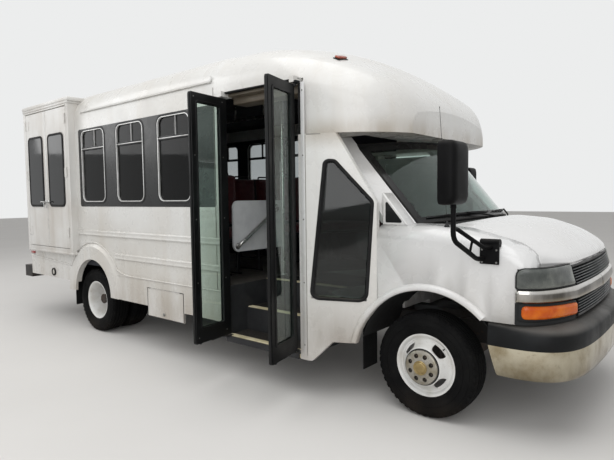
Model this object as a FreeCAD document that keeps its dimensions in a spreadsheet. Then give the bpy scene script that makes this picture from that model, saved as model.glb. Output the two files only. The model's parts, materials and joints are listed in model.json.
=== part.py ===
import FreeCAD, Part
import math
import os
import re
import Sketcher

# A wheelchair-lift minibus: a coach body with a moulded front cap on a van cab and ladder frame.
# Millimetres. +X points forward, +Y to the left, +Z up. The origin lies on the ground, on the
# centreline, midway between the two axles.

Vector = FreeCAD.Vector
doc = FreeCAD.newDocument("minibus")
dims = doc.addObject("Spreadsheet::Sheet", "dims")

# alias, value in millimetres (or degrees where the note says so), what it measures
SIZES = (
    ("wheelbase", 4039, "front axle to rear axle"),
    ("tyre_radius", 365, "loaded radius, also the height of both axles"),
    ("tyre_width", 225, "section width of every tyre"),
    ("tread_width", 176, "flat part of the tread"),
    ("shoulder_drop", 20, "fall from the tread to the tyre's shoulder"),
    ("bead_radius", 203, "seat of the tyre on the rim"),
    ("flange_radius", 221, "outside of the rim flange"),
    ("rim_width", 180, "rim flange to rim flange"),
    ("rim_wall", 8, "thickness of the rim and disc"),
    ("disc_reach", 135, "rim middle to the disc's mounting face"),
    ("disc_radius", 122, "edge of the disc's flat middle"),
    ("hub_radius", 62, "hub barrel that the wheel seats on"),
    ("hub_nose", 40, "how far the hub's cap stands past the disc"),
    ("spindle_radius", 30, "spindle that carries a hub"),
    ("running_gap", 0.5, "between a spindle and its hub"),
    ("lug_circle", 82.5, "radius of the circle of eight studs"),
    ("lug_radius", 11, "wheel nut"),
    ("lug_height", 26, "wheel nut stands off the disc"),
    ("hand_hole_circle", 152, "radius at the middle of the oval holes"),
    ("hand_hole_width", 34, "oval hole, across"),
    ("hand_hole_length", 62, "oval hole, along"),
    ("front_wheel_y", 868, "middle of a front wheel from the centreline"),
    ("rear_wheel_y", 917, "middle of a twin pair from the centreline"),
    ("twin_spacing", 270, "middle to middle of twin tyres"),
    ("kingpin_y", 790, "steering axis from the centreline"),
    ("kingpin_radius", 16, "steering pin through the arms"),
    ("kingpin_reach", 112, "half the length of a steering pin"),
    ("seat_gap", 0.3, "between pieces that only rest on each other"),
    ("body_half", 1220, "half the width of the coach body"),
    ("body_rear", 3560, "rear face behind the middle of the wheelbase"),
    ("body_wall", 38, "thickness of the side, rear and roof panels"),
    ("seam_x", 190, "joint of the body and the front cap"),
    ("roof_spring", 2460, "height where the side turns into the roof"),
    ("roof_corner", 300, "radius of the roof's long edges"),
    ("roof_edge_rise", 293, "rise over the rounded edge"),
    ("roof_edge_in", 238, "how far the rounded edge reaches inward"),
    ("roof_crown", 107, "rise of the roof from its rounded edges to the centreline"),
    ("skirt_bottom", 455, "lower edge of the side panels"),
    ("rear_skirt_bottom", 560, "lower edge behind the rear wheels"),
    ("floor_top", 770, "saloon floor above the ground"),
    ("floor_thick", 70, "floor with its cross sills"),
    ("rail_y", 430, "middle of a frame rail"),
    ("rail_width", 70, "flange of a frame rail"),
    ("rail_height", 160, "web of a frame rail"),
    ("rail_wall", 8, "thickness of a frame rail"),
    ("rail_rear", 3470, "rear end of the rails behind the middle"),
    ("rail_front", 2700, "front end of the rails"),
    ("kick_x", 80, "where the rails start to dip under the cab"),
    ("kick_run", 240, "length of the dip"),
    ("gearbox_cross_x", 1459, "rear face of the cross member behind the gearbox"),
    ("cross_width", 60, "cross member, along the bus"),
    ("cross_height", 90, "cross member, up"),
    ("shaft_cross_height", 55, "cross member that the drive shaft passes under"),
    ("window_bottom", 1490, "side windows, lower edge"),
    ("window_top", 2310, "side windows, upper edge"),
    ("window_width", 512, "side window"),
    ("window_pitch", 735, "side window to side window"),
    ("window_first", 2108, "rear edge of the rearmost right window behind the middle"),
    ("window_corner", 85, "corner radius of the side windows"),
    ("left_window_count", 6, "windows on the left side"),
    ("left_window_first", 3350, "rear edge of the rearmost left window behind the middle"),
    ("glass_thick", 6, "panes"),
    ("frame_lip", 16, "window frame stands this far around its hole"),
    ("frame_proud", 5, "window frame stands off the wall"),
    ("rear_arch_x", 1925, "middle of the rear wheel opening behind the middle"),
    ("rear_arch_z", 462, "middle of the rear wheel opening"),
    ("rear_arch_radius", 390, "rear wheel opening"),
    ("flare_radius", 572, "outer edge of the rear flare"),
    ("flare_proud", 28, "rear flare stands off the wall"),
    ("flare_rise", 36, "width of the flare's sloping rim"),
    ("front_arch_ahead", 30, "middle of the front opening ahead of the axle"),
    ("front_arch_z", 360, "middle of the front wheel opening"),
    ("front_arch_radius", 530, "front wheel opening"),
    ("moulding_height", 46, "rub moulding"),
    ("moulding_proud", 14, "rub moulding stands off the wall"),
    ("upper_moulding_z", 1152, "middle of the upper rub moulding"),
    ("lower_moulding_z", 918, "middle of the lower rub moulding"),
    ("skirt_line_z", 722, "bead along the top of the skirt"),
    ("skirt_line_height", 16, "bead along the top of the skirt"),
    ("skirt_line_proud", 8, "bead along the top of the skirt"),
    ("gutter_z", 2509, "rain gutter"),
    ("gutter_height", 18, "rain gutter"),
    ("gutter_proud", 16, "rain gutter"),
    ("gutter_rear", 2100, "rear end of the rain gutter behind the middle"),
    ("access_rear", -880, "rear edge of the skirt door"),
    ("access_front", -290, "front edge of the skirt door"),
    ("access_top", 640, "upper edge of the skirt door"),
    ("lift_rear", 3430, "rear face of the lift housing behind the middle"),
    ("lift_front", 2240, "front face of the lift housing behind the middle"),
    ("lift_bottom", 890, "underside of the lift housing"),
    ("lift_top", 2690, "top of the lift housing"),
    ("lift_proud", 80, "lift housing stands off the wall"),
    ("lift_frame", 64, "width of the lift housing's frame"),
    ("lift_inward", 330, "how far the housing's cap reaches over the roof"),
    ("lift_leaf_thick", 34, "lift door leaf"),
    ("lift_hinge_out", 8, "lift door hinges stand this far off the leaves' faces"),
    ("lift_strap_reach", 70, "hinge strap over a lift door leaf"),
    ("hinge_length", 110, "hinge barrel of a lift door"),
    ("lift_window_side", 80, "leaf edge to its window"),
    ("lift_window_low", 1460, "lift door windows, lower edge"),
    ("lift_window_high", 2300, "lift door windows, upper edge"),
    ("leaf_gap", 6, "running gap round every door leaf"),
    ("hinge_radius", 7, "door hinge knuckles"),
    ("entry_rear", 270, "rear jamb of the entry door"),
    ("entry_front", 1130, "front jamb of the entry door"),
    ("entry_bottom", 305, "underside of the step well"),
    ("entry_top", 2400, "head of the entry door"),
    ("entry_hinge_in", 10, "front hinge line, in from the front jamb"),
    ("entry_rear_hinge_in", 50, "rear hinge line, in from the rear jamb"),
    ("entry_leaf_tail", 28, "rear leaf behind its hinge line"),
    ("entry_rear_swing", 7, "degrees that the open rear leaf leans forward"),
    ("entry_meet_gap", 8, "between the two entry leaves when shut"),
    ("entry_leaf_thick", 32, "one leaf of the entry door"),
    ("entry_leaf_bottom", 372, "lower edge of the leaves"),
    ("entry_leaf_top", 2345, "upper edge of the leaves"),
    ("entry_stile", 58, "upright of a leaf's frame"),
    ("entry_low_rail", 120, "lower rail of a leaf's frame"),
    ("entry_hinge_out", 22, "leaf hinges stand this far off the body side"),
    ("pivot_radius", 9, "pivot post of an entry leaf"),
    ("pivot_reach", 16, "how far a pivot post stands past its leaf"),
    ("bracket_half", 22, "half the width of a pivot bracket"),
    ("bracket_thick", 14, "lower pivot bracket"),
    ("entry_front_swing", 14, "degrees that the front leaf leans past square"),
    ("step_one", 345, "top of the lowest step"),
    ("step_two", 548, "top of the second step"),
    ("step_tread", 250, "depth of a step"),
    ("step_wall", 24, "thickness of the steps"),
    ("nosing_width", 48, "step edge strip"),
    ("nosing_thick", 5, "step edge strip"),
    ("plate_pitch", 177.8, "licence plate holes, one to the other"),
    ("plate_z", 1120, "licence plate holes above the ground"),
    ("plate_hole_radius", 3.5, "licence plate holes"),
    ("cab_inset", 220, "the van cab is this much narrower on each side"),
    ("cab_floor_top", 640, "cab floor above the ground"),
    ("cab_floor_thick", 36, "cab floor"),
    ("landing_y", -100, "inner edge of the landing beside the driver"),
    ("cab_rear", 440, "rear edge of the driver's doorway"),
    ("belt_z", 1330, "top edge of the fenders and doors"),
    ("cap_bottom", 1985, "lower edge of the front cap"),
    ("cap_wall", 30, "thickness of the front cap"),
    ("firewall_x", 1640, "rear face of the fire wall"),
    ("door_front", 1657, "front edge of the driver's door"),
    ("door_rear", 500, "rear edge of the driver's door"),
    ("door_bottom", 470, "lower edge of the driver's door"),
    ("door_top", 1950, "upper edge of the driver's door"),
    ("door_thick", 44, "driver's door"),
    ("bumper_bottom", 412, "lower edge of the bright bumper"),
    ("bumper_split", 600, "joint of the bright bumper and its black pad"),
    ("bumper_top", 745, "top of the black pad"),
    ("bumper_ahead", 70, "foremost point of the bumper ahead of the grille"),
    ("bumper_depth", 60, "thickness of the bumper"),
    ("rear_bumper_x", 3830, "rearmost point behind the middle"),
    ("rear_bumper_z", 500, "lower edge of the rear bumper"),
    ("rear_bumper_height", 150, "rear bumper"),
    ("grille_ahead", 920.5, "foremost point of the grille ahead of the front axle"),
    ("lamp_run", 314, "from the grille's foremost point back to the lamps' rear edge"),
    ("grille_half", 600, "half the width of the grille"),
    ("grille_bottom", 750, "lower edge of the grille"),
    ("grille_top", 1062, "upper edge of the grille"),
    ("slat_count", 5, "grille slats"),
    ("slat_height", 16, "grille slats"),
    ("lamp_bottom", 955, "lower edge of the headlamps"),
    ("lamp_top", 1080, "upper edge of the headlamps"),
    ("bright_bar_bottom", 885, "bright bar under the headlamps"),
    ("bright_bar_top", 950, "bright bar under the headlamps"),
    ("turn_lamp_bottom", 760, "lower edge of the amber lamps"),
    ("turn_lamp_top", 880, "upper edge of the amber lamps"),
    ("lamp_depth", 90, "thickness of the lamp units"),
    ("fender_top", 200, "width of a fender beside the hood"),
    ("fender_round", 100, "radius of a fender's shoulder"),
    ("fender_fall", 8, "fall of a fender's top from the hood's edge to its shoulder"),
    ("fender_skin", 25, "depth of a fender's folded sheet"),
    ("hood_gap", 5, "gap on each side of the hood"),
    ("hood_hinge_x", 2128, "hood hinge line"),
    ("hood_hinge_z", 1282, "hood hinge line"),
    ("hood_hinge_y", 710, "hood hinge arms from the centreline"),
    ("mirror_y", 1370, "middle of a mirror head"),
    ("mirror_x", 2350, "middle of a mirror head"),
    ("mirror_bottom", 1470, "lower edge of a mirror head"),
    ("mirror_top", 1830, "upper edge of a mirror head"),
    ("mirror_width", 232, "mirror head, across"),
    ("mirror_depth", 104, "mirror head, along"),
    ("mirror_plate_rear", 2410, "rear edge of the mirror's plate on the fender"),
    ("mirror_plate_front", 2530, "front edge of the mirror's plate on the fender"),
    ("mirror_plate_bottom", 1100, "lower edge of the mirror's plate"),
    ("mirror_plate_top", 1235, "upper edge of the mirror's plate"),
    ("mirror_roll", 26, "radius of the plate's rolled top"),
    ("mirror_elbow", 1262, "height of the elbow of the mirror arm"),
    ("mirror_tube", 13, "radius of the mirror arm's tubes"),
    ("door_mirror_shift", 1000, "mirror of the driver's door behind that of the fender"),
)

# place, worked out from the sizes
PLACES = {
    "front_axle": "wheelbase / 2",
    "rear_axle": "-wheelbase / 2",
    "axle_z": "tyre_radius",
    "front_arch_x": "wheelbase / 2 + front_arch_ahead",
    "wall_inner": "body_half - body_wall",
    "roof_top": "roof_spring + roof_edge_rise + roof_crown",
    "cab_half": "body_half - cab_inset",
    "hood_half": "cab_half - fender_top",
    "grille_front": "front_axle + grille_ahead",
    "bumper_front": "grille_front + bumper_ahead",
    "lamp_rear": "grille_front - lamp_run",
    "floor_bottom": "floor_top - floor_thick",
    "rail_top": "floor_top - floor_thick",
    "rail_bottom": "floor_top - floor_thick - rail_height",
    "low_rail_top": "cab_floor_top - cab_floor_thick",
    "low_rail_bottom": "cab_floor_top - cab_floor_thick - rail_height",
    "entry_hinge_y": "-body_half - entry_hinge_out",
    "entry_leaf_width": ("(entry_front - entry_rear - entry_meet_gap - entry_hinge_in - entry_rear_hinge_in) / 2"
                         " - leaf_gap"),
    "lift_face": "-body_half - lift_proud",
    "lift_split": "-(lift_rear + lift_front) / 2",
}

NOTE_COLUMN = "A"
VALUE_COLUMN = "B"
for row, (alias, value, note) in enumerate(SIZES, start=1):
    dims.set(f"{NOTE_COLUMN}{row}", note)
    dims.set(f"{VALUE_COLUMN}{row}", str(value))
    dims.setAlias(f"{VALUE_COLUMN}{row}", alias)
doc.recompute()

ALIASES = {alias for alias, value, note in SIZES}
nodes = []


def link(text):
    """Turn plain size and place names into an expression on the sheet."""
    def swap(match):
        word = match.group(0)
        if word in PLACES:
            return "(" + link(PLACES[word]) + ")"
        return "dims." + word if word in ALIASES else word
    return re.sub(r"[a-z][a-z_0-9]*", swap, text)


gauge = doc.addObject("Part::Vertex", "gauge")


def at(text):
    """Read an expression's present value."""
    gauge.setExpression("X", link(text))
    gauge.recompute()
    return gauge.X.Value


def block(name, x, y, z):
    box = doc.addObject("Part::Box", name)
    for size, axis, (low, high) in (("Length", "x", x), ("Width", "y", y), ("Height", "z", z)):
        box.setExpression(size, link(f"({high}) - ({low})"))
        box.setExpression(f"Placement.Base.{axis}", link(low))
    return box


TURNS = {
    "x": FreeCAD.Rotation(Vector(0, 1, 0), 90),
    "y": FreeCAD.Rotation(Vector(1, 0, 0), -90),
    "z": FreeCAD.Rotation(),
}


def rod(name, axis, start, length, radius):
    cylinder = doc.addObject("Part::Cylinder", name)
    cylinder.Placement = FreeCAD.Placement(Vector(), TURNS[axis])
    cylinder.setExpression("Radius", link(radius))
    cylinder.setExpression("Height", link(length))
    for letter, place in zip("xyz", start):
        cylinder.setExpression(f"Placement.Base.{letter}", link(place))
    return cylinder


def spots(outline):
    """Evaluate an outline: (a, b) corners, with (a, b, "via") for a point midway on an arc."""
    return [(at(point[0]), at(point[1]), len(point) == 3) for point in outline]


def draw(sketch, outline):
    """Draw a closed outline of lines and arcs, every point bound to the sheet."""
    points = spots(outline)
    corners = [index for index, point in enumerate(points) if not point[2]]
    pieces = []
    for order, start in enumerate(corners):
        end = corners[(order + 1) % len(corners)]
        first = Vector(points[start][0], points[start][1], 0)
        last = Vector(points[end][0], points[end][1], 0)
        middle = (start + 1) % len(points)
        if points[middle][2]:
            via = Vector(points[middle][0], points[middle][1], 0)
            edge = sketch.addGeometry(Part.ArcOfCircle(first, via, last))
            flipped = ((sketch.getPoint(edge, 1) - first).Length
                       > (sketch.getPoint(edge, 2) - first).Length)
            pieces.append((edge, start, middle, flipped))
        else:
            pieces.append((sketch.addGeometry(Part.LineSegment(first, last)), start, None, False))
    for order, (edge, start, via, flipped) in enumerate(pieces):
        after, _, _, after_flipped = pieces[(order + 1) % len(pieces)]
        sketch.addConstraint(Sketcher.Constraint(
            "Coincident", edge, 1 if flipped else 2, after, 2 if after_flipped else 1))
    for edge, start, via, flipped in pieces:
        pin(sketch, edge, 2 if flipped else 1, outline[start], points[start])
        if via is not None:
            spot = sketch.addGeometry(Part.Point(Vector(points[via][0], points[via][1], 0)), True)
            sketch.addConstraint(Sketcher.Constraint("PointOnObject", spot, 1, edge))
            pin(sketch, spot, 1, outline[via], points[via])


def pin(sketch, edge, end, names, values):
    for kind, name, value in zip(("DistanceX", "DistanceY"), names, values):
        index = sketch.addConstraint(Sketcher.Constraint(kind, -1, 1, edge, end, value))
        sketch.setExpression(f"Constraints[{index}]", link(name))


def sketch_in(body, plane, offset, outline):
    sketch = body.newObject("Sketcher::SketchObject", body.Name + "_sketch")
    plane_object = [item for item in body.Origin.OriginFeatures if item.Role == plane + "_Plane"][0]
    sketch.AttachmentSupport = [(plane_object, "")]
    sketch.MapMode = "FlatFace"
    for letter, place in zip("xyz", offset):
        sketch.setExpression(f".AttachmentOffset.Base.{letter}", link(place))
    draw(sketch, outline)
    return sketch


def profile(name, plane, outline, low, high, rounds=()):
    """Pad an outline from low to high across its plane, with rounds of (radius, corner numbers)."""
    body = doc.addObject("PartDesign::Body", name)
    start = f"-({high})" if plane == "XZ" else low
    sketch = sketch_in(body, plane, ("0", "0", start), outline)
    pad = body.newObject("PartDesign::Pad", name + "_pad")
    pad.Profile = sketch
    pad.setExpression("Length", link(f"({high}) - ({low})"))
    sketch.Visibility = False
    feature = pad
    across = {"XY": "z", "XZ": "y", "YZ": "x"}[plane]
    for number, (radius, corners) in enumerate(rounds):
        doc.recompute()
        places = [Vector(*point) for point in
                  (lift_point(plane, at(outline[c][0]), at(outline[c][1])) for c in corners)]
        names = []
        for order, edge in enumerate(feature.Shape.Edges, start=1):
            if edge.Curve.TypeId != "Part::GeomLine":
                continue
            if abs(getattr(edge.Curve.Direction, across)) < 0.999:
                continue
            middle = edge.CenterOfMass
            flat = Vector(*(0 if letter == across else getattr(middle, letter) for letter in "xyz"))
            if any((flat - place).Length < 0.01 for place in places):
                names.append(f"Edge{order}")
        fillet = body.newObject("PartDesign::Fillet", f"{name}_round{number}")
        fillet.Base = (feature, names)
        fillet.setExpression("Radius", link(radius))
        feature = fillet
    body.Tip = feature
    return body


def lift_point(plane, first, second):
    return {"XY": (first, second, 0), "XZ": (first, 0, second), "YZ": (0, first, second)}[plane]


def turned(name, centre, outline):
    """Revolve an outline of (along Y, radius) points about the wheel axis through centre."""
    body = doc.addObject("PartDesign::Body", name)
    x, y, z = centre
    sketch = sketch_in(body, "YZ", (y, z, x), outline)
    turn = body.newObject("PartDesign::Revolution", name + "_turn")
    turn.Profile = sketch
    turn.ReferenceAxis = (sketch, ["H_Axis"])
    turn.Angle = 360
    body.Tip = turn
    sketch.Visibility = False
    return body


def join(name, *parts):
    fused = doc.addObject("Part::MultiFuse", name)
    fused.Shapes = list(parts)
    fused.Refine = True
    return fused


def cut(name, base, *tools):
    result = doc.addObject("Part::Cut", name)
    result.Base = base
    result.Tool = tools[0] if len(tools) == 1 else join(name + "_tools", *tools)
    result.Refine = True
    return result


def common(name, first, second):
    result = doc.addObject("Part::MultiCommon", name)
    result.Shapes = [first, second]
    result.Refine = True
    return result


def group(name, *parts):
    bundle = doc.addObject("Part::Compound", name)
    bundle.Links = list(parts)
    return bundle


def mirrored(name, source):
    mirror = doc.addObject("Part::Mirroring", name)
    mirror.Source = source
    mirror.Normal = Vector(0, 1, 0)
    return mirror


def feature(name, shape):
    item = doc.addObject("Part::Feature", name)
    item.Shape = shape
    return item


def tube(name, radius, points):
    """Round bar along straight runs, with a ball at every bend."""
    path = [Vector(*[at(value) for value in point]) for point in points]
    pieces = [Part.makeCylinder(at(radius), (end - start).Length, start, end - start)
              for start, end in zip(path, path[1:])]
    for before, point, after in zip(path, path[1:], path[2:]):
        pole = (point - before).cross(after - point)
        pieces.append(Part.makeSphere(at(radius) + 2, point, pole))
    return feature(name, pieces[0].multiFuse(pieces[1:]))


def ring(plane, place, outline):
    """A closed wire of lines and arcs in a plane at a place."""
    points = spots(outline)
    depth = at(place)

    def space(point):
        first, second = point[0], point[1]
        return {"XY": Vector(first, second, depth), "XZ": Vector(first, depth, second),
                "YZ": Vector(depth, first, second)}[plane]
    edges = []
    corners = [index for index, point in enumerate(points) if not point[2]]
    for order, start in enumerate(corners):
        end = corners[(order + 1) % len(corners)]
        middle = (start + 1) % len(points)
        first, last = space(points[start]), space(points[end])
        if points[middle][2]:
            edges.append(Part.Arc(first, space(points[middle]), last).toShape())
        else:
            edges.append(Part.LineSegment(first, last).toShape())
    return Part.Wire(edges)


def keep(item, name):
    item.Label = name
    nodes.append((name, item))
    return item


def roof_outline(inset, low):
    """Half-round-edged body section in the YZ plane, from height low up to the roof."""
    side = f"body_half - {inset}"
    lean = f"(roof_corner - {inset}) * sin(45)"
    return (
        (side, low),
        (side, "roof_spring"),
        (f"body_half - roof_corner + {lean}", f"roof_spring + {lean}", "via"),
        ("body_half - roof_edge_in", f"roof_spring + roof_edge_rise - {inset}"),
        ("0", f"roof_top - {inset}", "via"),
        ("-(body_half - roof_edge_in)", f"roof_spring + roof_edge_rise - {inset}"),
        (f"-(body_half - roof_corner + {lean})", f"roof_spring + {lean}", "via"),
        (f"-({side})", "roof_spring"),
        (f"-({side})", low),
    )


# Ladder frame: two open channels and their cross members

def rail_outline(inset, overrun):
    """Side view of a rail that dips under the cab, inset all round but open at its ends."""
    return (
        (f"-rail_rear - ({overrun})", f"rail_bottom + {inset}"),
        (f"kick_x - {inset}", f"rail_bottom + {inset}"),
        (f"kick_x + kick_run - {inset}", f"low_rail_bottom + {inset}"),
        (f"rail_front + ({overrun})", f"low_rail_bottom + {inset}"),
        (f"rail_front + ({overrun})", f"low_rail_top - {inset}"),
        (f"kick_x + kick_run + {inset}", f"low_rail_top - {inset}"),
        (f"kick_x + {inset}", f"rail_top - {inset}"),
        (f"-rail_rear - ({overrun})", f"rail_top - {inset}"),
    )


def make_frame():
    web = profile("rail_right_bar", "XZ", rail_outline("0", "0"),
                  "-rail_y - rail_width / 2", "rail_width / 2 - rail_y")
    hollow = profile("rail_right_hollow", "XZ", rail_outline("rail_wall", "rail_wall"),
                     "rail_wall - rail_y - rail_width / 2", "rail_width - rail_y")
    right = cut("rail_right", web, hollow)
    left = mirrored("rail_left", right)
    places = (("-rail_rear", "rail", "cross_height"), ("rear_axle - 850", "rail", "cross_height"),
              ("rear_axle + 850", "rail", "cross_height"), ("-300", "rail", "cross_height"),
              ("600", "low_rail", "shaft_cross_height"), ("gearbox_cross_x", "low_rail", "cross_height"),
              ("rail_front - cross_width", "low_rail", "cross_height"))
    crosses = [block(f"cross_{number}", (place, f"{place} + cross_width"),
                     ("rail_wall - rail_y - rail_width / 2", "rail_y + rail_width / 2 - rail_wall"),
                     (f"{rail}_top - rail_wall - {height}", f"{rail}_top - rail_wall"))
               for number, (place, rail, height) in enumerate(places)]
    return keep(join("chassis_frame", right, left, *crosses), "chassis_frame")


# Wheels: a tyre, and a rim with its hub barrel, disc, nuts and hand holes

def tyre(name, x, y):
    half = "tyre_width / 2"
    tread = "tread_width / 2"
    shoulder = "tyre_radius - shoulder_drop"
    waist = "(tyre_radius + bead_radius) / 2"
    bead = "rim_width / 2 - rim_wall"
    return turned(name, (x, y, "axle_z"), (
        (f"-({bead})", "bead_radius"),
        (f"-({bead})", "flange_radius"),
        (f"-({half})", waist),
        (f"-({tread})", "tyre_radius"),
        (tread, "tyre_radius"),
        (half, waist),
        (bead, "flange_radius"),
        (bead, "bead_radius"),
    ))


def rim(name, x, y, outward, hub_from):
    """outward: sign of Y that the disc bulges to; hub_from: inner end of the hub barrel."""
    flip = f"({outward}) * "
    face = "disc_reach"
    outline = (
        (flip + "(rim_width / 2)", "flange_radius"),
        (flip + "(rim_width / 2)", "bead_radius - rim_wall"),
        (flip + "(rim_width / 2 - 3 * rim_wall)", "bead_radius - 2 * rim_wall"),
        (flip + face, "disc_radius"),
        (flip + face, "hub_radius"),
        (flip + f"({face} + hub_nose)", "hub_radius - rim_wall"),
        (flip + f"({face} + hub_nose)", "0"),
        (flip + f"({face} + hub_nose - 4 * rim_wall)", "0"),
        (flip + f"({face} + hub_nose - 4 * rim_wall)", "spindle_radius + running_gap"),
        (flip + f"({hub_from})", "spindle_radius + running_gap"),
        (flip + f"({hub_from})", "hub_radius"),
        (flip + f"({face} - rim_wall)", "hub_radius"),
        (flip + f"({face} - rim_wall)", "disc_radius - rim_wall / 2"),
        (flip + "(rim_width / 2 - 4 * rim_wall)", "bead_radius - 3 * rim_wall"),
        (flip + "(rim_wall - rim_width / 2)", "bead_radius - rim_wall"),
        (flip + "(-rim_width / 2)", "flange_radius - rim_wall"),
        (flip + "(-rim_width / 2)", "flange_radius"),
        (flip + "(rim_wall - rim_width / 2)", "flange_radius"),
        (flip + "(rim_wall - rim_width / 2)", "bead_radius"),
        (flip + "(rim_width / 2 - rim_wall)", "bead_radius"),
        (flip + "(rim_width / 2 - rim_wall)", "flange_radius"),
    )
    body = turned(name + "_turned", (x, y, "axle_z"), outline)
    holes = []
    for number in range(4):
        angle = 45 + 90 * number
        hole = doc.addObject("Part::Box", f"{name}_hole{number}")
        hole.setExpression("Length", link("hand_hole_width"))
        hole.setExpression("Height", link("hand_hole_length"))
        hole.setExpression("Width", link("rim_width * 2"))
        turn = FreeCAD.Rotation(Vector(0, 1, 0), angle)
        hole.Placement = FreeCAD.Placement(Vector(), turn)
        shift = ("hand_hole_circle - hand_hole_width / 2", "-rim_width", "-hand_hole_length / 2")
        cosine, sine = f"cos({angle})", f"sin({angle})"
        hole.setExpression("Placement.Base.x", link(
            f"{x} + ({shift[0]}) * {cosine} + ({shift[2]}) * {sine}"))
        hole.setExpression("Placement.Base.y", link(f"{y} + ({shift[1]})"))
        hole.setExpression("Placement.Base.z", link(
            f"axle_z - ({shift[0]}) * {sine} + ({shift[2]}) * {cosine}"))
        holes.append(hole)
    pierced = cut(name + "_pierced", body, *holes)
    nuts = []
    start = f"{y} + {flip}{face}" if outward == "1" else f"{y} - {face} - lug_height"
    for number in range(8):
        angle = 22.5 + 45 * number
        nuts.append(rod(f"{name}_nut{number}", "y",
                        (f"{x} + lug_circle * cos({angle})", start,
                         f"axle_z + lug_circle * sin({angle})"), "lug_height", "lug_radius"))
    return join(name, pierced, *nuts)


def make_wheels():
    for side, sign in (("right", "-1"), ("left", "1")):
        centre = f"({sign}) * front_wheel_y"
        name = f"front_{side}"
        keep(tyre("tyre_" + name, "front_axle", centre), "tyre_" + name)
        keep(rim("rim_" + name, "front_axle", centre, sign,
                 "kingpin_y + hub_radius / 2 - front_wheel_y"), "rim_" + name)
        name = f"rear_{side}"
        inner = f"({sign}) * (rear_wheel_y - twin_spacing / 2)"
        outer = f"({sign}) * (rear_wheel_y + twin_spacing / 2)"
        keep(group("tyres_" + name, tyre(f"tyre_{name}_inner", "rear_axle", inner),
                   tyre(f"tyre_{name}_outer", "rear_axle", outer)), "tyres_" + name)
        keep(twin_rims("rims_" + name, inner, outer, sign), "rims_" + name)


def twin_rims(name, inner, outer, sign):
    """Inner rim bulging outward and outer rim dished inward, bolted back to back on one hub."""
    flip = f"({sign}) * "
    middle = "rim_wall"
    outer_outline = (
        (flip + "(rim_width / 2)", "flange_radius"),
        (flip + "(rim_width / 2)", "flange_radius - rim_wall"),
        (flip + "(rim_width / 2 - rim_wall)", "bead_radius - rim_wall"),
        (flip + "(2 * rim_wall - rim_width / 2)", "bead_radius - 3 * rim_wall"),
        (flip + "(-twin_spacing / 2 + rim_wall)", "disc_radius"),
        (flip + "(-twin_spacing / 2 + rim_wall)", "hub_radius"),
        (flip + "(-twin_spacing / 2 + 2 * hub_nose)", "hub_radius - rim_wall"),
        (flip + "(-twin_spacing / 2 + 2 * hub_nose)", "0"),
        (flip + "(-twin_spacing / 2 + hub_nose)", "0"),
        (flip + "(-twin_spacing / 2 + hub_nose)", "hub_radius - rim_wall"),
        (flip + "(-twin_spacing / 2)", "hub_radius - rim_wall"),
        (flip + "(-twin_spacing / 2)", "disc_radius"),
        (flip + "(rim_wall - rim_width / 2)", "bead_radius - 2 * rim_wall"),
        (flip + "(-rim_width / 2)", "bead_radius - rim_wall"),
        (flip + "(-rim_width / 2)", "flange_radius"),
        (flip + "(rim_wall - rim_width / 2)", "flange_radius"),
        (flip + "(rim_wall - rim_width / 2)", "bead_radius"),
        (flip + "(rim_width / 2 - rim_wall)", "bead_radius"),
        (flip + "(rim_width / 2 - rim_wall)", "flange_radius"),
    )
    inner_outline = (
        (flip + "(rim_width / 2)", "flange_radius"),
        (flip + "(rim_width / 2)", "bead_radius - rim_wall"),
        (flip + "(rim_width / 2 - 2 * rim_wall)", "bead_radius - 2 * rim_wall"),
        (flip + "(twin_spacing / 2)", "disc_radius"),
        (flip + "(twin_spacing / 2)", "spindle_radius + running_gap"),
        (flip + "(twin_spacing / 4)", "spindle_radius + running_gap"),
        (flip + "(twin_spacing / 4)", "hub_radius"),
        (flip + "(twin_spacing / 2 - rim_wall)", "hub_radius"),
        (flip + "(twin_spacing / 2 - rim_wall)", "disc_radius - rim_wall / 2"),
        (flip + "(rim_width / 2 - 4 * rim_wall)", "bead_radius - 3 * rim_wall"),
        (flip + "(rim_wall - rim_width / 2)", "bead_radius - rim_wall"),
        (flip + "(-rim_width / 2)", "flange_radius - rim_wall"),
        (flip + "(-rim_width / 2)", "flange_radius"),
        (flip + "(rim_wall - rim_width / 2)", "flange_radius"),
        (flip + "(rim_wall - rim_width / 2)", "bead_radius"),
        (flip + "(rim_width / 2 - rim_wall)", "bead_radius"),
        (flip + "(rim_width / 2 - rim_wall)", "flange_radius"),
    )
    outer_rim = turned(name + "_outer", ("rear_axle", outer, "axle_z"), outer_outline)
    inner_rim = turned(name + "_inner", ("rear_axle", inner, "axle_z"), inner_outline)
    nuts = []
    face = f"{flip}rear_wheel_y"
    start = f"{face} + rim_wall" if sign == "1" else f"{face} - rim_wall - lug_height"
    for number in range(8):
        angle = 22.5 + 45 * number
        nuts.append(rod(f"{name}_nut{number}", "y",
                        (f"rear_axle + lug_circle * cos({angle})", start,
                         f"axle_z + lug_circle * sin({angle})"), "lug_height", "lug_radius"))
    return join(name, outer_rim, inner_rim, *nuts)


# Front suspension, knuckles, rear axle and springs

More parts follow.
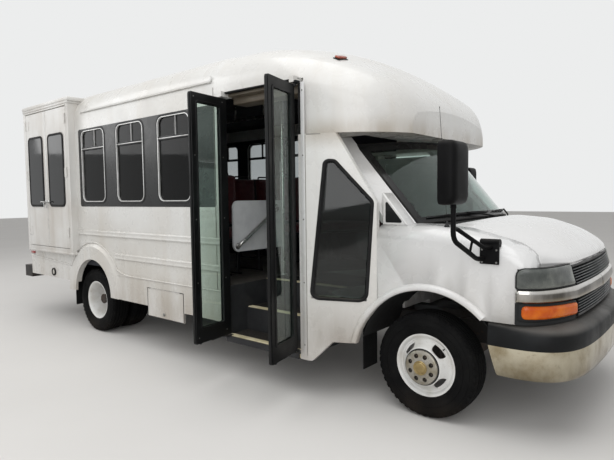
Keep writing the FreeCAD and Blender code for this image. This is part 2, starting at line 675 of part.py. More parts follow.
def make_running_gear():
    cross = block("front_cross", ("front_axle - 130", "front_axle + 130"),
                  ("-rail_y - rail_width / 2", "rail_y + rail_width / 2"), ("300", "low_rail_bottom - 60"))
    parts = [cross]
    bores = []
    for side, sign in (("right", "-"), ("left", "")):
        low, high = ("rail_y + rail_width / 2", "kingpin_y + 35")
        span = (low, high) if sign == "" else (f"-({high})", f"-({low})")
        parts.append(block(f"lower_arm_{side}", ("front_axle - 110", "front_axle + 110"), span,
                           ("250", "axle_z - 90 - seat_gap")))
        parts.append(block(f"lower_arm_root_{side}", ("front_axle - 110", "front_axle + 110"),
                           (f"{sign}rail_y - rail_width / 2", f"{sign}rail_y + rail_width / 2"),
                           ("250", "300")))
        parts.append(block(f"upper_arm_{side}", ("front_axle - 70", "front_axle + 70"), span,
                           ("axle_z + 90 + seat_gap", "axle_z + 120")))
        parts.append(block(f"tower_{side}", ("front_axle - 130", "front_axle + 130"),
                           (f"{sign}rail_y - rail_width / 2", f"{sign}rail_y + rail_width / 2"),
                           ("low_rail_bottom - 60", "low_rail_bottom")))
        start = "kingpin_y - 35" if sign == "" else "-(kingpin_y + 25)"
        upright = block(f"upright_{side}", ("front_axle - 45", "front_axle + 45"),
                        (start, f"{start} + 60"), ("axle_z - 90", "axle_z + 90"))
        end = "front_wheel_y + disc_reach + hub_nose - 4 * rim_wall - kingpin_y - 5"
        stub_start = "kingpin_y" if sign == "" else f"-kingpin_y - ({end})"
        stub = rod(f"stub_{side}", "y", ("front_axle", stub_start, "axle_z"), end, "spindle_radius")
        pin_start = "axle_z - kingpin_reach"
        kingpin = rod(f"kingpin_{side}", "z", ("front_axle", f"{sign}kingpin_y", pin_start),
                      "2 * kingpin_reach", "kingpin_radius")
        bores.append(rod(f"kingpin_bore_{side}", "z", ("front_axle", f"{sign}kingpin_y", "axle_z - 200"),
                         "400", "kingpin_radius + running_gap"))
        keep(join(f"knuckle_{side}", upright, stub, kingpin), f"knuckle_{side}")
    keep(cut("front_suspension", join("front_arms", *parts), *bores), "front_suspension")

    beam = rod("axle_beam", "y", ("rear_axle", "-(rear_wheel_y - twin_spacing / 4 - 8)", "axle_z"),
               "2 * (rear_wheel_y - twin_spacing / 4 - 8)", "45")
    ends = rod("axle_ends", "y", ("rear_axle", "-(rear_wheel_y - 8)", "axle_z"),
               "2 * (rear_wheel_y - 8)", "spindle_radius")
    ball = doc.addObject("Part::Sphere", "axle_ball")
    ball.Radius = 150
    ball.setExpression("Placement.Base.x", link("rear_axle"))
    ball.setExpression("Placement.Base.z", link("axle_z"))
    seats = [block(f"spring_seat_{number}", ("rear_axle - 60", "rear_axle + 60"),
                   (f"{sign}rail_y - 35", f"{sign}rail_y + 35"), ("axle_z", "axle_z + 60"))
             for number, sign in enumerate(("-", ""))]
    nose = rod("pinion_nose", "x", ("rear_axle", "0", "axle_z"), "220", "52")
    keep(join("rear_axle", beam, ends, ball, nose, *seats), "rear_axle")

    springs = []
    for side, sign in (("right", "-"), ("left", "")):
        leaf = profile(f"spring_{side}", "XZ", (
            ("rear_axle - 720", "rail_bottom - 30"),
            ("rear_axle", "axle_z + 60", "via"),
            ("rear_axle + 720", "rail_bottom - 30"),
            ("rear_axle + 720", "rail_bottom"),
            ("rear_axle + 660", "rail_bottom"),
            ("rear_axle", "axle_z + 96", "via"),
            ("rear_axle - 660", "rail_bottom"),
            ("rear_axle - 720", "rail_bottom"),
        ), f"{sign}rail_y - 32", f"{sign}rail_y + 32")
        springs.append(leaf)
    keep(group("leaf_springs", *springs), "leaf_springs")


def make_drive():
    engine = block("engine", ("front_axle + 150", "front_axle + 540"), ("-280", "280"),
                   ("452", "1010"))
    feet = block("engine_feet", ("front_axle + 330", "front_axle + 410"), ("-rail_y", "rail_y"),
                 ("low_rail_bottom + rail_wall", "low_rail_bottom + 50"))
    gearbox = block("gearbox", ("gearbox_cross_x + cross_width", "front_axle + 150"), ("-150", "150"),
                    ("452", "low_rail_top - 14"))
    keep(join("engine_block", engine, feet, gearbox), "engine_block")
    nose = Vector(at("rear_axle + 222"), 0, at("axle_z"))
    output = Vector(at("gearbox_cross_x - 3"), 0, at("low_rail_top - 70"))
    keep(feature("drive_shaft", Part.makeCylinder(34, (output - nose).Length, nose, output - nose)),
         "drive_shaft")
    keep(profile("fuel_tank", "YZ", (("500", "430"), ("1000", "430"), ("1000", "floor_bottom"),
                                     ("500", "floor_bottom")),
                 "-1100", "0", (("50", (0, 1)),)), "fuel_tank")
    hangers = [block(f"exhaust_hanger_{number}", (x, f"{x} + 30"), ("-262", "-238"), (low, "floor_bottom"))
               for number, (x, low) in enumerate((("-440", "590"), ("-3200", "520")))]
    muffler = rod("muffler", "x", ("-700", "-250", "500"), "550", "95")
    tail = rod("tail_pipe", "x", ("-3500", "-250", "500"), "2800", "28")
    front = rod("front_pipe", "x", ("-150", "-250", "500"), "1500", "28")
    keep(join("exhaust", muffler, tail, front, *hangers), "exhaust")


make_frame()
make_wheels()
make_running_gear()
make_drive()


# Floor, step well and wheel housings

def make_floor():
    slab = profile("floor_slab", "XY", (
        ("body_wall - body_rear", "-wall_inner"),
        ("entry_front", "-wall_inner"),
        ("entry_front", "landing_y"),
        ("cab_rear", "landing_y"),
        ("cab_rear", "wall_inner"),
        ("body_wall - body_rear", "wall_inner"),
    ), "floor_bottom", "floor_top")
    wells = [block(f"floor_well_{number}", ("rear_axle - 470", "rear_axle + 470"), span,
                   ("floor_bottom - 10", "floor_top + 10"))
             for number, span in enumerate((("-wall_inner - 1", "-620"), ("620", "wall_inner + 1")))]
    steps = block("floor_steps", ("entry_rear", "entry_front + 1"),
                  ("-wall_inner - 1", "step_tread * 2 + step_wall - body_half"),
                  ("floor_bottom - 10", "floor_top + 10"))
    keep(cut("saloon_floor", slab, *wells, steps), "saloon_floor")

    first = "-body_half"
    second = "step_tread - body_half"
    third = "2 * step_tread - body_half"
    stair = profile("stair", "YZ", (
        (first, "step_one - 2 * step_wall"),
        (first, "step_one"),
        (second, "step_one"),
        (second, "step_two"),
        (third, "step_two"),
        (third, "floor_top"),
        (f"{third} + step_wall", "floor_top"),
        (f"{third} + step_wall", "step_two - step_wall"),
        (f"{second} + step_wall", "step_two - step_wall"),
        (f"{second} + step_wall", "step_one - step_wall"),
        (f"{first} + step_wall", "step_one - step_wall"),
        (f"{first} + step_wall", "step_one - 2 * step_wall"),
    ), "entry_rear + step_wall", "entry_front - step_wall")
    cheeks = [block(f"stair_cheek_{number}", span, ("-wall_inner", f"{third} + step_wall"),
                    ("entry_bottom", "floor_top"))
              for number, span in enumerate((("entry_rear", "entry_rear + step_wall"),
                                             ("entry_front - step_wall", "entry_front")))]
    brackets = [block(f"pivot_bracket_{number}", span, ("entry_hinge_y - bracket_half", "1 - wall_inner"),
                      ("entry_leaf_bottom - pivot_reach - seat_gap - bracket_thick",
                       "entry_leaf_bottom - pivot_reach - seat_gap"))
                for number, span in enumerate((("entry_rear", "entry_rear + entry_rear_hinge_in + bracket_half"),
                                               ("entry_front - 2 * bracket_half", "entry_front")))]
    keep(join("step_well", stair, *cheeks, *brackets), "step_well")

    housings = []
    for side, sign in (("right", "-"), ("left", "")):
        inner, outer = ("620", "wall_inner")
        span = (inner, outer) if sign == "" else (f"-{outer}", f"-{inner}")
        cover = block(f"housing_{side}_cover", ("rear_axle - 470", "rear_axle + 470"), span,
                      ("floor_bottom", "floor_top + 130"))
        room_span = ("650", "wall_inner + 1") if sign == "" else ("-wall_inner - 1", "-650")
        room = block(f"housing_{side}_room", ("rear_axle - 450", "rear_axle + 450"), room_span,
                     ("floor_bottom - 1", "floor_top + 110"))
        housings.append(cut(f"housing_{side}", cover, room))
    keep(group("wheel_housings", *housings), "wheel_housings")


def window_holes(name, sign, first, count, extra=0):
    """Rounded holes through a side wall, one every window_pitch from the rear."""
    holes = []
    for number in range(count):
        low = f"{first} + {number} * window_pitch"
        y = ("-body_half - 40", "-wall_inner + 40") if sign == "-" else ("wall_inner - 40", "body_half + 40")
        holes.append(profile(f"{name}{number}", "XZ", (
            (low, "window_bottom"),
            (f"{low} + window_width", "window_bottom"),
            (f"{low} + window_width", "window_top"),
            (low, "window_top"),
        ), y[0], y[1], (("window_corner", (0, 1, 2, 3)),)))
    return holes


def window_panes(name, sign, first, count):
    """Framed panes that fill a row of holes."""
    panes = []
    for number in range(count):
        low = f"{first} + {number} * window_pitch"
        face = "body_half + frame_proud" if sign == "" else "-body_half - frame_proud"
        y = ("body_half - glass_thick * 2", face) if sign == "" else (face, "glass_thick * 2 - body_half")
        panes.append(profile(f"{name}{number}", "XZ", (
            (f"{low} + seat_gap", "window_bottom + seat_gap"),
            (f"{low} + window_width - seat_gap", "window_bottom + seat_gap"),
            (f"{low} + window_width - seat_gap", "window_top - seat_gap"),
            (f"{low} + seat_gap", "window_top - seat_gap"),
        ), y[0], y[1], (("window_corner", (0, 1, 2, 3)),)))
    return panes


def make_walls():
    rear = "body_wall - body_rear"
    panel = profile("right_panel", "XZ", (
        (rear, "rear_skirt_bottom"),
        ("-rear_arch_x", "rear_skirt_bottom"),
        ("-rear_arch_x", "skirt_bottom"),
        ("entry_rear", "skirt_bottom"),
        ("entry_rear", "entry_top"),
        ("seam_x", "entry_top"),
        ("seam_x", "roof_spring"),
        (rear, "roof_spring"),
    ), "-body_half", "-wall_inner")
    arch = rod("right_arch", "y", ("-rear_arch_x", "-body_half - 60", "rear_arch_z"), "200",
               "rear_arch_radius")
    lift_hole = block("lift_hole", ("lift_frame - lift_rear", "-lift_front - lift_frame"),
                      ("-body_half - 1", "-wall_inner + 1"), ("lift_bottom + lift_frame", "roof_spring - 60"))
    locker = block("locker_hole", ("access_rear", "access_front"), ("-body_half - 1", "-wall_inner + 1"),
                   ("skirt_bottom - 1", "access_top"))
    flare = flare_ring("right_flare", "-")
    holes = window_holes("right_window_hole", "-", "-window_first", 3)
    bare = cut("right_bare", join("right_with_flare", panel, flare,
                                  *mouldings("right", "-", "-lift_front", "entry_rear")),
               arch, lift_hole, locker, *holes)
    keep(bare, "right_wall")

    left = profile("left_panel", "XZ", (
        (rear, "rear_skirt_bottom"),
        ("-rear_arch_x", "rear_skirt_bottom"),
        ("-rear_arch_x", "skirt_bottom"),
        ("cab_rear", "skirt_bottom"),
        ("cab_rear", "cap_bottom"),
        ("seam_x", "cap_bottom"),
        ("seam_x", "roof_spring"),
        (rear, "roof_spring"),
    ), "wall_inner", "body_half")
    left_arch = rod("left_arch", "y", ("-rear_arch_x", "body_half - 140", "rear_arch_z"), "200",
                    "rear_arch_radius")
    left_holes = window_holes("left_window_hole", "", "-left_window_first", 4)
    keep(cut("left_bare", join("left_with_flare", left, flare_ring("left_flare", ""),
                               *mouldings("left", "", "-body_rear + body_wall", "cab_rear")),
             left_arch, *left_holes), "left_wall")

    back = profile("rear_panel", "YZ", roof_outline("0", "rear_skirt_bottom"), "-body_rear",
                   "body_wall - body_rear")
    rear_hole = profile("rear_hole", "YZ", (
        ("-560", "window_bottom"), ("560", "window_bottom"), ("560", "window_top - 200"),
        ("-560", "window_top - 200")), "-body_rear - 1", "body_wall - body_rear + 1",
        (("window_corner", (0, 1, 2, 3)),))
    plate_holes = [rod(f"plate_hole_{number}", "x",
                       ("-body_rear - 1", f"{sign}plate_pitch / 2", "plate_z"), "body_wall + 2",
                       "plate_hole_radius") for number, sign in enumerate(("-", ""))]
    keep(cut("rear_wall", back, rear_hole, *plate_holes), "rear_wall")
    rear_pane = profile("rear_pane", "YZ", (
        ("seat_gap - 560", "window_bottom + seat_gap"), ("560 - seat_gap", "window_bottom + seat_gap"),
        ("560 - seat_gap", "window_top - 200 - seat_gap"), ("seat_gap - 560", "window_top - 200 - seat_gap")),
        "-body_rear - frame_proud", "-body_rear + 2 * glass_thick",
        (("window_corner", (0, 1, 2, 3)),))
    keep(group("saloon_windows",
               *window_panes("right_pane", "-", "-window_first", 3),
               *window_panes("left_pane", "", "-left_window_first", 4), rear_pane), "saloon_windows")

    outer = Part.Face(ring("YZ", "body_wall - body_rear", roof_outline("0", "roof_spring - 1")))
    shell = outer.extrude(Vector(at("seam_x + body_rear - body_wall"), 0, 0))
    inner = Part.Face(ring("YZ", "body_wall - body_rear", roof_outline("body_wall", "roof_spring - 1")))
    hollow = inner.extrude(Vector(at("seam_x + body_rear - body_wall"), 0, 0))
    trim = Part.makeBox(8000, 4000, 2000, Vector(-4000, -2000, at("roof_spring") - 2000))
    keep(feature("roof", shell.cut(hollow).cut(trim)), "roof")


def mouldings(side, sign, start, end):
    """Rub mouldings and the bead above the skirt."""
    face, out = "body_half", "body_half + moulding_proud"
    bars = []
    rows = (("upper", "upper_moulding_z", "moulding_height", "moulding_proud", start),
            ("lower", "lower_moulding_z", "moulding_height", "moulding_proud",
             "flare_radius - rear_arch_x"),
            ("skirt", "skirt_line_z", "skirt_line_height", "skirt_line_proud",
             "flare_radius - 100 - rear_arch_x"))
    for label, middle, height, proud, first in rows:
        span = ("body_half - 1", f"body_half + {proud}")
        if sign == "-":
            span = (f"-body_half - {proud}", "1 - body_half")
        bars.append(block(f"{side}_{label}_bar", (first, end), span,
                          (f"{middle} - {height} / 2", f"{middle} + {height} / 2")))
    return bars


def flare_ring(name, sign):
    """Sloping raised rim round the rear wheel opening."""
    cone = doc.addObject("Part::Cone", name + "_cone")
    cone.setExpression("Radius1", link("flare_radius"))
    cone.setExpression("Radius2", link("flare_radius - flare_rise"))
    cone.setExpression("Height", link("flare_proud"))
    turn = 90 if sign == "-" else -90
    cone.Placement = FreeCAD.Placement(Vector(), FreeCAD.Rotation(Vector(1, 0, 0), turn))
    cone.setExpression("Placement.Base.x", link("-rear_arch_x"))
    cone.setExpression("Placement.Base.y", link(f"{sign}body_half"))
    cone.setExpression("Placement.Base.z", link("rear_arch_z"))
    y = ("-body_half - flare_proud - 1", "1 - body_half")
    if sign == "":
        y = ("body_half - 1", "body_half + flare_proud + 1")
    below = block(name + "_below", ("-rear_arch_x - 2 * flare_radius", "2 * flare_radius - rear_arch_x"),
                  y, ("-flare_radius", "rear_arch_z"))
    return cut(name, cone, below)


make_floor()
make_walls()


# Lift housing with its two door leaves

def make_lift():
    shell = block("lift_shell", ("-lift_rear", "-lift_front"),
                  ("lift_face", "lift_inward - body_half"), ("lift_bottom", "lift_top"))
    hollow = profile("lift_body_space", "YZ", roof_outline("0", "lift_bottom - 10"),
                     "-lift_rear - 1", "1 - lift_front")
    doorway = block("lift_doorway", ("lift_frame - lift_rear", "-lift_front - lift_frame"),
                    ("lift_face - 1", "2 - body_half"),
                    ("lift_bottom + lift_frame", "lift_top - lift_frame - 20"))
    clearing = rod("lift_flare_space", "y", ("-rear_arch_x", "-body_half - flare_proud - 1", "rear_arch_z"),
                   "flare_proud + 2", "flare_radius")
    keep(cut("lift_housing", shell, hollow, doorway, clearing), "lift_housing")

    for label, low, high in (("rear", "lift_frame - lift_rear + leaf_gap", "lift_split - leaf_gap / 2"),
                             ("front", "lift_split + leaf_gap / 2", "-lift_front - lift_frame - leaf_gap")):
        bottom, top = "lift_bottom + lift_frame + leaf_gap", "lift_top - lift_frame - 20 - leaf_gap"
        slab = block(f"lift_{label}_slab", (low, high), ("lift_face", "lift_face + lift_leaf_thick"),
                     (bottom, top))
        hole = profile(f"lift_{label}_hole", "XZ", (
            (f"{low} + lift_window_side", "lift_window_low"),
            (f"{high} - lift_window_side", "lift_window_low"),
            (f"{high} - lift_window_side", "lift_window_high"),
            (f"{low} + lift_window_side", "lift_window_high"),
        ), "lift_face - 1", "lift_face + lift_leaf_thick + 1", (("window_corner / 2", (0, 1, 2, 3)),))
        pane = profile(f"lift_{label}_pane", "XZ", (
            (f"{low} + lift_window_side + seat_gap", "lift_window_low + seat_gap"),
            (f"{high} - lift_window_side - seat_gap", "lift_window_low + seat_gap"),
            (f"{high} - lift_window_side - seat_gap", "lift_window_high - seat_gap"),
            (f"{low} + lift_window_side + seat_gap", "lift_window_high - seat_gap"),
        ), "lift_face - frame_proud", "lift_face + glass_thick", (("window_corner / 2", (0, 1, 2, 3)),))
        hinge_x = f"{low} - leaf_gap / 2" if label == "rear" else f"{high} + leaf_gap / 2"
        strap_span = (hinge_x, f"{low} + lift_strap_reach") if label == "rear" else (f"{high} - lift_strap_reach", hinge_x)
        hinges = []
        for number, height in enumerate(("lift_bottom + 200", "(lift_bottom + lift_top) / 2", "lift_top - 280")):
            hinges.append(rod(f"lift_{label}_barrel_{number}", "z", (hinge_x, "lift_face - lift_hinge_out", height),
                              "hinge_length", "lift_hinge_out - seat_gap"))
            hinges.append(block(f"lift_{label}_strap_{number}", strap_span,
                                ("lift_face - lift_hinge_out / 2", "lift_face + 1"), (height, f"{height} + hinge_length")))
        hung = cut(f"lift_{label}_hung", join(f"lift_{label}_plates", *hinges),
                   block(f"lift_{label}_gap", (f"{hinge_x} - leaf_gap / 2", low) if label == "rear"
                         else (high, f"{hinge_x} + leaf_gap / 2"),
                         ("lift_face", "lift_face + 2"), ("lift_bottom", "lift_top")))
        keep(group(f"lift_leaf_{label}", join(f"lift_{label}_door", cut(f"lift_{label}_panel", slab, hole), hung),
                   pane), f"lift_leaf_{label}")


# Entry door: two leaves that stand open, each hung on its jamb

def entry_leaf(label, inward):
    """A leaf about its hinge line at the local origin, reaching to -Y; inward is its X side."""
    thick = ("0", "entry_leaf_thick") if inward == "1" else ("-entry_leaf_thick", "0")
    tail = "-leaf_gap" if label == "front" else "entry_leaf_tail"
    slab = block(f"entry_{label}_slab", thick, ("-entry_leaf_width - leaf_gap", tail),
                 ("entry_leaf_bottom", "entry_leaf_top"))
    low, high = "entry_stile - entry_leaf_width - leaf_gap", "-entry_stile - leaf_gap"
    bottom, top = "entry_leaf_bottom + entry_low_rail", "entry_leaf_top - entry_stile"
    hole = block(f"entry_{label}_hole", (f"{thick[0]} - 1", f"{thick[1]} + 1"), (low, high),
                 (bottom, top))
    middle = f"(({thick[0]}) + ({thick[1]})) / 2"
    pane = block(f"entry_{label}_pane", (f"{middle} - glass_thick / 2", f"{middle} + glass_thick / 2"),
                 (f"{low} + seat_gap", f"{high} - seat_gap"), (f"{bottom} + seat_gap", f"{top} - seat_gap"))
    pivot = rod(f"entry_{label}_pivot", "z", ("0", "0", "entry_leaf_bottom - pivot_reach"),
                "entry_leaf_top - entry_leaf_bottom + 2 * pivot_reach", "pivot_radius")
    leaf = group(f"entry_leaf_{label}", join(f"entry_{label}_hung", cut(f"entry_{label}_frame", slab, hole),
                                             pivot), pane)
    hinge_x = "entry_front - entry_hinge_in" if label == "front" else "entry_rear + entry_rear_hinge_in"
    turn = "entry_front_swing" if label == "front" else "entry_rear_swing"
    leaf.Placement = FreeCAD.Placement(Vector(), FreeCAD.Rotation(Vector(0, 0, 1), 0))
    leaf.setExpression("Placement.Rotation.Angle", link(turn))
    leaf.setExpression("Placement.Base.x", link(hinge_x))
    leaf.setExpression("Placement.Base.y", link("entry_hinge_y"))
    return keep(leaf, f"entry_leaf_{label}")


def make_entry():
    entry_leaf("front", "-1")
    entry_leaf("rear", "1")
    leaf = block("skirt_leaf", ("access_rear + leaf_gap", "access_front - leaf_gap"),
                 ("-body_half", "18 - body_half"), ("skirt_bottom - 100", "access_top - leaf_gap"))
    barrel = rod("skirt_barrel", "x", ("access_rear + 60", "-body_half - 2", "access_top - leaf_gap / 2"),
                 "access_front - access_rear - 120", "leaf_gap / 2 - seat_gap")
    strap = block("skirt_strap", ("access_rear + 60", "access_front - 60"), ("-body_half - 2", "2 - body_half"),
                  ("access_top - leaf_gap - 1", "access_top - leaf_gap / 2"))
    keep(join("skirt_door", leaf, barrel, strap), "skirt_door")


# Front cap, transitions and van cab

CAP_SECTIONS = (  # place ahead of the seam, half width, side height, corner radius, crown height
    ("0", "body_half", "roof_spring", "roof_corner", "roof_top"),
    ("500", "body_half - 2", "roof_spring - 30", "roof_corner", "roof_top - 25"),
    ("940", "body_half - 30", "roof_spring - 130", "roof_corner", "roof_top - 130"),
    ("1260", "body_half - 130", "roof_spring - 260", "roof_corner", "roof_top - 300"),
    ("1470", "body_half - 300", "roof_spring - 340", "roof_corner - 60", "roof_top - 470"),
    ("1600", "body_half - 520", "roof_spring - 430", "roof_corner - 180", "roof_top - 660"),
)


def cap_wires(inset, low):
    wires = []
    for ahead, half, side, corner, top in CAP_SECTIONS:
        width = f"{half} - ({inset})"
        radius = f"({corner}) - ({inset})"
        lean = f"({radius}) * sin(45)"
        shift = f"({inset})" if ahead != "0" else "0"
        edge_in = f"({corner}) * roof_edge_in / roof_corner"
        rise = f"({corner}) * roof_edge_rise / roof_corner - ({inset})"
        wires.append(ring("YZ", f"seam_x + {ahead} - {shift}", (
            (width, low),
            (width, side),
            (f"{half} - ({corner}) + {lean}", f"{side} + {lean}", "via"),
            (f"{half} - {edge_in}", f"{side} + {rise}"),
            ("0", f"{top} - ({inset})", "via"),
            (f"-({half} - {edge_in})", f"{side} + {rise}"),
            (f"-({half} - ({corner}) + {lean})", f"{side} + {lean}", "via"),
            (f"-({width})", side),
            (f"-({width})", low),
        )))
    return wires


def make_cap():
    outer = Part.makeLoft(cap_wires("0", "cap_bottom"), True, False)
    inner = Part.makeLoft(cap_wires("cap_wall", "cap_bottom + cap_wall"), True, False)
    rear = at("seam_x")
    inner = inner.fuse(Part.makeBox(60, 10, 10, Vector(rear, 0, at("cap_bottom") + 100)))
    header = Part.makeBox(at("entry_front + 20 - seam_x"), 452, at("entry_top - cap_bottom") + 50,
                          Vector(rear, at("-body_half") - 50, at("cap_bottom") - 50))
    inside = Part.makeBox(at("1270 + seam_x") - rear, at("2 * cab_half - 340"), 200,
                          Vector(rear, -at("cab_half - 170"), at("cap_bottom") - 50))
    shape = outer.cut(inner).cut(header).cut(inside)
    for rear_edge, width in (("entry_rear", "entry_rear_hinge_in + bracket_half"),
                             ("entry_front - 2 * bracket_half", "2 * bracket_half")):
        low = at("entry_leaf_top + pivot_reach + seat_gap")
        shape = shape.fuse(Part.makeBox(at(width), at("entry_hinge_out + bracket_half + 75"),
                                        at("entry_top") + 5 - low,
                                        Vector(at(rear_edge), at("entry_hinge_y - bracket_half"), low)))
    keep(feature("front_cap", shape), "front_cap")


def make_transitions():
    plan = profile("right_transition_plan", "XY", (
        ("entry_front", "-body_half"),
        ("entry_front + 70", "-body_half"),
        ("door_front + 8", "-cab_half"),
        ("door_front + 8", "36 - cab_half"),
        ("entry_front + 78", "36 - body_half"),
        ("entry_front", "36 - body_half"),
    ), "entry_bottom", "cap_bottom")
    face = profile("right_transition_face", "XZ", (
        ("entry_front", "entry_bottom"),
        ("entry_front + 100", "entry_bottom"),
        ("entry_front + 240", "skirt_bottom"),
        ("door_front + 8", "skirt_bottom"),
        ("door_front + 8", "belt_z + 150"),
        ("1400", "cap_bottom"),
        ("entry_front", "cap_bottom"),
    ), "-body_half - 50", "200 - cab_half")
    hole = profile("right_transition_hole", "XZ", (
        ("1226", "776"),
        ("1598", "768"),
        ("1660 - 20", "1488"),
        ("1394", "1786"),
        ("1327", "1791"),
    ), "-body_half - 50", "200 - cab_half")
    arch = rod("transition_arch", "y", ("front_arch_x", "-body_half", "front_arch_z"), "400",
               "front_arch_radius")
    body = cut("right_transition", common("right_transition_panel", plan, face), hole, arch)
    keep(body, "transition_right")
    pane_plan = profile("right_pane_plan", "XY", (
        ("entry_front + 70", "6 - body_half"),
        ("door_front + 8", "6 - cab_half"),
        ("door_front + 8", "18 - cab_half"),
        ("entry_front + 70", "18 - body_half"),
    ), "entry_bottom", "cap_bottom")
    pane_face = profile("right_pane_face", "XZ", (
        ("1226.5", "776.5"),
        ("1597.5", "768.5"),
        ("1639.5", "1487.8"),
        ("1393.8", "1785.5"),
        ("1327.4", "1790.5"),
    ), "-body_half - 50", "200 - cab_half")
    keep(common("transition_window", pane_plan, pane_face), "transition_window")

    keep(profile("left_transition", "XY", (
        ("cab_rear", "body_half"),
        ("cab_rear", "36 + cab_half"),
        ("door_rear - leaf_gap - 36", "cab_half - door_thick"),
        ("door_rear - leaf_gap", "cab_half - door_thick"),
        ("door_rear - leaf_gap", "cab_half"),
    ), "skirt_bottom", "cap_bottom"), "transition_left")


def make_cab():
    floor = block("cab_floor", ("cab_rear", "firewall_x"), ("landing_y", "540"),
                  ("cab_floor_top - cab_floor_thick", "cab_floor_top"))
    floor_left = block("cab_floor_left", ("cab_rear", "firewall_x - 100"),
                       ("0", "cab_half - door_thick - 10"), ("cab_floor_top - cab_floor_thick", "cab_floor_top"))
    floor_right = block("cab_floor_right", ("entry_front", "firewall_x - 100"),
                        ("40 - cab_half", "0"), ("cab_floor_top - cab_floor_thick", "cab_floor_top"))
    risers = [block("cab_riser_rear", ("cab_rear", "cab_rear + 20"), ("landing_y", "cab_half - door_thick - 10"),
                    ("cab_floor_top - 1", "floor_top")),
              block("cab_riser_side", ("cab_rear", "entry_front + 20"), ("landing_y", "landing_y + 20"),
                    ("cab_floor_top - 1", "floor_top")),
              block("cab_riser_front", ("entry_front", "entry_front + 20"), ("40 - cab_half", "landing_y + 20"),
                    ("cab_floor_top - 1", "floor_top"))]
    wall = block("fire_wall", ("firewall_x - 20", "firewall_x"), ("-540", "540"),
                 ("cab_floor_top - 1", "belt_z - 60"))
    cowl = block("cowl", ("firewall_x - 20", "firewall_x + 420"), ("-hood_half - 3", "hood_half + 3"),
                 ("belt_z - 80", "belt_z - 40"))
    arms = [cut(f"hood_arm_{number}",
                block(f"hood_arm_bar_{number}", ("firewall_x + 400", "hood_hinge_x + 18"), span,
                      ("hood_hinge_z - 18", "hood_hinge_z + 18")),
                rod(f"hood_arm_eye_{number}", "y", ("hood_hinge_x", "-cab_half", "hood_hinge_z"), "2 * cab_half",
                    "hinge_radius + seat_gap"))
            for number, span in enumerate((("-hood_hinge_y - 10", "10 - hood_hinge_y"),
                                           ("hood_hinge_y - 10", "hood_hinge_y + 10")))]
    pillars = []
    for side, sign in (("right", ""), ("left", "-")):
        inner = "(hood_half - 10 + seat_gap)"
        rows = (("belt_z - 50", "1925", "1680", inner, "(cab_half - 80)"),
                ("cap_bottom", "1310", "1150", inner, "(cab_half - 110)"))
        wires = [ring("XY", z, ((f"{front}", f"-{inner}"), (f"{rear} + 60", f"-{outer}"),
                                (f"{rear}", f"20 - {outer}"), (f"{front} - 80", f"-{inner}")))
                 for z, front, rear, inner, outer in rows]
        post = Part.makeLoft(wires, True, True)
        if side == "left":
            post = post.mirror(Vector(), Vector(0, 1, 0))
        pillars.append(feature(f"pillar_{side}", post))
    rooms = [block(f"fender_room_{number}", ("firewall_x", "hood_hinge_x"), span, ("belt_z - 200", "belt_z + seat_gap"))
             for number, span in enumerate((("-cab_half", "seat_gap - hood_half - hood_gap"),
                                            ("hood_half + hood_gap - seat_gap", "cab_half")))]
    keep(cut("cab_shell", join("cab_whole", floor, floor_left, floor_right, wall, cowl, *risers, *arms,
                               *pillars), *rooms), "cab_shell")

    wires = []
    for z_middle, z_side, x_middle, x_side in (("1359", "1319", "2165", "1885"), ("1955", "1915", "1680", "1365")):
        wires.append((z_middle, z_side, x_middle, x_side))
    sections = []
    for z_middle, z_side, x_middle, x_side in wires:
        ends = [Vector(at(x_side), side * at("hood_half - 10"), at(z_side)) for side in (-1, 1)]
        nose = Vector(at(x_middle), 0, at(z_middle))
        inward = (Vector(ends[0].x, 0, ends[0].z) - nose).normalize() * 12
        front = Part.Arc(ends[0], nose, ends[1]).toShape()
        back = Part.Arc(ends[1] + inward, nose + inward, ends[0] + inward).toShape()
        joins = [Part.LineSegment(front.Vertexes[1].Point, back.Vertexes[0].Point).toShape(),
                 Part.LineSegment(back.Vertexes[1].Point, front.Vertexes[0].Point).toShape()]
        sections.append(Part.Wire([front, joins[0], back, joins[1]]))
    keep(feature("windscreen", Part.makeLoft(sections, True, True)), "windscreen")


FENDER_SECTIONS = (  # place, side face and height beside the hood
    ("firewall_x + 25", "cab_half", "belt_z"),
    ("front_axle + 60", "cab_half", "belt_z"),
    ("front_axle + 270", "cab_half", "belt_z - 22"),
    ("grille_front - 465", "cab_half", "belt_z - 70"),
    ("grille_front - 350", "cab_half - 4", "belt_z - 106"),
    ("grille_front - 280", "cab_half - 22", "belt_z - 142"),
    ("grille_front - 245", "cab_half - 42", "belt_z - 180"),
    ("grille_front - 228", "cab_half - 62", "lamp_top + 20"),
)
HOOD_SECTIONS = (  # share of half the width, rear edge, knee, front curve and nose, each as X and Z
    ("1", "2150", "1326", "2474", "1254", "2640", "1203", "2704", "1100"),
    ("0.75", "2195", "1340", "2485", "1296", "2715", "1212", "2842", "1094"),
    ("0.375", "2245", "1357", "2495", "1335", "2735", "1236", "2895", "1090"),
    ("0", "2262", "1362", "2500", "1346", "2742", "1243", "2912", "1086"),
)


def crown(side, top, skin, edge):
    """A fender's section from its straight side over the rounded shoulder to the hood's edge."""
    middle = f"fender_round - (fender_round - {skin}) * sqrt(0.5)"
    shoulder = f"{top} - fender_fall"
    return ((f"{skin} - ({side})", "skirt_bottom"),
            (f"{skin} - ({side})", f"{shoulder} - fender_round"),
            (f"{middle} - ({side})", f"{shoulder} - ({middle})", "via"),
            (f"fender_round - ({side})", f"{shoulder} - {skin}"),
            (f"-({edge})", f"{top} - {skin}"))


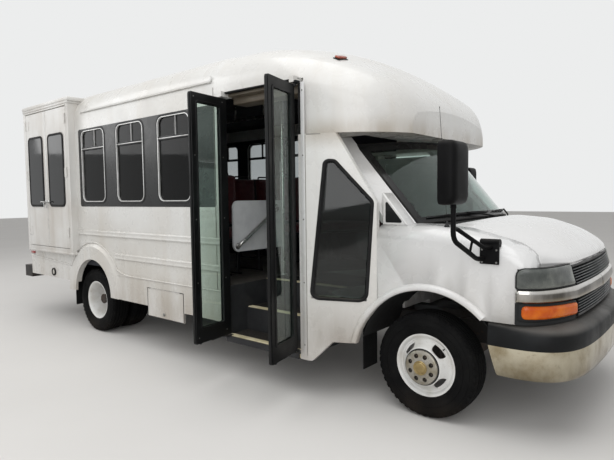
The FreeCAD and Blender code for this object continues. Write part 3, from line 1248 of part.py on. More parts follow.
def make_nose():
    wires = []
    for x, side, top in FENDER_SECTIONS:
        outer = crown(side, top, "0", "hood_half + hood_gap")
        inner = crown(side, top, "fender_skin", "hood_half + hood_gap")
        wires.append(ring("YZ", x, outer + inner[::-1]))
    shape = Part.makeLoft(wires, True, True)
    arch = Part.makeCylinder(at("front_arch_radius"), 600,
                             Vector(at("front_arch_x"), -1300, at("front_arch_z")), Vector(0, 1, 0))
    low = Part.makeBox(600, 600, 400, Vector(at("front_arch_x"), -1300, at("bumper_top") - 400))
    lamp_room = Part.makeBox(400, 600, at("lamp_top"), Vector(at("lamp_rear"), -1300, 0))
    shape = shape.cut(arch).cut(low).cut(lamp_room)
    right = feature("fender_right", shape)
    left = feature("fender_left", shape.mirror(Vector(), Vector(0, 1, 0)))
    low_support = block("low_support", ("lamp_rear - 16", "lamp_rear"),
                        ("bumper_depth - cab_half", "cab_half - bumper_depth"), ("low_rail_top", "bumper_top + 5"))
    lamp_support = block("lamp_support", ("lamp_rear - 16", "lamp_rear"), ("15 - cab_half", "cab_half - 15"),
                         ("bumper_top", "lamp_bottom + 60"))
    keep(join("fenders", right, left, low_support, lamp_support), "fenders")

    wires = []
    halves = [(f"-{share} * (hood_half - hood_gap)", *spots) for share, *spots in HOOD_SECTIONS]
    halves += [(f"{share} * (hood_half - hood_gap)", *spots) for share, *spots in HOOD_SECTIONS[-2::-1]]
    for y, rear_x, rear_z, knee_x, knee_z, via_x, via_z, nose_x, nose_z in halves:
        wires.append(ring("XZ", y, (
            (rear_x, rear_z), (knee_x, knee_z), (via_x, via_z, "via"), (nose_x, nose_z),
            (f"{nose_x} - 24", nose_z), (f"{via_x} - 24", f"{via_z} - 24", "via"),
            (f"{knee_x} - 8", f"{knee_z} - 24"), (rear_x, f"{rear_z} - 24"))))
    skin = feature("hood_skin", Part.makeLoft(wires, True, False))
    pins = [rod(f"hood_pin_{number}", "y", ("hood_hinge_x", low, "hood_hinge_z"), "50", "hinge_radius")
            for number, low in enumerate(("-hood_hinge_y - 36", "hood_hinge_y - 14"))]
    straps = [block(f"hood_strap_{number}", ("hood_hinge_x - 10", "hood_hinge_x + 72"), span,
                    ("hood_hinge_z - 5", "hood_hinge_z + 26"))
              for number, span in enumerate((("-hood_hinge_y - 36", "-hood_hinge_y - 16"),
                                             ("hood_hinge_y + 16", "hood_hinge_y + 36")))]
    keep(join("hood", skin, *pins, *straps), "hood")

    lamps = []
    for side, sign in (("right", "-"), ("left", "")):
        for label, low, high in (("head", "lamp_bottom", "lamp_top"), ("turn", "turn_lamp_bottom", "turn_lamp_top")):
            corners = [("lamp_rear", f"{sign}(cab_half - 2)"), ("grille_front - 160", f"{sign}(cab_half - 110)"),
                       ("grille_front - 70", f"{sign}grille_half"),
                       ("grille_front - 70 - lamp_depth", f"{sign}grille_half"),
                       ("grille_front - 160 - lamp_depth", f"{sign}(cab_half - 190)"),
                       ("lamp_rear", f"{sign}(cab_half - 110)")]
            lamps.append(profile(f"{label}_lamp_{side}", "XY", corners, low, high))
    keep(group("front_lamps", *lamps), "front_lamps")

    plan = (("grille_front - 72", "-grille_half"), ("grille_front", "0", "via"), ("grille_front - 72", "grille_half"),
            ("grille_front - 132", "grille_half"), ("grille_front - 60", "0", "via"), ("grille_front - 132", "-grille_half"))
    surround = profile("grille_surround", "XY", plan, "grille_bottom", "grille_top")
    opening = block("grille_opening", ("grille_front - 300", "grille_front + 10"), ("40 - grille_half", "grille_half - 40"),
                    ("grille_bottom + 30", "grille_top - 20"))
    slat_plan = (("grille_front - 78", "1 - grille_half"), ("grille_front - 6", "0", "via"), ("grille_front - 78", "grille_half - 1"),
                 ("grille_front - 112", "grille_half - 1"), ("grille_front - 40", "0", "via"), ("grille_front - 112", "1 - grille_half"))
    slats = [profile(f"slat_{number}", "XY", slat_plan,
                     f"grille_bottom + 60 + {number} * (grille_top - grille_bottom - 60) / slat_count",
                     f"grille_bottom + 60 + slat_height + {number} * (grille_top - grille_bottom - 60) / slat_count")
             for number in range(5)]
    bars = []
    for side, sign in (("right", "-"), ("left", "")):
        bars.append(profile(f"bright_bar_{side}", "XY", (
            ("lamp_rear", f"{sign}cab_half"), ("grille_front - 154", f"{sign}(cab_half - 106)"),
            ("grille_front - 66", f"{sign}grille_half"), ("grille_front - 100", f"{sign}(grille_half - 2)"),
            ("grille_front - 180", f"{sign}(cab_half - 140)"), ("lamp_rear", f"{sign}(cab_half - 40)"),
        ), "bright_bar_bottom", "bright_bar_top"))
    keep(join("grille", cut("grille_frame", surround, opening), *slats, *bars), "grille")

    def bumper(name, low, high, proud):
        return profile(name, "XY", (
            ("bumper_front - 550", f"-cab_half - {proud}"), ("bumper_front - 290", f"-cab_half - {proud}"),
            ("bumper_front - 130", "120 - cab_half", "via"), (f"bumper_front - 60 + {proud}", "300 - cab_half"),
            (f"bumper_front + {proud}", "0", "via"), (f"bumper_front - 60 + {proud}", "cab_half - 300"),
            ("bumper_front - 130", "cab_half - 120", "via"),
            ("bumper_front - 290", f"cab_half + {proud}"), ("bumper_front - 550", f"cab_half + {proud}"),
            ("bumper_front - 550", "cab_half - bumper_depth"), ("bumper_front - 300", "cab_half - bumper_depth"),
            ("bumper_front - 70 - bumper_depth", "cab_half - 360"), ("bumper_front - bumper_depth", "0", "via"),
            ("bumper_front - 70 - bumper_depth", "360 - cab_half"),
            ("bumper_front - 300", "bumper_depth - cab_half"),
            ("bumper_front - 550", "bumper_depth - cab_half"),
        ), low, high)
    keep(bumper("front_bumper", "bumper_bottom", "bumper_split", "0"), "front_bumper")
    keep(bumper("bumper_pad", "bumper_split", "bumper_top", "4"), "bumper_pad")


def make_driver_door():
    outline = (
        ("door_rear", "door_bottom"),
        ("door_front - 187", "door_bottom"),
        ("door_front - 177", "door_bottom + 180"),
        ("door_front - 97", "850"),
        ("door_front", "1000"),
        ("door_front", "belt_z + 20"),
        ("door_front - 420", "door_top"),
        ("door_rear", "door_top"),
    )
    slab = profile("driver_slab", "XZ", outline, "cab_half - door_thick", "cab_half")
    hole_outline = (
        ("door_rear + 90", "belt_z + 40"),
        ("door_front - 110", "belt_z + 40"),
        ("door_front - 470", "door_top - 70"),
        ("door_rear + 90", "door_top - 70"),
    )
    hole = profile("driver_hole", "XZ", hole_outline, "cab_half - door_thick - 1", "cab_half + 1")
    pane = profile("driver_pane", "XZ", (
        ("door_rear + 90.5", "belt_z + 40.5"),
        ("door_front - 111", "belt_z + 40.5"),
        ("door_front - 470.5", "door_top - 70.5"),
        ("door_rear + 90.5", "door_top - 70.5"),
    ), "cab_half - 20", "cab_half - 14")
    hinges = []
    for number, low in enumerate(("1020", "1230")):
        hinges.append(rod(f"driver_barrel_{number}", "z", ("door_front + 4", "cab_half", low), "90", "3.7"))
        hinges.append(block(f"driver_strap_{number}", ("door_front - 1", "door_front + 4"),
                            ("cab_half - 3", "cab_half"), (low, f"{low} + 90")))
    keep(group("driver_door", cut("driver_panel", join("driver_hung", slab, *hinges), hole), pane),
         "driver_door")


def mirror_arm(side, sign, shift, inner, roll_middle):
    """A mirror head on two tubes from a small plate."""
    def along(place):
        return f"{place} - {shift}"

    def across(low, high):
        return (low, high) if sign == "" else (f"-({high})", f"-({low})")
    head = block(f"mirror_head_{side}",
                 (along("mirror_x - mirror_depth / 2"), along("mirror_x + mirror_depth / 2")),
                 across("mirror_y - mirror_width / 2", "mirror_y + mirror_width / 2"),
                 ("mirror_bottom", "mirror_top"))
    plate = block(f"mirror_plate_{side}", (along("mirror_plate_rear"), along("mirror_plate_front")),
                  across(f"cab_half - {inner}", "cab_half + 16"), ("mirror_plate_bottom", "mirror_plate_top"))
    roll = rod(f"mirror_roll_{side}", "x",
               (along("mirror_plate_rear"), f"{sign}(cab_half + {roll_middle})", "mirror_plate_top"),
               "mirror_plate_front - mirror_plate_rear", "mirror_roll")
    post = tube(f"mirror_post_{side}", "mirror_tube", (
        (along("mirror_plate_rear + 25"), f"{sign}(cab_half + 2)", "mirror_plate_bottom + 32"),
        (along("mirror_plate_rear + 5"), f"{sign}(cab_half + 60)", "mirror_plate_bottom + 34"),
        (along("mirror_x - 15"), f"{sign}(mirror_y - 30)", "mirror_elbow"),
        (along("mirror_x - 15"), f"{sign}(mirror_y - 30)", "mirror_bottom + 5")))
    brace = tube(f"mirror_brace_{side}", "mirror_tube - 2", (
        (along("mirror_plate_rear + 75"), f"{sign}(cab_half + 2)", "mirror_plate_bottom + 105"),
        (along("mirror_plate_rear + 50"), f"{sign}(cab_half + 70)", "mirror_plate_bottom + 105"),
        (along("mirror_x - 15"), f"{sign}(mirror_y - 70)", "mirror_elbow + 70"),
        (along("mirror_x - 15"), f"{sign}(mirror_y - 30)", "mirror_elbow + 75")))
    return join(f"mirror_whole_{side}", head, plate, roll, post, brace)


def make_mirrors():
    right = mirror_arm("right", "-", "0", "16", "-14")
    keep(cut("mirror_right", right, doc.getObject("fenders")), "mirror_right")
    left = mirror_arm("left", "", "door_mirror_shift", "0", "mirror_roll")
    inside = block("door_mirror_inside", ("door_rear", "door_front"), ("0", "cab_half"), ("0", "roof_top"))
    keep(cut("mirror_left", left, inside), "mirror_left")


def make_fittings():
    flaps = []
    for side, sign in (("right", "-"), ("left", "")):
        for label, x, low, high, bottom, top in (
                ("front", "front_axle - 500", "760", "950", "230", "low_rail_top"),
                ("rear", "rear_axle - 490", "680", "1150", "250", "floor_bottom")):
            span = (low, high) if sign == "" else (f"-{high}", f"-{low}")
            flaps.append(block(f"flap_{label}_{side}", (f"{x} - 8", x), span, (bottom, top)))
    keep(group("mud_flaps", *flaps), "mud_flaps")

    beam = block("rear_bumper_beam", ("-rear_bumper_x", "-body_rear - 60"), ("-body_half + 20", "body_half - 20"),
                 ("rear_bumper_z", "rear_bumper_z + rear_bumper_height"))
    irons = [block(f"rear_bumper_iron_{number}", ("-body_rear - 61", "-rail_rear"),
                   (f"{sign}rail_y - 30", f"{sign}rail_y + 30"),
                   ("rear_bumper_z", "rear_skirt_bottom - 4"))
             for number, sign in enumerate(("-", ""))]
    keep(join("rear_bumper", beam, *irons), "rear_bumper")

    panel = profile("modesty_sheet", "YZ", (("-1080", "1050"), ("-420", "1050"), ("-420", "1500"), ("-1080", "1500")),
                    "entry_rear - 30", "entry_rear - 10", (("60", (0, 1, 2, 3)),))
    post = rod("modesty_post", "z", ("entry_rear - 20", "-440", "floor_top"), "1100", "16")
    keep(join("modesty_panel", panel, post), "modesty_panel")

    seats = []
    def seat(name, x, y, width, floor):
        cushion = block(name + "_cushion", (f"{x}", f"{x} + 430"), (f"{y} - {width} / 2", f"{y} + {width} / 2"),
                        (f"{floor} + 330", f"{floor} + 440"))
        back = block(name + "_back", (f"{x} - 90", f"{x} + 20"), (f"{y} - {width} / 2", f"{y} + {width} / 2"),
                     (f"{floor} + 330", f"{floor} + 1030"))
        leg = block(name + "_leg", (f"{x} + 100", f"{x} + 330"), (f"{y} - 60", f"{y} + 60"),
                    (floor, f"{floor} + 331"))
        return join(name, cushion, back, leg)
    for number, x in enumerate(("-1250", "-520")):
        seats.append(seat(f"seat_right_{number}", x, "(500 - body_half)", "860", "floor_top"))
    for number, x in enumerate(("-2900", "-1250", "-480")):
        seats.append(seat(f"seat_left_{number}", x, "(body_half - 500)", "860", "floor_top"))
    seats.append(seat("driver_seat", "780", "480", "500", "cab_floor_top"))
    keep(group("seats", *seats), "seats")

    board = profile("dash", "XZ", (
        ("firewall_x - 20", "belt_z - 300"), ("firewall_x - 20", "belt_z - 82"), ("firewall_x - 330", "belt_z - 82"),
        ("firewall_x - 360", "belt_z - 160"), ("firewall_x - 300", "belt_z - 300")),
        "40 - hood_half", "cab_half - door_thick - 60")
    column = doc.addObject("Part::Cylinder", "steering_column")
    column.Radius = 22
    column.Height = 330
    column.Placement = FreeCAD.Placement(Vector(1330, 480, 1120), FreeCAD.Rotation(Vector(0, 1, 0), -60))
    ring_wheel = doc.addObject("Part::Torus", "steering_ring")
    ring_wheel.Radius1 = 190
    ring_wheel.Radius2 = 15
    ring_wheel.Placement = FreeCAD.Placement(Vector(1330 - 286 * 0.98, 480, 1120 + 165 * 0.98),
                                             FreeCAD.Rotation(Vector(0, 1, 0), -60))
    spoke = doc.addObject("Part::Box", "steering_spoke")
    spoke.Length = 24
    spoke.Width = 370
    spoke.Height = 20
    spoke.Placement = FreeCAD.Placement(Vector(1330 - 286 * 0.98 - 8, 480 - 185, 1120 + 165 * 0.98 - 15),
                                        FreeCAD.Rotation(Vector(0, 1, 0), -60))
    keep(join("dashboard", board, column, ring_wheel, spoke), "dashboard")

    lamps = []
    for side, sign in (("right", "-"), ("left", "")):
        lamps.append(block(f"tail_lamp_{side}", ("-body_rear - 25", "-body_rear"),
                           (f"{sign}1050 - 90", f"{sign}1050 + 90"), ("900", "1200")))
    keep(group("tail_lamps", *lamps), "tail_lamps")


make_lift()
make_entry()
make_cap()
make_transitions()
make_nose()
make_cab()
make_driver_door()
make_mirrors()
make_fittings()


doc.recompute()
os.makedirs("parts", exist_ok=True)
faults = [item.Name for item in doc.Objects
          if any(word in item.State for word in ("Invalid", "Error"))]
faults += [name for name, item in nodes if item.Shape.isNull() or not item.Shape.isValid()]
if faults:
    raise RuntimeError("These pieces failed: " + ", ".join(faults))
for name, item in nodes:
    item.Shape.exportStep(os.path.join("parts", name + ".step"))
print(len(nodes), "pieces written")
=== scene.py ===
import bmesh
import bpy
import json
import math
from mathutils import Matrix, Vector

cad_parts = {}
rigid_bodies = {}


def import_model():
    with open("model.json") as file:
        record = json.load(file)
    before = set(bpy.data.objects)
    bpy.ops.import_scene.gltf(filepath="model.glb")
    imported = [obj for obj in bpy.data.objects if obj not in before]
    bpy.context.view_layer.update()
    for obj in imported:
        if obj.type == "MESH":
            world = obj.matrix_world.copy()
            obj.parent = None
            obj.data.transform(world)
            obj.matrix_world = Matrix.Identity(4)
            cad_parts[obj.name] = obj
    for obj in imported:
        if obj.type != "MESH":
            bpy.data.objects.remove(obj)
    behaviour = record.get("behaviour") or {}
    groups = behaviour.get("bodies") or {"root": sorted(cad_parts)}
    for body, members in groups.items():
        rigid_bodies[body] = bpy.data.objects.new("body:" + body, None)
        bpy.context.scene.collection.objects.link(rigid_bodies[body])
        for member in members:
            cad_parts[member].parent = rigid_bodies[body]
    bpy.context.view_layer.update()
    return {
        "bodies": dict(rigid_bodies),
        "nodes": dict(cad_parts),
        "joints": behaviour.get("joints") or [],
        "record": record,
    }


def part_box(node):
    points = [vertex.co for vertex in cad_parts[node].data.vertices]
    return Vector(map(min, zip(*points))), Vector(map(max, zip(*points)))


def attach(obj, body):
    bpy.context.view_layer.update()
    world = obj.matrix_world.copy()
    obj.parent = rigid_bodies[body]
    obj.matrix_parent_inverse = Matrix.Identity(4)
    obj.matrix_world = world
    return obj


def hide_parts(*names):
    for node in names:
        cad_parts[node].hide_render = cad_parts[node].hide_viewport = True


# A wheelchair-lift minibus, metres. +X to the front, +Y to its left, +Z up, origin on the ground
# midway between the axles. Its right side, with the open entry door, faces the camera.

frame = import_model()
nodes = frame["nodes"]
print("frame loaded:", len(nodes), "nodes")

# Places shared by several pieces
place = {
    "frontAxle": 2.0195,
    "rearAxle": -2.0195,
    "axleHeight": 0.365,
    "frontWheel": 0.868,
    "rearWheel": 0.917,
    "twinHalf": 0.135,
    "wall": 1.22,
    "floor": 0.77,
}

# Camera, floor and light
view = {
    "spot": (3.5625, -4.092, 1.522),
    "yaw": 39.39,
    "pitch": 3.68,
    "roll": -0.68,
    "lens": 506.4 / 614 * 36,
    "sensor": 36,
    "farEnd": 300,
}
yaw, pitch, roll = (math.radians(view[key]) for key in ("yaw", "pitch", "roll"))
ahead = Vector((-math.sin(yaw) * math.cos(pitch), math.cos(yaw) * math.cos(pitch), -math.sin(pitch)))
flat = Vector((math.cos(yaw), math.sin(yaw), 0))
upright = flat.cross(ahead)
right = math.cos(roll) * flat + math.sin(roll) * upright
upward = math.cos(roll) * upright - math.sin(roll) * flat
studio = {
    "floorHalf": 45,
    "floorColours": ("d0cecb", "dad8d5"),
    "floorGrain": {"Scale": 0.6, "Detail": 6},
    "floorShader": {"Roughness": 0.82, "Specular IOR Level": 0.2},
    "skyColour": "eceded",
    "skyLight": 0.5,
    "lamps": {  # name: (place, aim, size, watts)
        "overhead": ((1.5, -3.0, 9.0), (0, 0, 1), 9.0, 500),
        "camSide": ((6.5, -9.0, 4.5), (0.5, 0, 1.2), 7.0, 330),
        "rearSide": ((-8.0, -6.0, 5.5), (-1.5, 0, 1.2), 6.0, 210),
    },
}


def linkObject(name, data):
    holder = bpy.data.objects.new(name, data)
    bpy.context.scene.collection.objects.link(holder)
    return holder


def addNode(tree, kind, inputs=None, **settings):
    node = tree.nodes.new(kind)
    for key, value in settings.items():
        setattr(node, key, value)
    for socket, value in (inputs or {}).items():
        if isinstance(value, bpy.types.NodeSocket):
            tree.links.new(value, node.inputs[socket])
        else:
            node.inputs[socket].default_value = value
    return node


def linear(code):
    values = []
    for start in (0, 2, 4):
        value = int(code[start:start + 2], 16) / 255
        values.append(value / 12.92 if value <= 0.04045 else ((value + 0.055) / 1.055) ** 2.4)
    return (*values, 1)


def addCamera():
    camera = linkObject("camera", bpy.data.cameras.new("camera"))
    camera.data.sensor_width = view["sensor"]
    camera.data.lens = view["lens"]
    camera.data.clip_end = view["farEnd"]
    rows = [(right[axis], upward[axis], -ahead[axis], view["spot"][axis]) for axis in range(3)]
    camera.matrix_world = Matrix((*rows, (0, 0, 0, 1)))
    bpy.context.scene.camera = camera
    bpy.context.scene.view_settings.view_transform = "Standard"


def addFloor():
    mesh = bpy.data.meshes.new("studioFloor")
    half = studio["floorHalf"]
    mesh.from_pydata([(-half, -half, 0), (half, -half, 0), (half, half, 0), (-half, half, 0)], [],
                     [(0, 1, 2, 3)])
    material = bpy.data.materials.new("studioFloor")
    material.use_nodes = True
    tree = material.node_tree
    spot = tree.nodes.new("ShaderNodeTexCoord").outputs["Object"]
    grain = addNode(tree, "ShaderNodeTexNoise", {"Vector": spot, **studio["floorGrain"]}).outputs["Fac"]
    first, second = (linear(code) for code in studio["floorColours"])
    colour = addNode(tree, "ShaderNodeMix", {"A": first, "B": second, "Factor": grain}, data_type="RGBA")
    shader = tree.nodes["Principled BSDF"]
    for socket, value in studio["floorShader"].items():
        shader.inputs[socket].default_value = value
    tree.links.new(colour.outputs["Result"], shader.inputs["Base Color"])
    mesh.materials.append(material)
    linkObject("studioFloor", mesh)


# White light falls on the bus, and the plain backdrop is what the camera, a reflection or a pane sees
def addLight():
    world = bpy.data.worlds.new("studio")
    bpy.context.scene.world = world
    world.use_nodes = True
    tree = world.node_tree
    glow = tree.nodes["Background"]
    glow.inputs["Color"].default_value = (1, 1, 1, 1)
    glow.inputs["Strength"].default_value = studio["skyLight"]
    backdrop = addNode(tree, "ShaderNodeBackground", {"Color": linear(studio["skyColour"]), "Strength": 1})
    path = tree.nodes.new("ShaderNodeLightPath").outputs
    seen = path["Is Camera Ray"]
    for ray in ("Is Glossy Ray", "Is Transmission Ray"):
        seen = addNode(tree, "ShaderNodeMath", {0: seen, 1: path[ray]}, operation="MAXIMUM").outputs[0]
    choose = addNode(tree, "ShaderNodeMixShader", {0: seen, 1: glow.outputs[0], 2: backdrop.outputs[0]})
    tree.links.new(choose.outputs[0], tree.nodes["World Output"].inputs[0])
    for name, (spot, aim, size, watts) in studio["lamps"].items():
        lamp = bpy.data.lights.new(name, "AREA")
        lamp.shape = "SQUARE"
        lamp.size = size
        lamp.energy = watts
        holder = linkObject(name, lamp)
        holder.location = spot
        holder.rotation_euler = (Vector(aim) - Vector(spot)).to_track_quat("-Z", "Y").to_euler()


addCamera()
addFloor()
addLight()
print("studio ready")

# Where each layer's noise lets it show: from, to, and what those two give
layers = {
    "worn": (0.35, 0.7),
    "stripe": (0.45, 0.75),
    "speck": (0.56, 0.72),
    "grimeShadeAndReflection": (0.3, 0.68, 0.15, 1.0),
    "facing": (0.2, 0.95),
    "dust": (0.3, 0.7, 0.35, 1.0),
    "rough": (0.3, 0.7),
}
sockets = {
    "metal": "Metallic",
    "coat": "Coat Weight",
    "coatRough": "Coat Roughness",
    "specular": "Specular IOR Level",
    "glass": "Transmission Weight",
    "ior": "IOR",
    "sheen": "Sheen Weight",
    "sheenRough": "Sheen Roughness",
}


def makeFinish(name, colour, worn, patch, rough, extra):
    material = bpy.data.materials.new(name)
    material.use_nodes = True
    tree = material.node_tree
    shader = tree.nodes["Principled BSDF"]
    spot = tree.nodes.new("ShaderNodeTexCoord").outputs["Object"]

    def grain(scale, detail=5, stretch=None, rough=0.55):
        source = spot
        if stretch:
            source = addNode(tree, "ShaderNodeMapping", {"Scale": stretch, "Vector": spot}).outputs["Vector"]
        values = {"Scale": scale, "Detail": detail, "Roughness": rough, "Vector": source}
        return addNode(tree, "ShaderNodeTexNoise", values).outputs["Fac"]

    def spread(source, low, high, first=0.0, last=1.0):
        values = {"Value": source, "From Min": low, "From Max": high, "To Min": first, "To Max": last}
        return addNode(tree, "ShaderNodeMapRange", values, interpolation_type="SMOOTHSTEP").outputs["Result"]

    def times(first, second):
        values = {0: first, 1: second}
        return addNode(tree, "ShaderNodeMath", values, operation="MULTIPLY", use_clamp=True).outputs[0]

    def cover(amount, first, second):
        values = {"Factor": amount, "A": first, "B": linear(second)}
        return addNode(tree, "ShaderNodeMix", values, data_type="RGBA").outputs["Result"]

    shade = cover(spread(grain(patch), *layers["worn"]), linear(colour), worn)
    if "stripe" in extra:  # streaks that run along one axis
        tint, stretch, amount = extra["stripe"]
        shade = cover(times(spread(grain(1.0, stretch=stretch), *layers["stripe"]), amount), shade, tint)
    if "speck" in extra:
        tint, scale, amount = extra["speck"]
        shade = cover(times(spread(grain(scale, 8, rough=0.75), *layers["speck"]), amount), shade, tint)
    if "grimeShadeAndReflection" in extra:
        height = addNode(tree, "ShaderNodeSeparateXYZ", {0: spot}).outputs["Z"]
    # dirt that grows from one height down to another; at the front cap and the panels under it this is also
    # painted shade, and on barChrome a painted reflection
    for tint, clean, dirty, amount in extra.get("grimeShadeAndReflection", ()):
        broken = spread(grain(1.0, 7, (3.5, 3.5, 0.9), 0.62), *layers["grimeShadeAndReflection"])
        shade = cover(times(times(spread(height, dirty, clean, 1.0, 0.0), broken), amount), shade, tint)
    if "dust" in extra:  # settles on what faces up
        tint, amount = extra["dust"]
        facing = tree.nodes.new("ShaderNodeNewGeometry").outputs["Normal"]
        lift = addNode(tree, "ShaderNodeSeparateXYZ", {0: facing}).outputs["Z"]
        settled = times(spread(lift, *layers["facing"]), spread(grain(2.2, 6), *layers["dust"]))
        shade = cover(times(settled, amount), shade, tint)
    tree.links.new(shade, shader.inputs["Base Color"])
    tree.links.new(spread(grain(6.0, 6), *layers["rough"], *rough), shader.inputs["Roughness"])
    for key, socket in sockets.items():
        if key in extra:
            shader.inputs[socket].default_value = extra[key]
    if "bump" in extra:
        height, scale = extra["bump"]
        surface = grain(scale, extra.get("bumpDetail", 6), extra.get("bumpStretch"))
        values = {"Distance": height, "Strength": extra.get("bumpStrength", 0.6), "Height": surface}
        tree.links.new(addNode(tree, "ShaderNodeBump", values).outputs["Normal"], shader.inputs["Normal"])
    return material


roadDirt = "6b5a45"
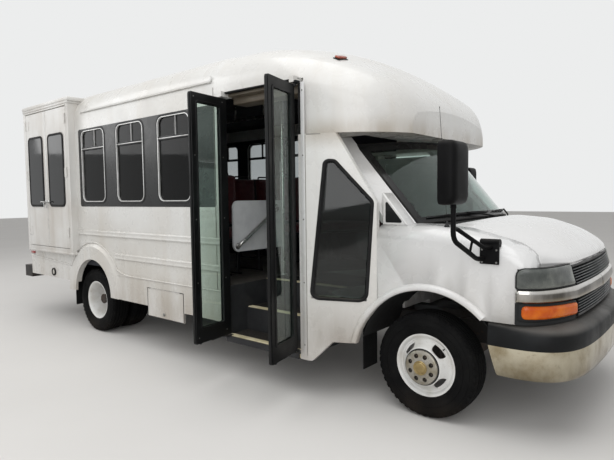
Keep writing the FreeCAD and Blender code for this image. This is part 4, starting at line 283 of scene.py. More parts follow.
# name: (slot, colour, worn colour, size of the worn patches, roughness from and to, whatever else it has)
finishes = {
    "coachPaint": ("white_paint", "d3d3d1", "c6c4bf", 0.9, (0.22, 0.42),
        dict(coat=0.35, coatRough=0.12, bump=(0.0006, 1.6), bumpStrength=0.35, bumpDetail=2,
             grimeShadeAndReflection=((roadDirt, 0.9, 0.34, 0.6), ("a3947d", 1.5, 0.5, 0.28)),
             stripe=("b3aa9b", (5.0, 5.0, 0.5), 0.22), dust=("b9b2a6", 0.35))),
    # capPaint's band, darker from 2.14 down to the cap's lower edge at 1.985, is brown stains and painted
    # shade where the cap curves under
    "capPaint": ("white_paint", "d3d3d1", "c8c6c2", 0.9, (0.22, 0.4),
        dict(coat=0.35, coatRough=0.12, grimeShadeAndReflection=(("8d7f69", 2.14, 1.985, 0.6),),
             stripe=("b3aa9b", (5.0, 5.0, 0.5), 0.2), bump=(0.0006, 1.6), bumpStrength=0.3, bumpDetail=2,
             dust=("c2bdb4", 0.2))),
    # panelPaint's second band, darker up towards 1.99 under the cap's edge, is brown stains and painted shade
    # of the cap's overhang
    "panelPaint": ("white_paint", "d5d5d3", "c9c7c3", 0.9, (0.2, 0.38),
        dict(coat=0.4, coatRough=0.1, grimeShadeAndReflection=((roadDirt, 0.85, 0.34, 0.75), ("8d7f69", 1.84, 1.99, 0.6)),
             stripe=("b3aa9b", (5.0, 5.0, 0.5), 0.2))),
    "cabPaint": ("white_paint", "d6d6d6", "cecdcb", 1.1, (0.16, 0.34),
        dict(coat=0.6, coatRough=0.06, grimeShadeAndReflection=((roadDirt, 0.85, 0.36, 0.6), ("ada290", 1.2, 0.5, 0.35)),
             dust=("c6c3bd", 0.2), bump=(0.0003, 1.2), bumpStrength=0.15, bumpDetail=2)),
    "liftPaint": ("white_paint", "cfcecb", "c1bdb7", 1.6, (0.3, 0.5),
        dict(coat=0.2, coatRough=0.2, grimeShadeAndReflection=((roadDirt, 1.15, 0.8, 0.5),),
             stripe=("a49a8b", (7.0, 7.0, 0.6), 0.35), bump=(0.0008, 2.5), bumpStrength=0.4, bumpDetail=2)),
    "blackTrim": ("black_frame", "0c0d0e", "151618", 9.0, (0.35, 0.55),
        dict(specular=0.3, dust=("45413b", 0.3), bump=(0.0004, 140.0))),
    "windowBand": ("black_frame", "090a0b", "101113", 2.0, (0.2, 0.36),
        dict(coat=0.2, coatRough=0.15, specular=0.3, dust=("3a3834", 0.3))),
    "roughPlastic": ("black_plastic", "0e0f10", "181a1b", 6.0, (0.5, 0.68),
        dict(specular=0.3, dust=("45423c", 0.3), bump=(0.0007, 420.0), bumpStrength=0.8)),
    "bumperPlastic": ("black_plastic", "0c0d0e", "16181a", 4.0, (0.4, 0.56),
        dict(specular=0.18, dust=("6d6a66", 0.62), bump=(0.0008, 260.0), bumpStrength=0.8)),
    "tyreRubber": ("tyre", "0a0a0b", "111111", 7.0, (0.7, 0.9),
        dict(specular=0.1, speck=("3a332b", 34.0, 0.2), bump=(0.0006, 210.0),
             grimeShadeAndReflection=(("4a4036", 0.22, 0.02, 0.2),))),
    "softRubber": ("rubber", "0a0a0b", "131314", 9.0, (0.6, 0.8),
        dict(specular=0.25, bump=(0.0004, 180.0), dust=("554f47", 0.4))),
    "darkGlass": ("dark_glass", "1b1e1f", "15191a", 1.4, (0.015, 0.06),
        dict(glass=1.0, ior=1.22, specular=0.3)),
    "farGlass": ("dark_glass", "a9adae", "9fa4a5", 1.4, (0.015, 0.05), dict(glass=1.0, ior=1.3)),
    "blackGlass": ("dark_glass", "0a0b0d", "0e1011", 2.0, (0.03, 0.09),
        dict(specular=0.3, speck=("25272a", 3.0, 0.5))),
    "clearGlass": ("clear_glass", "b9cdc6", "b1c6be", 1.1, (0.01, 0.04), dict(glass=1.0, ior=1.45)),
    # barChrome's dark band over a light tan lower part is a painted reflection of horizon and ground
    "barChrome": ("bright", "c9c7c4", "b3afa8", 5.0, (0.06, 0.2),
        dict(metal=1.0, grimeShadeAndReflection=(("3b3832", 0.946, 0.924, 0.9), ("a89c84", 0.915, 0.885, 0.7)),
             bump=(0.0002, 20.0))),
    "bumperSteel": ("bright", "c4bda9", "9a8e74", 6.0, (0.08, 0.24),
        dict(metal=1.0, grimeShadeAndReflection=(("5d523f", 0.6, 0.4, 0.75),), speck=("6b5f4a", 24.0, 0.4),
             bump=(0.0004, 9.0), bumpStrength=0.35, bumpDetail=2)),
    "bright": ("bright", "bdb9b2", "a39c90", 5.0, (0.08, 0.26),
        dict(metal=1.0, speck=("7b6f5f", 30.0, 0.35), bump=(0.0003, 12.0), bumpStrength=0.3, bumpDetail=2)),
    "frameLine": ("steel", "d6d6d5", "c4c4c2", 8.0, (0.25, 0.4), dict(metal=0.4, bump=(0.0002, 90.0))),
    "dullSteel": ("steel", "8e8e8d", "777570", 8.0, (0.3, 0.5),
        dict(metal=1.0, speck=("5b4a3a", 24.0, 0.4), bump=(0.0004, 90.0))),
    "stainless": ("steel", "b9b9b8", "a5a5a3", 12.0, (0.2, 0.34),
        dict(metal=1.0, bump=(0.0002, 160.0), bumpStretch=(1.0, 1.0, 0.05))),
    "wheelPaint": ("wheel_white", "d6d6d4", "c6c4bf", 8.0, (0.3, 0.46),
        dict(speck=("7c6a52", 22.0, 0.5), bump=(0.0004, 60.0))),
    "slatMetal": ("bright", "26282b", "1b1d1f", 8.0, (0.25, 0.4), dict(metal=0.6, bump=(0.0002, 80.0))),
    "mirrorShell": ("black_plastic", "050506", "0a0a0b", 6.0, (0.42, 0.55),
        dict(specular=0.1, dust=("45423c", 0.2), bump=(0.0004, 420.0))),
    "mirrorGlass": ("bright", "c4c8ca", "b8bcbe", 5.0, (0.02, 0.05), dict(metal=1.0)),
    "cabGlass": ("clear_glass", "7d8b86", "76847f", 1.4, (0.01, 0.04), dict(glass=1.0, ior=1.45)),
    "capLens": ("lamp", "8c3a22", "9b4a2e", 12.0, (0.2, 0.35), dict(coat=0.5, coatRough=0.15)),
    "hubMetal": ("bright", "a8a49c", "8f8878", 16.0, (0.26, 0.44),
        dict(metal=0.9, speck=("6b5c45", 40.0, 0.5), bump=(0.0003, 80.0))),
    "hubBadge": ("bright", "9d8a5e", "8a7750", 30.0, (0.3, 0.5), dict(metal=0.7, bump=(0.0004, 120.0))),
    "chassisBlack": ("frame_black", "1a1a1b", "2b2622", 3.0, (0.55, 0.78),
        dict(speck=("5b3a24", 14.0, 0.55), dust=("50483e", 0.6), bump=(0.001, 40.0))),
    "castMetal": ("cast", "3a3633", "4a382c", 5.0, (0.62, 0.85),
        dict(metal=0.3, speck=("6a4229", 18.0, 0.6), bump=(0.0014, 55.0), dust=("5a5146", 0.5))),
    "tankSteel": ("steel", "4a4a4a", "5a5048", 4.0, (0.45, 0.65),
        dict(metal=0.5, speck=("6a4c32", 14.0, 0.5), bump=(0.0006, 30.0), dust=("5a5248", 0.6))),
    "exhaustSteel": ("steel", "6e6156", "7c5a3e", 6.0, (0.5, 0.75),
        dict(metal=0.7, speck=("4a2f1f", 20.0, 0.6), bump=(0.0008, 60.0))),
    "floorVinyl": ("floor_cover", "1a1b1e", "242527", 5.0, (0.55, 0.75),
        dict(speck=("6a675f", 160.0, 0.4), dust=("6a635a", 0.45), bump=(0.0005, 260.0))),
    "inside": ("grey_panel", "2c2e34", "25272c", 2.0, (0.7, 0.85), dict(specular=0.2, bump=(0.0001, 60.0))),
    "greyPanel": ("grey_panel", "c2c3c5", "b4b5b8", 6.0, (0.4, 0.55), dict(bump=(0.0004, 220.0))),
    "stepEdge": ("floor_cover", "e0d5b6", "c4b894", 14.0, (0.5, 0.7),
        dict(speck=("5f5747", 60.0, 0.5), bump=(0.0005, 150.0))),
    "leafFrame": ("black_frame", "08090a", "0f1011", 5.0, (0.34, 0.5),
        dict(specular=0.25, dust=("45413b", 0.2), bump=(0.0003, 120.0))),
    "seatCloth": ("seat_cloth", "4a1318", "5a1a1e", 14.0, (0.8, 0.95),
        dict(sheen=0.35, sheenRough=0.5, speck=("2a2a44", 90.0, 0.5), bump=(0.0012, 700.0), bumpDetail=2)),
    "seatShell": ("dash_grey", "2b2c30", "35363a", 9.0, (0.5, 0.65), dict(bump=(0.0005, 300.0))),
    "dashPlastic": ("dash_grey", "3a3b3e", "454649", 6.0, (0.55, 0.7), dict(bump=(0.0006, 420.0))),
    "hazyLens": ("lamp", "3f4341", "7a7d77", 5.0, (0.2, 0.42),
        dict(coat=0.3, coatRough=0.15, speck=("2c302f", 7.0, 0.85), specular=0.4)),
    "amberLens": ("lamp", "b84a04", "cf6a0c", 9.0, (0.15, 0.3),
        dict(coat=0.1, specular=0.3, coatRough=0.1, speck=("9a3a0c", 26.0, 0.5))),
    "redLens": ("red_lens", "8e1512", "a01d18", 9.0, (0.15, 0.3), dict(coat=0.7, coatRough=0.1)),
    "clearLens": ("lamp", "c9cccd", "bcc0c1", 12.0, (0.12, 0.25), dict(coat=0.6, coatRough=0.1)),
    # near-black painted shade, put in gaps, recesses, behind the grille and inside the front arches
    "paintedShade": ("frame_black", "0a0a0b", "101011", 8.0, (0.7, 0.9), {}),
    "engineGrey": ("cast", "56585a", "45403c", 6.0, (0.5, 0.7),
        dict(metal=0.4, speck=("33302c", 20.0, 0.5), bump=(0.001, 50.0))),
    "leafGlass": ("clear_glass", "cfe0d8", "c5d8ce", 1.1, (0.01, 0.03), dict(glass=1.0, ior=1.5)),
    "headerPanel": ("grey_panel", "6b6255", "574f44", 3.0, (0.45, 0.6), dict(bump=(0.0004, 120.0))),
    "seamGrey": ("frame_black", "8b8883", "77736c", 5.0, (0.6, 0.8), {}),
    "greyLens": ("lamp", "b9b6ae", "a5a197", 14.0, (0.2, 0.35), dict(coat=0.4)),
}
finish = {name: makeFinish(name, *look) for name, (slot, *look) in finishes.items()}
print("finishes ready:", len(finish))


# Building: a form is a bmesh that grows by these calls and becomes one piece in settle
def toMesh(form, name):
    mesh = bpy.data.meshes.new(name)
    form.to_mesh(mesh)
    form.free()
    return mesh


def addMesh(form, mesh):
    form.from_mesh(mesh)
    bpy.data.meshes.remove(mesh)


def applied(holder):  # the mesh that an object's modifiers make, which are then taken off
    bpy.context.view_layer.update()
    mesh = bpy.data.meshes.new_from_object(holder.evaluated_get(bpy.context.evaluated_depsgraph_get()))
    holder.modifiers.clear()
    return mesh


def addBlock(form, first, second, edge=0.0, turn=None):
    low, high = zip(*(sorted(pair) for pair in zip(first, second)))
    part = bmesh.new()
    bmesh.ops.create_cube(part, size=1)
    for vertex in part.verts:
        vertex.co = Vector([(a + b) / 2 + c * (b - a) for a, b, c in zip(low, high, vertex.co)])
    if edge:
        bmesh.ops.bevel(part, geom=part.edges[:], offset=edge, segments=2, profile=0.5, affect="EDGES")
    if turn:
        bmesh.ops.transform(part, matrix=turn, verts=part.verts)
    addMesh(form, toMesh(part, "part"))


def addLoft(form, rings, caps=True, around=False):
    rows = [[form.verts.new(point) for point in ring] for ring in rings]
    count = len(rows[0])
    for first, second in zip(rows, rows[1:] + rows[:1] if around else rows[1:]):
        for index in range(count):
            after = (index + 1) % count
            form.faces.new((first[index], first[after], second[after], second[index]))
    if caps and not around:
        form.faces.new(rows[0])
        form.faces.new(rows[-1])


def addSlab(form, front, rear):  # a closed plate between two grids of points
    grid = [[[form.verts.new(point) for point in line] for line in side] for side in (front, rear)]
    last, end = len(front) - 1, len(front[0]) - 1
    for side in grid:
        for first, second in zip(side, side[1:]):
            for index in range(end):
                form.faces.new((first[index], first[index + 1], second[index + 1], second[index]))
    border = [(index, 0) for index in range(last + 1)] + [(last, row) for row in range(1, end + 1)]
    border += [(index, end) for index in range(last - 1, -1, -1)]
    border += [(0, row) for row in range(end - 1, 0, -1)]
    for (a, b), (c, d) in zip(border, border[1:] + border[:1]):
        form.faces.new((grid[0][a][b], grid[0][c][d], grid[1][c][d], grid[1][a][b]))


def cornerEnds(before, here, after, size):  # where a corner's arc starts and ends
    back, onward = before - here, after - here
    reach = min(size, back.length * 0.49, onward.length * 0.49)
    return here + back.normalized() * reach, here + onward.normalized() * reach


def rounded(points, radius=0.0, steps=5):  # corners made arcs; a third number in a point is its own radius
    result = []
    for index, corner in enumerate(points):
        before, here, after = (Vector(points[turn % len(points)][:2])
                               for turn in (index - 1, index, index + 1))
        size = corner[2] if len(corner) > 2 else radius
        half = (before - here).angle(after - here) / 2
        start, end = cornerEnds(before, here, after, size / math.tan(half))
        for step in range(steps + 1):
            t = step / steps
            shares = ((1 - t) ** 2, 2 * t * (1 - t) * math.sin(half), t * t)
            result.append((start * shares[0] + here * shares[1] + end * shares[2]) / sum(shares))
    return result


def rect(lowU, lowV, highU, highV):
    return [(lowU, lowV), (highU, lowV), (highU, highV), (lowU, highV)]


def inset(outline, amount):
    area = sum(a.x * b.y - b.x * a.y for a, b in zip(outline, outline[1:] + outline[:1]))
    sign = 1 if area > 0 else -1
    result = []
    for before, here, after in zip(outline[-1:] + outline[:-1], outline, outline[1:] + outline[:1]):
        first = (here - before).normalized()
        second = (after - here).normalized()
        normal = Vector((-first.y - second.y, first.x + second.x)).normalized()
        slant = max(0.35, normal.dot(Vector((-first.y, first.x))))
        result.append(here + normal * (amount * sign / slant))
    return result


def addPlate(form, outline, holes, plane, back, front, edge=0.0015):  # flat, its front chamfered, with holes
    part = bmesh.new()
    rims = {back: [], front: []}
    inward = edge if front > back else -edge
    for number, loop in enumerate([outline] + list(holes)):
        rows = []
        for points, depth in ((loop, back), (loop, front - inward),
                              (inset(loop, -edge if number else edge), front)):
            spots = [{"XZ": (u, depth, v), "YZ": (depth, u, v)}[plane] for u, v in points]
            rows.append([part.verts.new(spot) for spot in spots])
        for first, second in zip(rows, rows[1:]):
            for index in range(len(loop)):
                after = (index + 1) % len(loop)
                part.faces.new((first[index], first[after], second[after], second[index]))
        for depth, row in ((back, rows[0]), (front, rows[2])):
            rims[depth] += [part.edges.get((row[index - 1], row[index])) for index in range(len(row))]
    for edges in rims.values():
        bmesh.ops.triangle_fill(part, use_beauty=True, use_dissolve=False, edges=edges)
    addMesh(form, toMesh(part, "part"))


def bendPath(points, bend, steps=5):
    path = [Vector(points[0])]
    for before, here, after in zip(points, points[1:], points[2:]):
        here = Vector(here)
        start, end = cornerEnds(Vector(before), here, Vector(after), bend)
        path += [start.lerp(here, step / steps).lerp(here.lerp(end, step / steps), step / steps)
                 for step in range(steps + 1)]
    path.append(Vector(points[-1]))
    return path


def circle(side, other, radius, sides, flat=1.0):
    angles = [2 * math.pi * step / sides for step in range(sides)]
    return [radius * (math.cos(angle) * side + flat * math.sin(angle) * other) for angle in angles]


def addTube(form, points, radius, sides=12, bend=0.0, flat=1.0):  # corners bent; flat squeezes the section
    path = bendPath(points, bend) if bend and len(points) > 2 else [Vector(point) for point in points]
    side = None
    rings = []
    for index, here in enumerate(path):
        run = (path[min(index + 1, len(path) - 1)] - path[max(index - 1, 0)]).normalized()
        if side is None:
            side = run.orthogonal().normalized()
        side = (side - run * side.dot(run)).normalized()
        rings.append([here + spoke for spoke in circle(side, run.cross(side), radius, sides, flat)])
    addLoft(form, rings)


# A turned body: profile holds (distance along the axis, radius)
def addLathe(form, profile, centre, axis=(0, 1, 0), steps=48, around=False):
    axis = Vector(axis).normalized()
    side = axis.orthogonal().normalized()
    other = axis.cross(side)
    rings = [[Vector(centre) + axis * along + spoke for spoke in circle(side, other, radius, steps)]
             for along, radius in profile]
    addLoft(form, rings, around=around)


def smoothLine(points, steps):  # a soft curve through the points, with steps pieces between each two
    points = [Vector(point) for point in points]
    padded = [2 * points[0] - points[1]] + points + [2 * points[-1] - points[-2]]
    line = []
    for first, second, third, fourth in zip(padded, padded[1:], padded[2:], padded[3:]):
        for step in range(steps):
            t = step / steps
            line.append(0.5 * (2 * second + (third - first) * t
                               + (2 * first - 5 * second + 4 * third - fourth) * t * t
                               + (3 * second - first - 3 * third + fourth) * t ** 3))
    line.append(points[-1])
    return line


def bothSides(form):
    copied = bmesh.ops.duplicate(form, geom=form.verts[:] + form.edges[:] + form.faces[:])["geom"]
    for vertex in (item for item in copied if isinstance(item, bmesh.types.BMVert)):
        vertex.co.y = -vertex.co.y
    bmesh.ops.reverse_faces(form, faces=[item for item in copied if isinstance(item, bmesh.types.BMFace)])


def settle(name, form, look, body="root", smooth=38, stands=()):
    bmesh.ops.remove_doubles(form, verts=form.verts, dist=0.00002)
    bmesh.ops.dissolve_degenerate(form, dist=0.00001, edges=form.edges)
    bmesh.ops.recalc_face_normals(form, faces=form.faces)
    mesh = toMesh(form, name)
    mesh.materials.append(finish[look])
    mesh.shade_smooth()
    mesh.set_sharp_from_angle(angle=math.radians(smooth))
    piece = linkObject(name, mesh)
    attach(piece, body)
    if stands:
        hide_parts(*stands)


def gather(parts):  # each part is a call of the kind above, followed by what it takes
    form = bmesh.new()
    for add, *values in parts:
        add(form, *values)
    return form


def makePiece(name, look, parts, body="root", smooth=38, stands=(), both=False, turn=None):
    form = gather(parts)
    if both:
        bothSides(form)
    if turn:
        bmesh.ops.transform(form, matrix=turn, verts=form.verts)
    settle(name, form, look, body, smooth, stands)


# Repeats: two node trees that copy a small mesh round an axle or along a line
def makeRepeat(name, turning):
    tree = bpy.data.node_groups.new(name, "GeometryNodeTree")
    for label, kind in (("Geometry", "Geometry"), ("Count", "Int"), ("Centre", "Vector"), ("Step", "Vector"),
                        ("Material", "Material")):
        tree.interface.new_socket(label, in_out="INPUT", socket_type="NodeSocket" + kind)
    tree.interface.new_socket("Geometry", in_out="OUTPUT", socket_type="NodeSocketGeometry")
    given = tree.nodes.new("NodeGroupInput").outputs
    index = tree.nodes.new("GeometryNodeInputIndex").outputs[0]
    values = {0: given["Step"], "Scale": index}
    reach = addNode(tree, "ShaderNodeVectorMath", values, operation="SCALE").outputs[0]
    spot = given["Centre"]
    if not turning:
        spot = addNode(tree, "ShaderNodeVectorMath", {0: spot, 1: reach}, operation="ADD").outputs[0]
    points = addNode(tree, "GeometryNodePoints", {"Count": given["Count"], "Position": spot}).outputs[0]
    values = {"Points": points, "Instance": given["Geometry"]}
    if turning:
        values["Rotation"] = reach
    copies = addNode(tree, "GeometryNodeInstanceOnPoints", values).outputs[0]
    real = addNode(tree, "GeometryNodeRealizeInstances", {0: copies}).outputs[0]
    paint = addNode(tree, "GeometryNodeSetMaterial", {"Geometry": real, "Material": given["Material"]})
    addNode(tree, "NodeGroupOutput", {0: paint.outputs[0]})
    return tree


aroundAxle = makeRepeat("aroundAxle", True)
alongLine = makeRepeat("alongLine", False)


# Copies what the parts make, built round the origin, and settles all the copies as one piece
def repeat(name, parts, look, tree, count, centre, step, body="root", smooth=38):
    form = gather(parts)
    bmesh.ops.recalc_face_normals(form, faces=form.faces)
    holder = linkObject(name + "Seed", toMesh(form, name + "Seed"))
    modifier = holder.modifiers.new("repeat", "NODES")
    modifier.node_group = tree
    values = {"Count": count, "Centre": centre, "Step": step, "Material": finish[look]}
    for socket in tree.interface.items_tree:
        if socket.in_out == "INPUT" and socket.name in values:
            modifier[socket.identifier] = values[socket.name]
    result = bmesh.new()
    addMesh(result, applied(holder))
    bpy.data.objects.remove(holder)
    settle(name, result, look, body, smooth)


def carve(form, cutter):  # takes the cutter's closed shapes out of a closed form
    holders = []
    for label, part in (("whole", form), ("cutter", cutter)):
        bmesh.ops.remove_doubles(part, verts=part.verts, dist=0.00002)
        bmesh.ops.recalc_face_normals(part, faces=part.faces)
        holders.append(linkObject(label, toMesh(part, label)))
    modifier = holders[0].modifiers.new("carve", "BOOLEAN")
    modifier.operation = "DIFFERENCE"
    modifier.solver = "EXACT"
    modifier.object = holders[1]
    result = bmesh.new()
    addMesh(result, applied(holders[0]))
    for holder in holders:
        bpy.data.objects.remove(holder)
    return result


print("helpers ready")


# Saloon windows: black band, silver-lined frames, slider bars and dark panes
windows = {
    "low": 1.49,
    "high": 2.31,
    "width": 0.512,
    "corner": 0.085,
    "slider": 2.092,
    "rows": ((-1, (-2.108, -1.373, -0.638), (-2.165, 0.2)),
             (1, (-3.35, -2.615, -1.88, -1.145), (-3.41, -0.57))),
    "band": (1.448, 2.321, 0.0022, 0.0008),  # low, high, how far out, chamfer
    "rings": (  # form, grown outside and inside, from and to how far out, chamfer
        ("frames", 0.01, -0.014, -0.024, 0.007, 0.004),
        ("lines", -0.011, -0.02, -0.01, 0.0078, 0.0015),
    ),
    "pane": (-0.008, -0.018, -0.013, 0.001),
    "bars": (("lines", 0.001, 0.008), ("frames", 0.008, 0.022), ("frames", -0.012, 0.001)),
    "barReach": (0.015, -0.014, 0.001),
    "post": (("frames", -0.014, 0.01, -0.016, -0.002, 0.0, -0.013, 0.001),
             ("lines", 0.01, 0.013, -0.012, 0.0, 0.02, -0.016, 0.0)),
    "postShift": 0.02,
    "rear": ((-0.56, 1.49, 0.56, 2.11), 0.085),
    "rearRing": (-0.02, 0.018, -3.545, -3.572, 0.006),
    "rearPane": (0.01, -3.556, -3.561, 0.001),
}


def windowHole(start, grow=0.0):
    outline = rounded(rect(start, windows["low"], start + windows["width"], windows["high"]),
                      windows["corner"])
    return inset(outline, -grow)


def addWindows():
    forms = {label: bmesh.new() for label in ("band", "frames", "lines", -1, 1)}
    low, high, bandOut, bandEdge = windows["band"]
    slider = windows["slider"]
    for side, starts, (bandRear, bandFront) in windows["rows"]:
        skin = side * place["wall"]
        addPlate(forms["band"], rounded(rect(bandRear, low, bandFront, high), 0.03),
                 [windowHole(start) for start in starts], "XZ", skin, skin + side * bandOut, bandEdge)
        for start in starts:
            for label, outside, within, back, front, edge in windows["rings"]:
                addPlate(forms[label], windowHole(start, outside), [windowHole(start, within)], "XZ",
                         skin + side * back, skin + side * front, edge)
            end = start + windows["width"]
            aside, back, front = windows["barReach"]
            for label, lowBar, highBar in windows["bars"]:
                addBlock(forms[label], (start + aside, skin + side * back, slider + lowBar),
                         (end - aside, skin + side * front, slider + highBar), 0.001)
            middle = (start + end) / 2 + windows["postShift"]
            for label, rear, ahead, back, front, lowBar, highBar, edge in windows["post"]:
                addBlock(forms[label], (middle + rear, skin + side * back, slider + lowBar),
                         (middle + ahead, skin + side * front, windows["high"] + highBar), edge)
            grow, back, front, edge = windows["pane"]
            addPlate(forms[side], windowHole(start, grow), [], "XZ", skin + side * back, skin + side * front,
                     edge)
    rear = rounded(rect(*windows["rear"][0]), windows["rear"][1])
    outside, within, back, front, edge = windows["rearRing"]
    addPlate(forms["frames"], inset(rear, outside), [inset(rear, within)], "YZ", back, front, edge)
    grow, back, front, edge = windows["rearPane"]
    addPlate(forms[-1], inset(rear, grow), [], "YZ", back, front, edge)
    settle("windowBand", forms["band"], "windowBand")
    settle("windowFrames", forms["frames"], "blackTrim")
    settle("windowLines", forms["lines"], "frameLine")
    settle("windowPanesRight", forms[-1], "darkGlass", stands=("saloon_windows",))
    settle("windowPanesLeft", forms[1], "farGlass", stands=("saloon_windows",))


addWindows()

# Entry door: two open leaves with green glass, white jamb strip, header and hinges
leaf = {
    "low": 0.372,
    "high": 2.345,
    "reach": 0.396,
    "edge": 0.012,
    "stile": 0.062,
    "hingeStile": 0.056,
    "lowRail": 0.118,
    "topRail": 0.07,
    "thick": 0.032,
    "rings": ((-0.016, 0.006, -0.001, 0.006, 0.002), (-0.012, 0.005, 0.028, 0.034, 0.002)),
    "pane": (-0.006, 0.0125, 0.0175, 0.0008),
    "pin": ((0, 0.0), (0, 0.014), (0.018, 0.014), (0.018, 0.0)),
    "foot": ((-0.012, 0), (-0.012, 0.008), (0, 0.01), (0.01, 0.008), (0.01, 0)),
    "screw": ((0.0325, 0), (0.0335, 0.003), (0.032, 0.0055)),
    "screwHeights": (0.42, 0.86, 1.36, 1.86, 2.31),
    # place, how far it stands open, side (1 is the front leaf) and what reaches back past the hinge
    "hinges": {
        "entry_leaf_front": ((1.12, -1.242), 104, 1, 0.002),
        "entry_leaf_rear": ((0.32, -1.242), -83, -1, 0.028),
    },
}


def addLeaf(body, hinge, openBy, side, tail):
    turn = Matrix.Translation((*hinge, 0)) @ Matrix.Rotation(math.radians(openBy), 4, "Z")
    low, high, reach = leaf["low"], leaf["high"], leaf["reach"]
    end = reach - leaf["edge"]
    outline = rounded(rect(side * tail, low, -side * end, high), 0.006, 2)
    if side > 0:
        outline.reverse()
    near, far = sorted((-side * leaf["hingeStile"], -side * (end - leaf["stile"])))
    hole = rounded(rect(near, low + leaf["lowRail"], far, high - leaf["topRail"]), 0.018, 4)
    frameParts = [(addPlate, outline, [hole], "XZ", 0.003, leaf["thick"], 0.003)]
    frameParts += [(addPlate, inset(hole, outside), [inset(hole, within)], "XZ", *depths)
                   for outside, within, *depths in leaf["rings"]]
    frameParts += [(addBlock, (-side * end, 0.006, low + 0.01), (-side * reach, 0.028, high - 0.01), 0.005),
                   (addBlock, (-side * 0.03, 0.01, low - 0.009), (-side * 0.2, 0.024, low + 0.004), 0.003)]
    frameParts += [(addLathe, leaf["pin"], (0, 0, z), (0, 0, 1), 20) for z in (low - 0.01, high - 0.012)]
    frameParts.append((addLathe, leaf["foot"], (-side * 0.33, 0.016, low - 0.001), (0, 1, 0), 20))
    grow, *depths = leaf["pane"]
    pane = [(addPlate, inset(hole, grow), [], "XZ", *depths)]
    screws = [(addLathe, leaf["screw"], (along, 0, z), (0, 1, 0), 12)
              for along in (-side * 0.028, -side * (end - 0.03)) for z in leaf["screwHeights"]]
    makePiece(body + "Frame", "leafFrame", frameParts, body, stands=(body,), turn=turn)
    makePiece(body + "Glass", "leafGlass", pane, body, turn=turn)
    makePiece(body + "Screws", "dullSteel", screws, body, turn=turn)


for body, values in leaf["hinges"].items():
    addLeaf(body, *values)

entry = {
    "rear": 0.27,
    "front": 1.13,
    "top": 2.4,
    "strip": ((1.158, -1.2245, 0.36), (1.192, -1.2195, 2.36), 0.0018),
    "corner": ((1.118, -1.262, 2.352), (1.15, -1.214, 2.372), 0.003),
    "mark": ((-0.0012, 0), (-0.0022, 0.0045), (0.0, 0.0065)),
    "firstMark": (1.175, -1.2246, 0.42),
    "marks": (5, 0.47),
}


def addEntryTrim():
    rear, front, top = entry["rear"], entry["front"], entry["top"]
    makePiece("jambStrip", "cabPaint", [(addBlock, *entry["strip"])])
    seals = [(addBlock, (x, -1.203, 0.37), (x + 0.012, -1.184, top - 0.01), 0.004)
             for x in (rear + 0.001, front - 0.013)]
    seals += [(addBlock, (rear, -1.226, top - 0.014), (front, -1.19, top - 0.002), 0.004),
              (addBlock, *entry["corner"])]
    makePiece("entrySeals", "softRubber", seals)
    makePiece("entryHeader", "headerPanel", [
        (addBlock, (rear + 0.015, -1.185, 2.366), (front - 0.015, -0.93, 2.392), 0.004),
        (addBlock, (rear + 0.06, -1.12, 2.31), (front - 0.06, -0.96, 2.368), 0.008)])
    count, pitch = entry["marks"]
    repeat("jambScrews", [(addLathe, entry["mark"], (0, 0, 0), (0, 1, 0), 14)], "dullSteel", alongLine, count,
           entry["firstMark"], (0, 0, pitch))


addEntryTrim()
print("windows and entry door ready")

# Body side: beads, mouldings, gutter, seams, access door, marker lamps and the lift housing's trim
beads = {
    "radius": 0.0085,
    "out": 1.2235,
    "arch": (-1.925, 0.462, 0.585),
    "archEnds": (151, 0.742),
    "rear": ((-3.556, 0.805), (-3.0, 0.775), (-2.56, 0.752)),
    "front": {-1: ((-1.31, 0.735), (-1.2, 0.722), (0.268, 0.722)),
              1: ((-1.31, 0.735), (-1.2, 0.722), (0.44, 0.722))},
}


def addBeads():
    parts = []
    x, z, radius = beads["arch"]
    start, low = beads["archEnds"]
    angles = [math.radians(start - step * start / 24) for step in range(25)]
    arch = [(x + radius * math.cos(angle), z + radius * math.sin(angle)) for angle in angles]
    for side, front in beads["front"].items():
        line = [*beads["rear"], *(point for point in arch if point[1] > low), *front]
        parts.append((addTube, [(px, side * beads["out"], pz) for px, pz in line], beads["radius"], 8, 0.05))
    makePiece("skirtBead", "coachPaint", parts, smooth=50)


addBeads()

moulding = {
    "section": ((-0.002, 0.0), (0.005, 0.001), (0.015, 0.007), (0.0175, 0.0125), (0.0165, 0.019),
                (0.0148, 0.025), (0.0148, 0.042), (0.0165, 0.048), (0.0185, 0.0545), (0.016, 0.0605),
                (0.005, 0.066), (-0.002, 0.067)),
    "middle": 0.0335,
    "wall": 1.2195,
    "runs": ((-1, -2.222, 0.252, 1.1185), (-1, -1.47, 0.252, 0.8845), (1, -3.5, 0.43, 1.1185),
             (1, -1.47, 0.43, 0.8845)),
    "taper": ((0, 0.25), (0.012, 0.8), (0.03, 1.0)),  # how far along, and how much of the section is there
}


def addMouldings():
    parts = []
    middle = moulding["middle"]
    for side, start, end, low in moulding["runs"]:
        stations = [(start + along, size) for along, size in moulding["taper"]] + [(end, 1.0)]
        parts.append((addLoft, [[(x, side * (moulding["wall"] + out * size),
                                  low + middle + (z - middle) * size)
                                 for out, z in moulding["section"]] for x, size in stations]))
    makePiece("sideMouldings", "coachPaint", parts, smooth=50)


addMouldings()

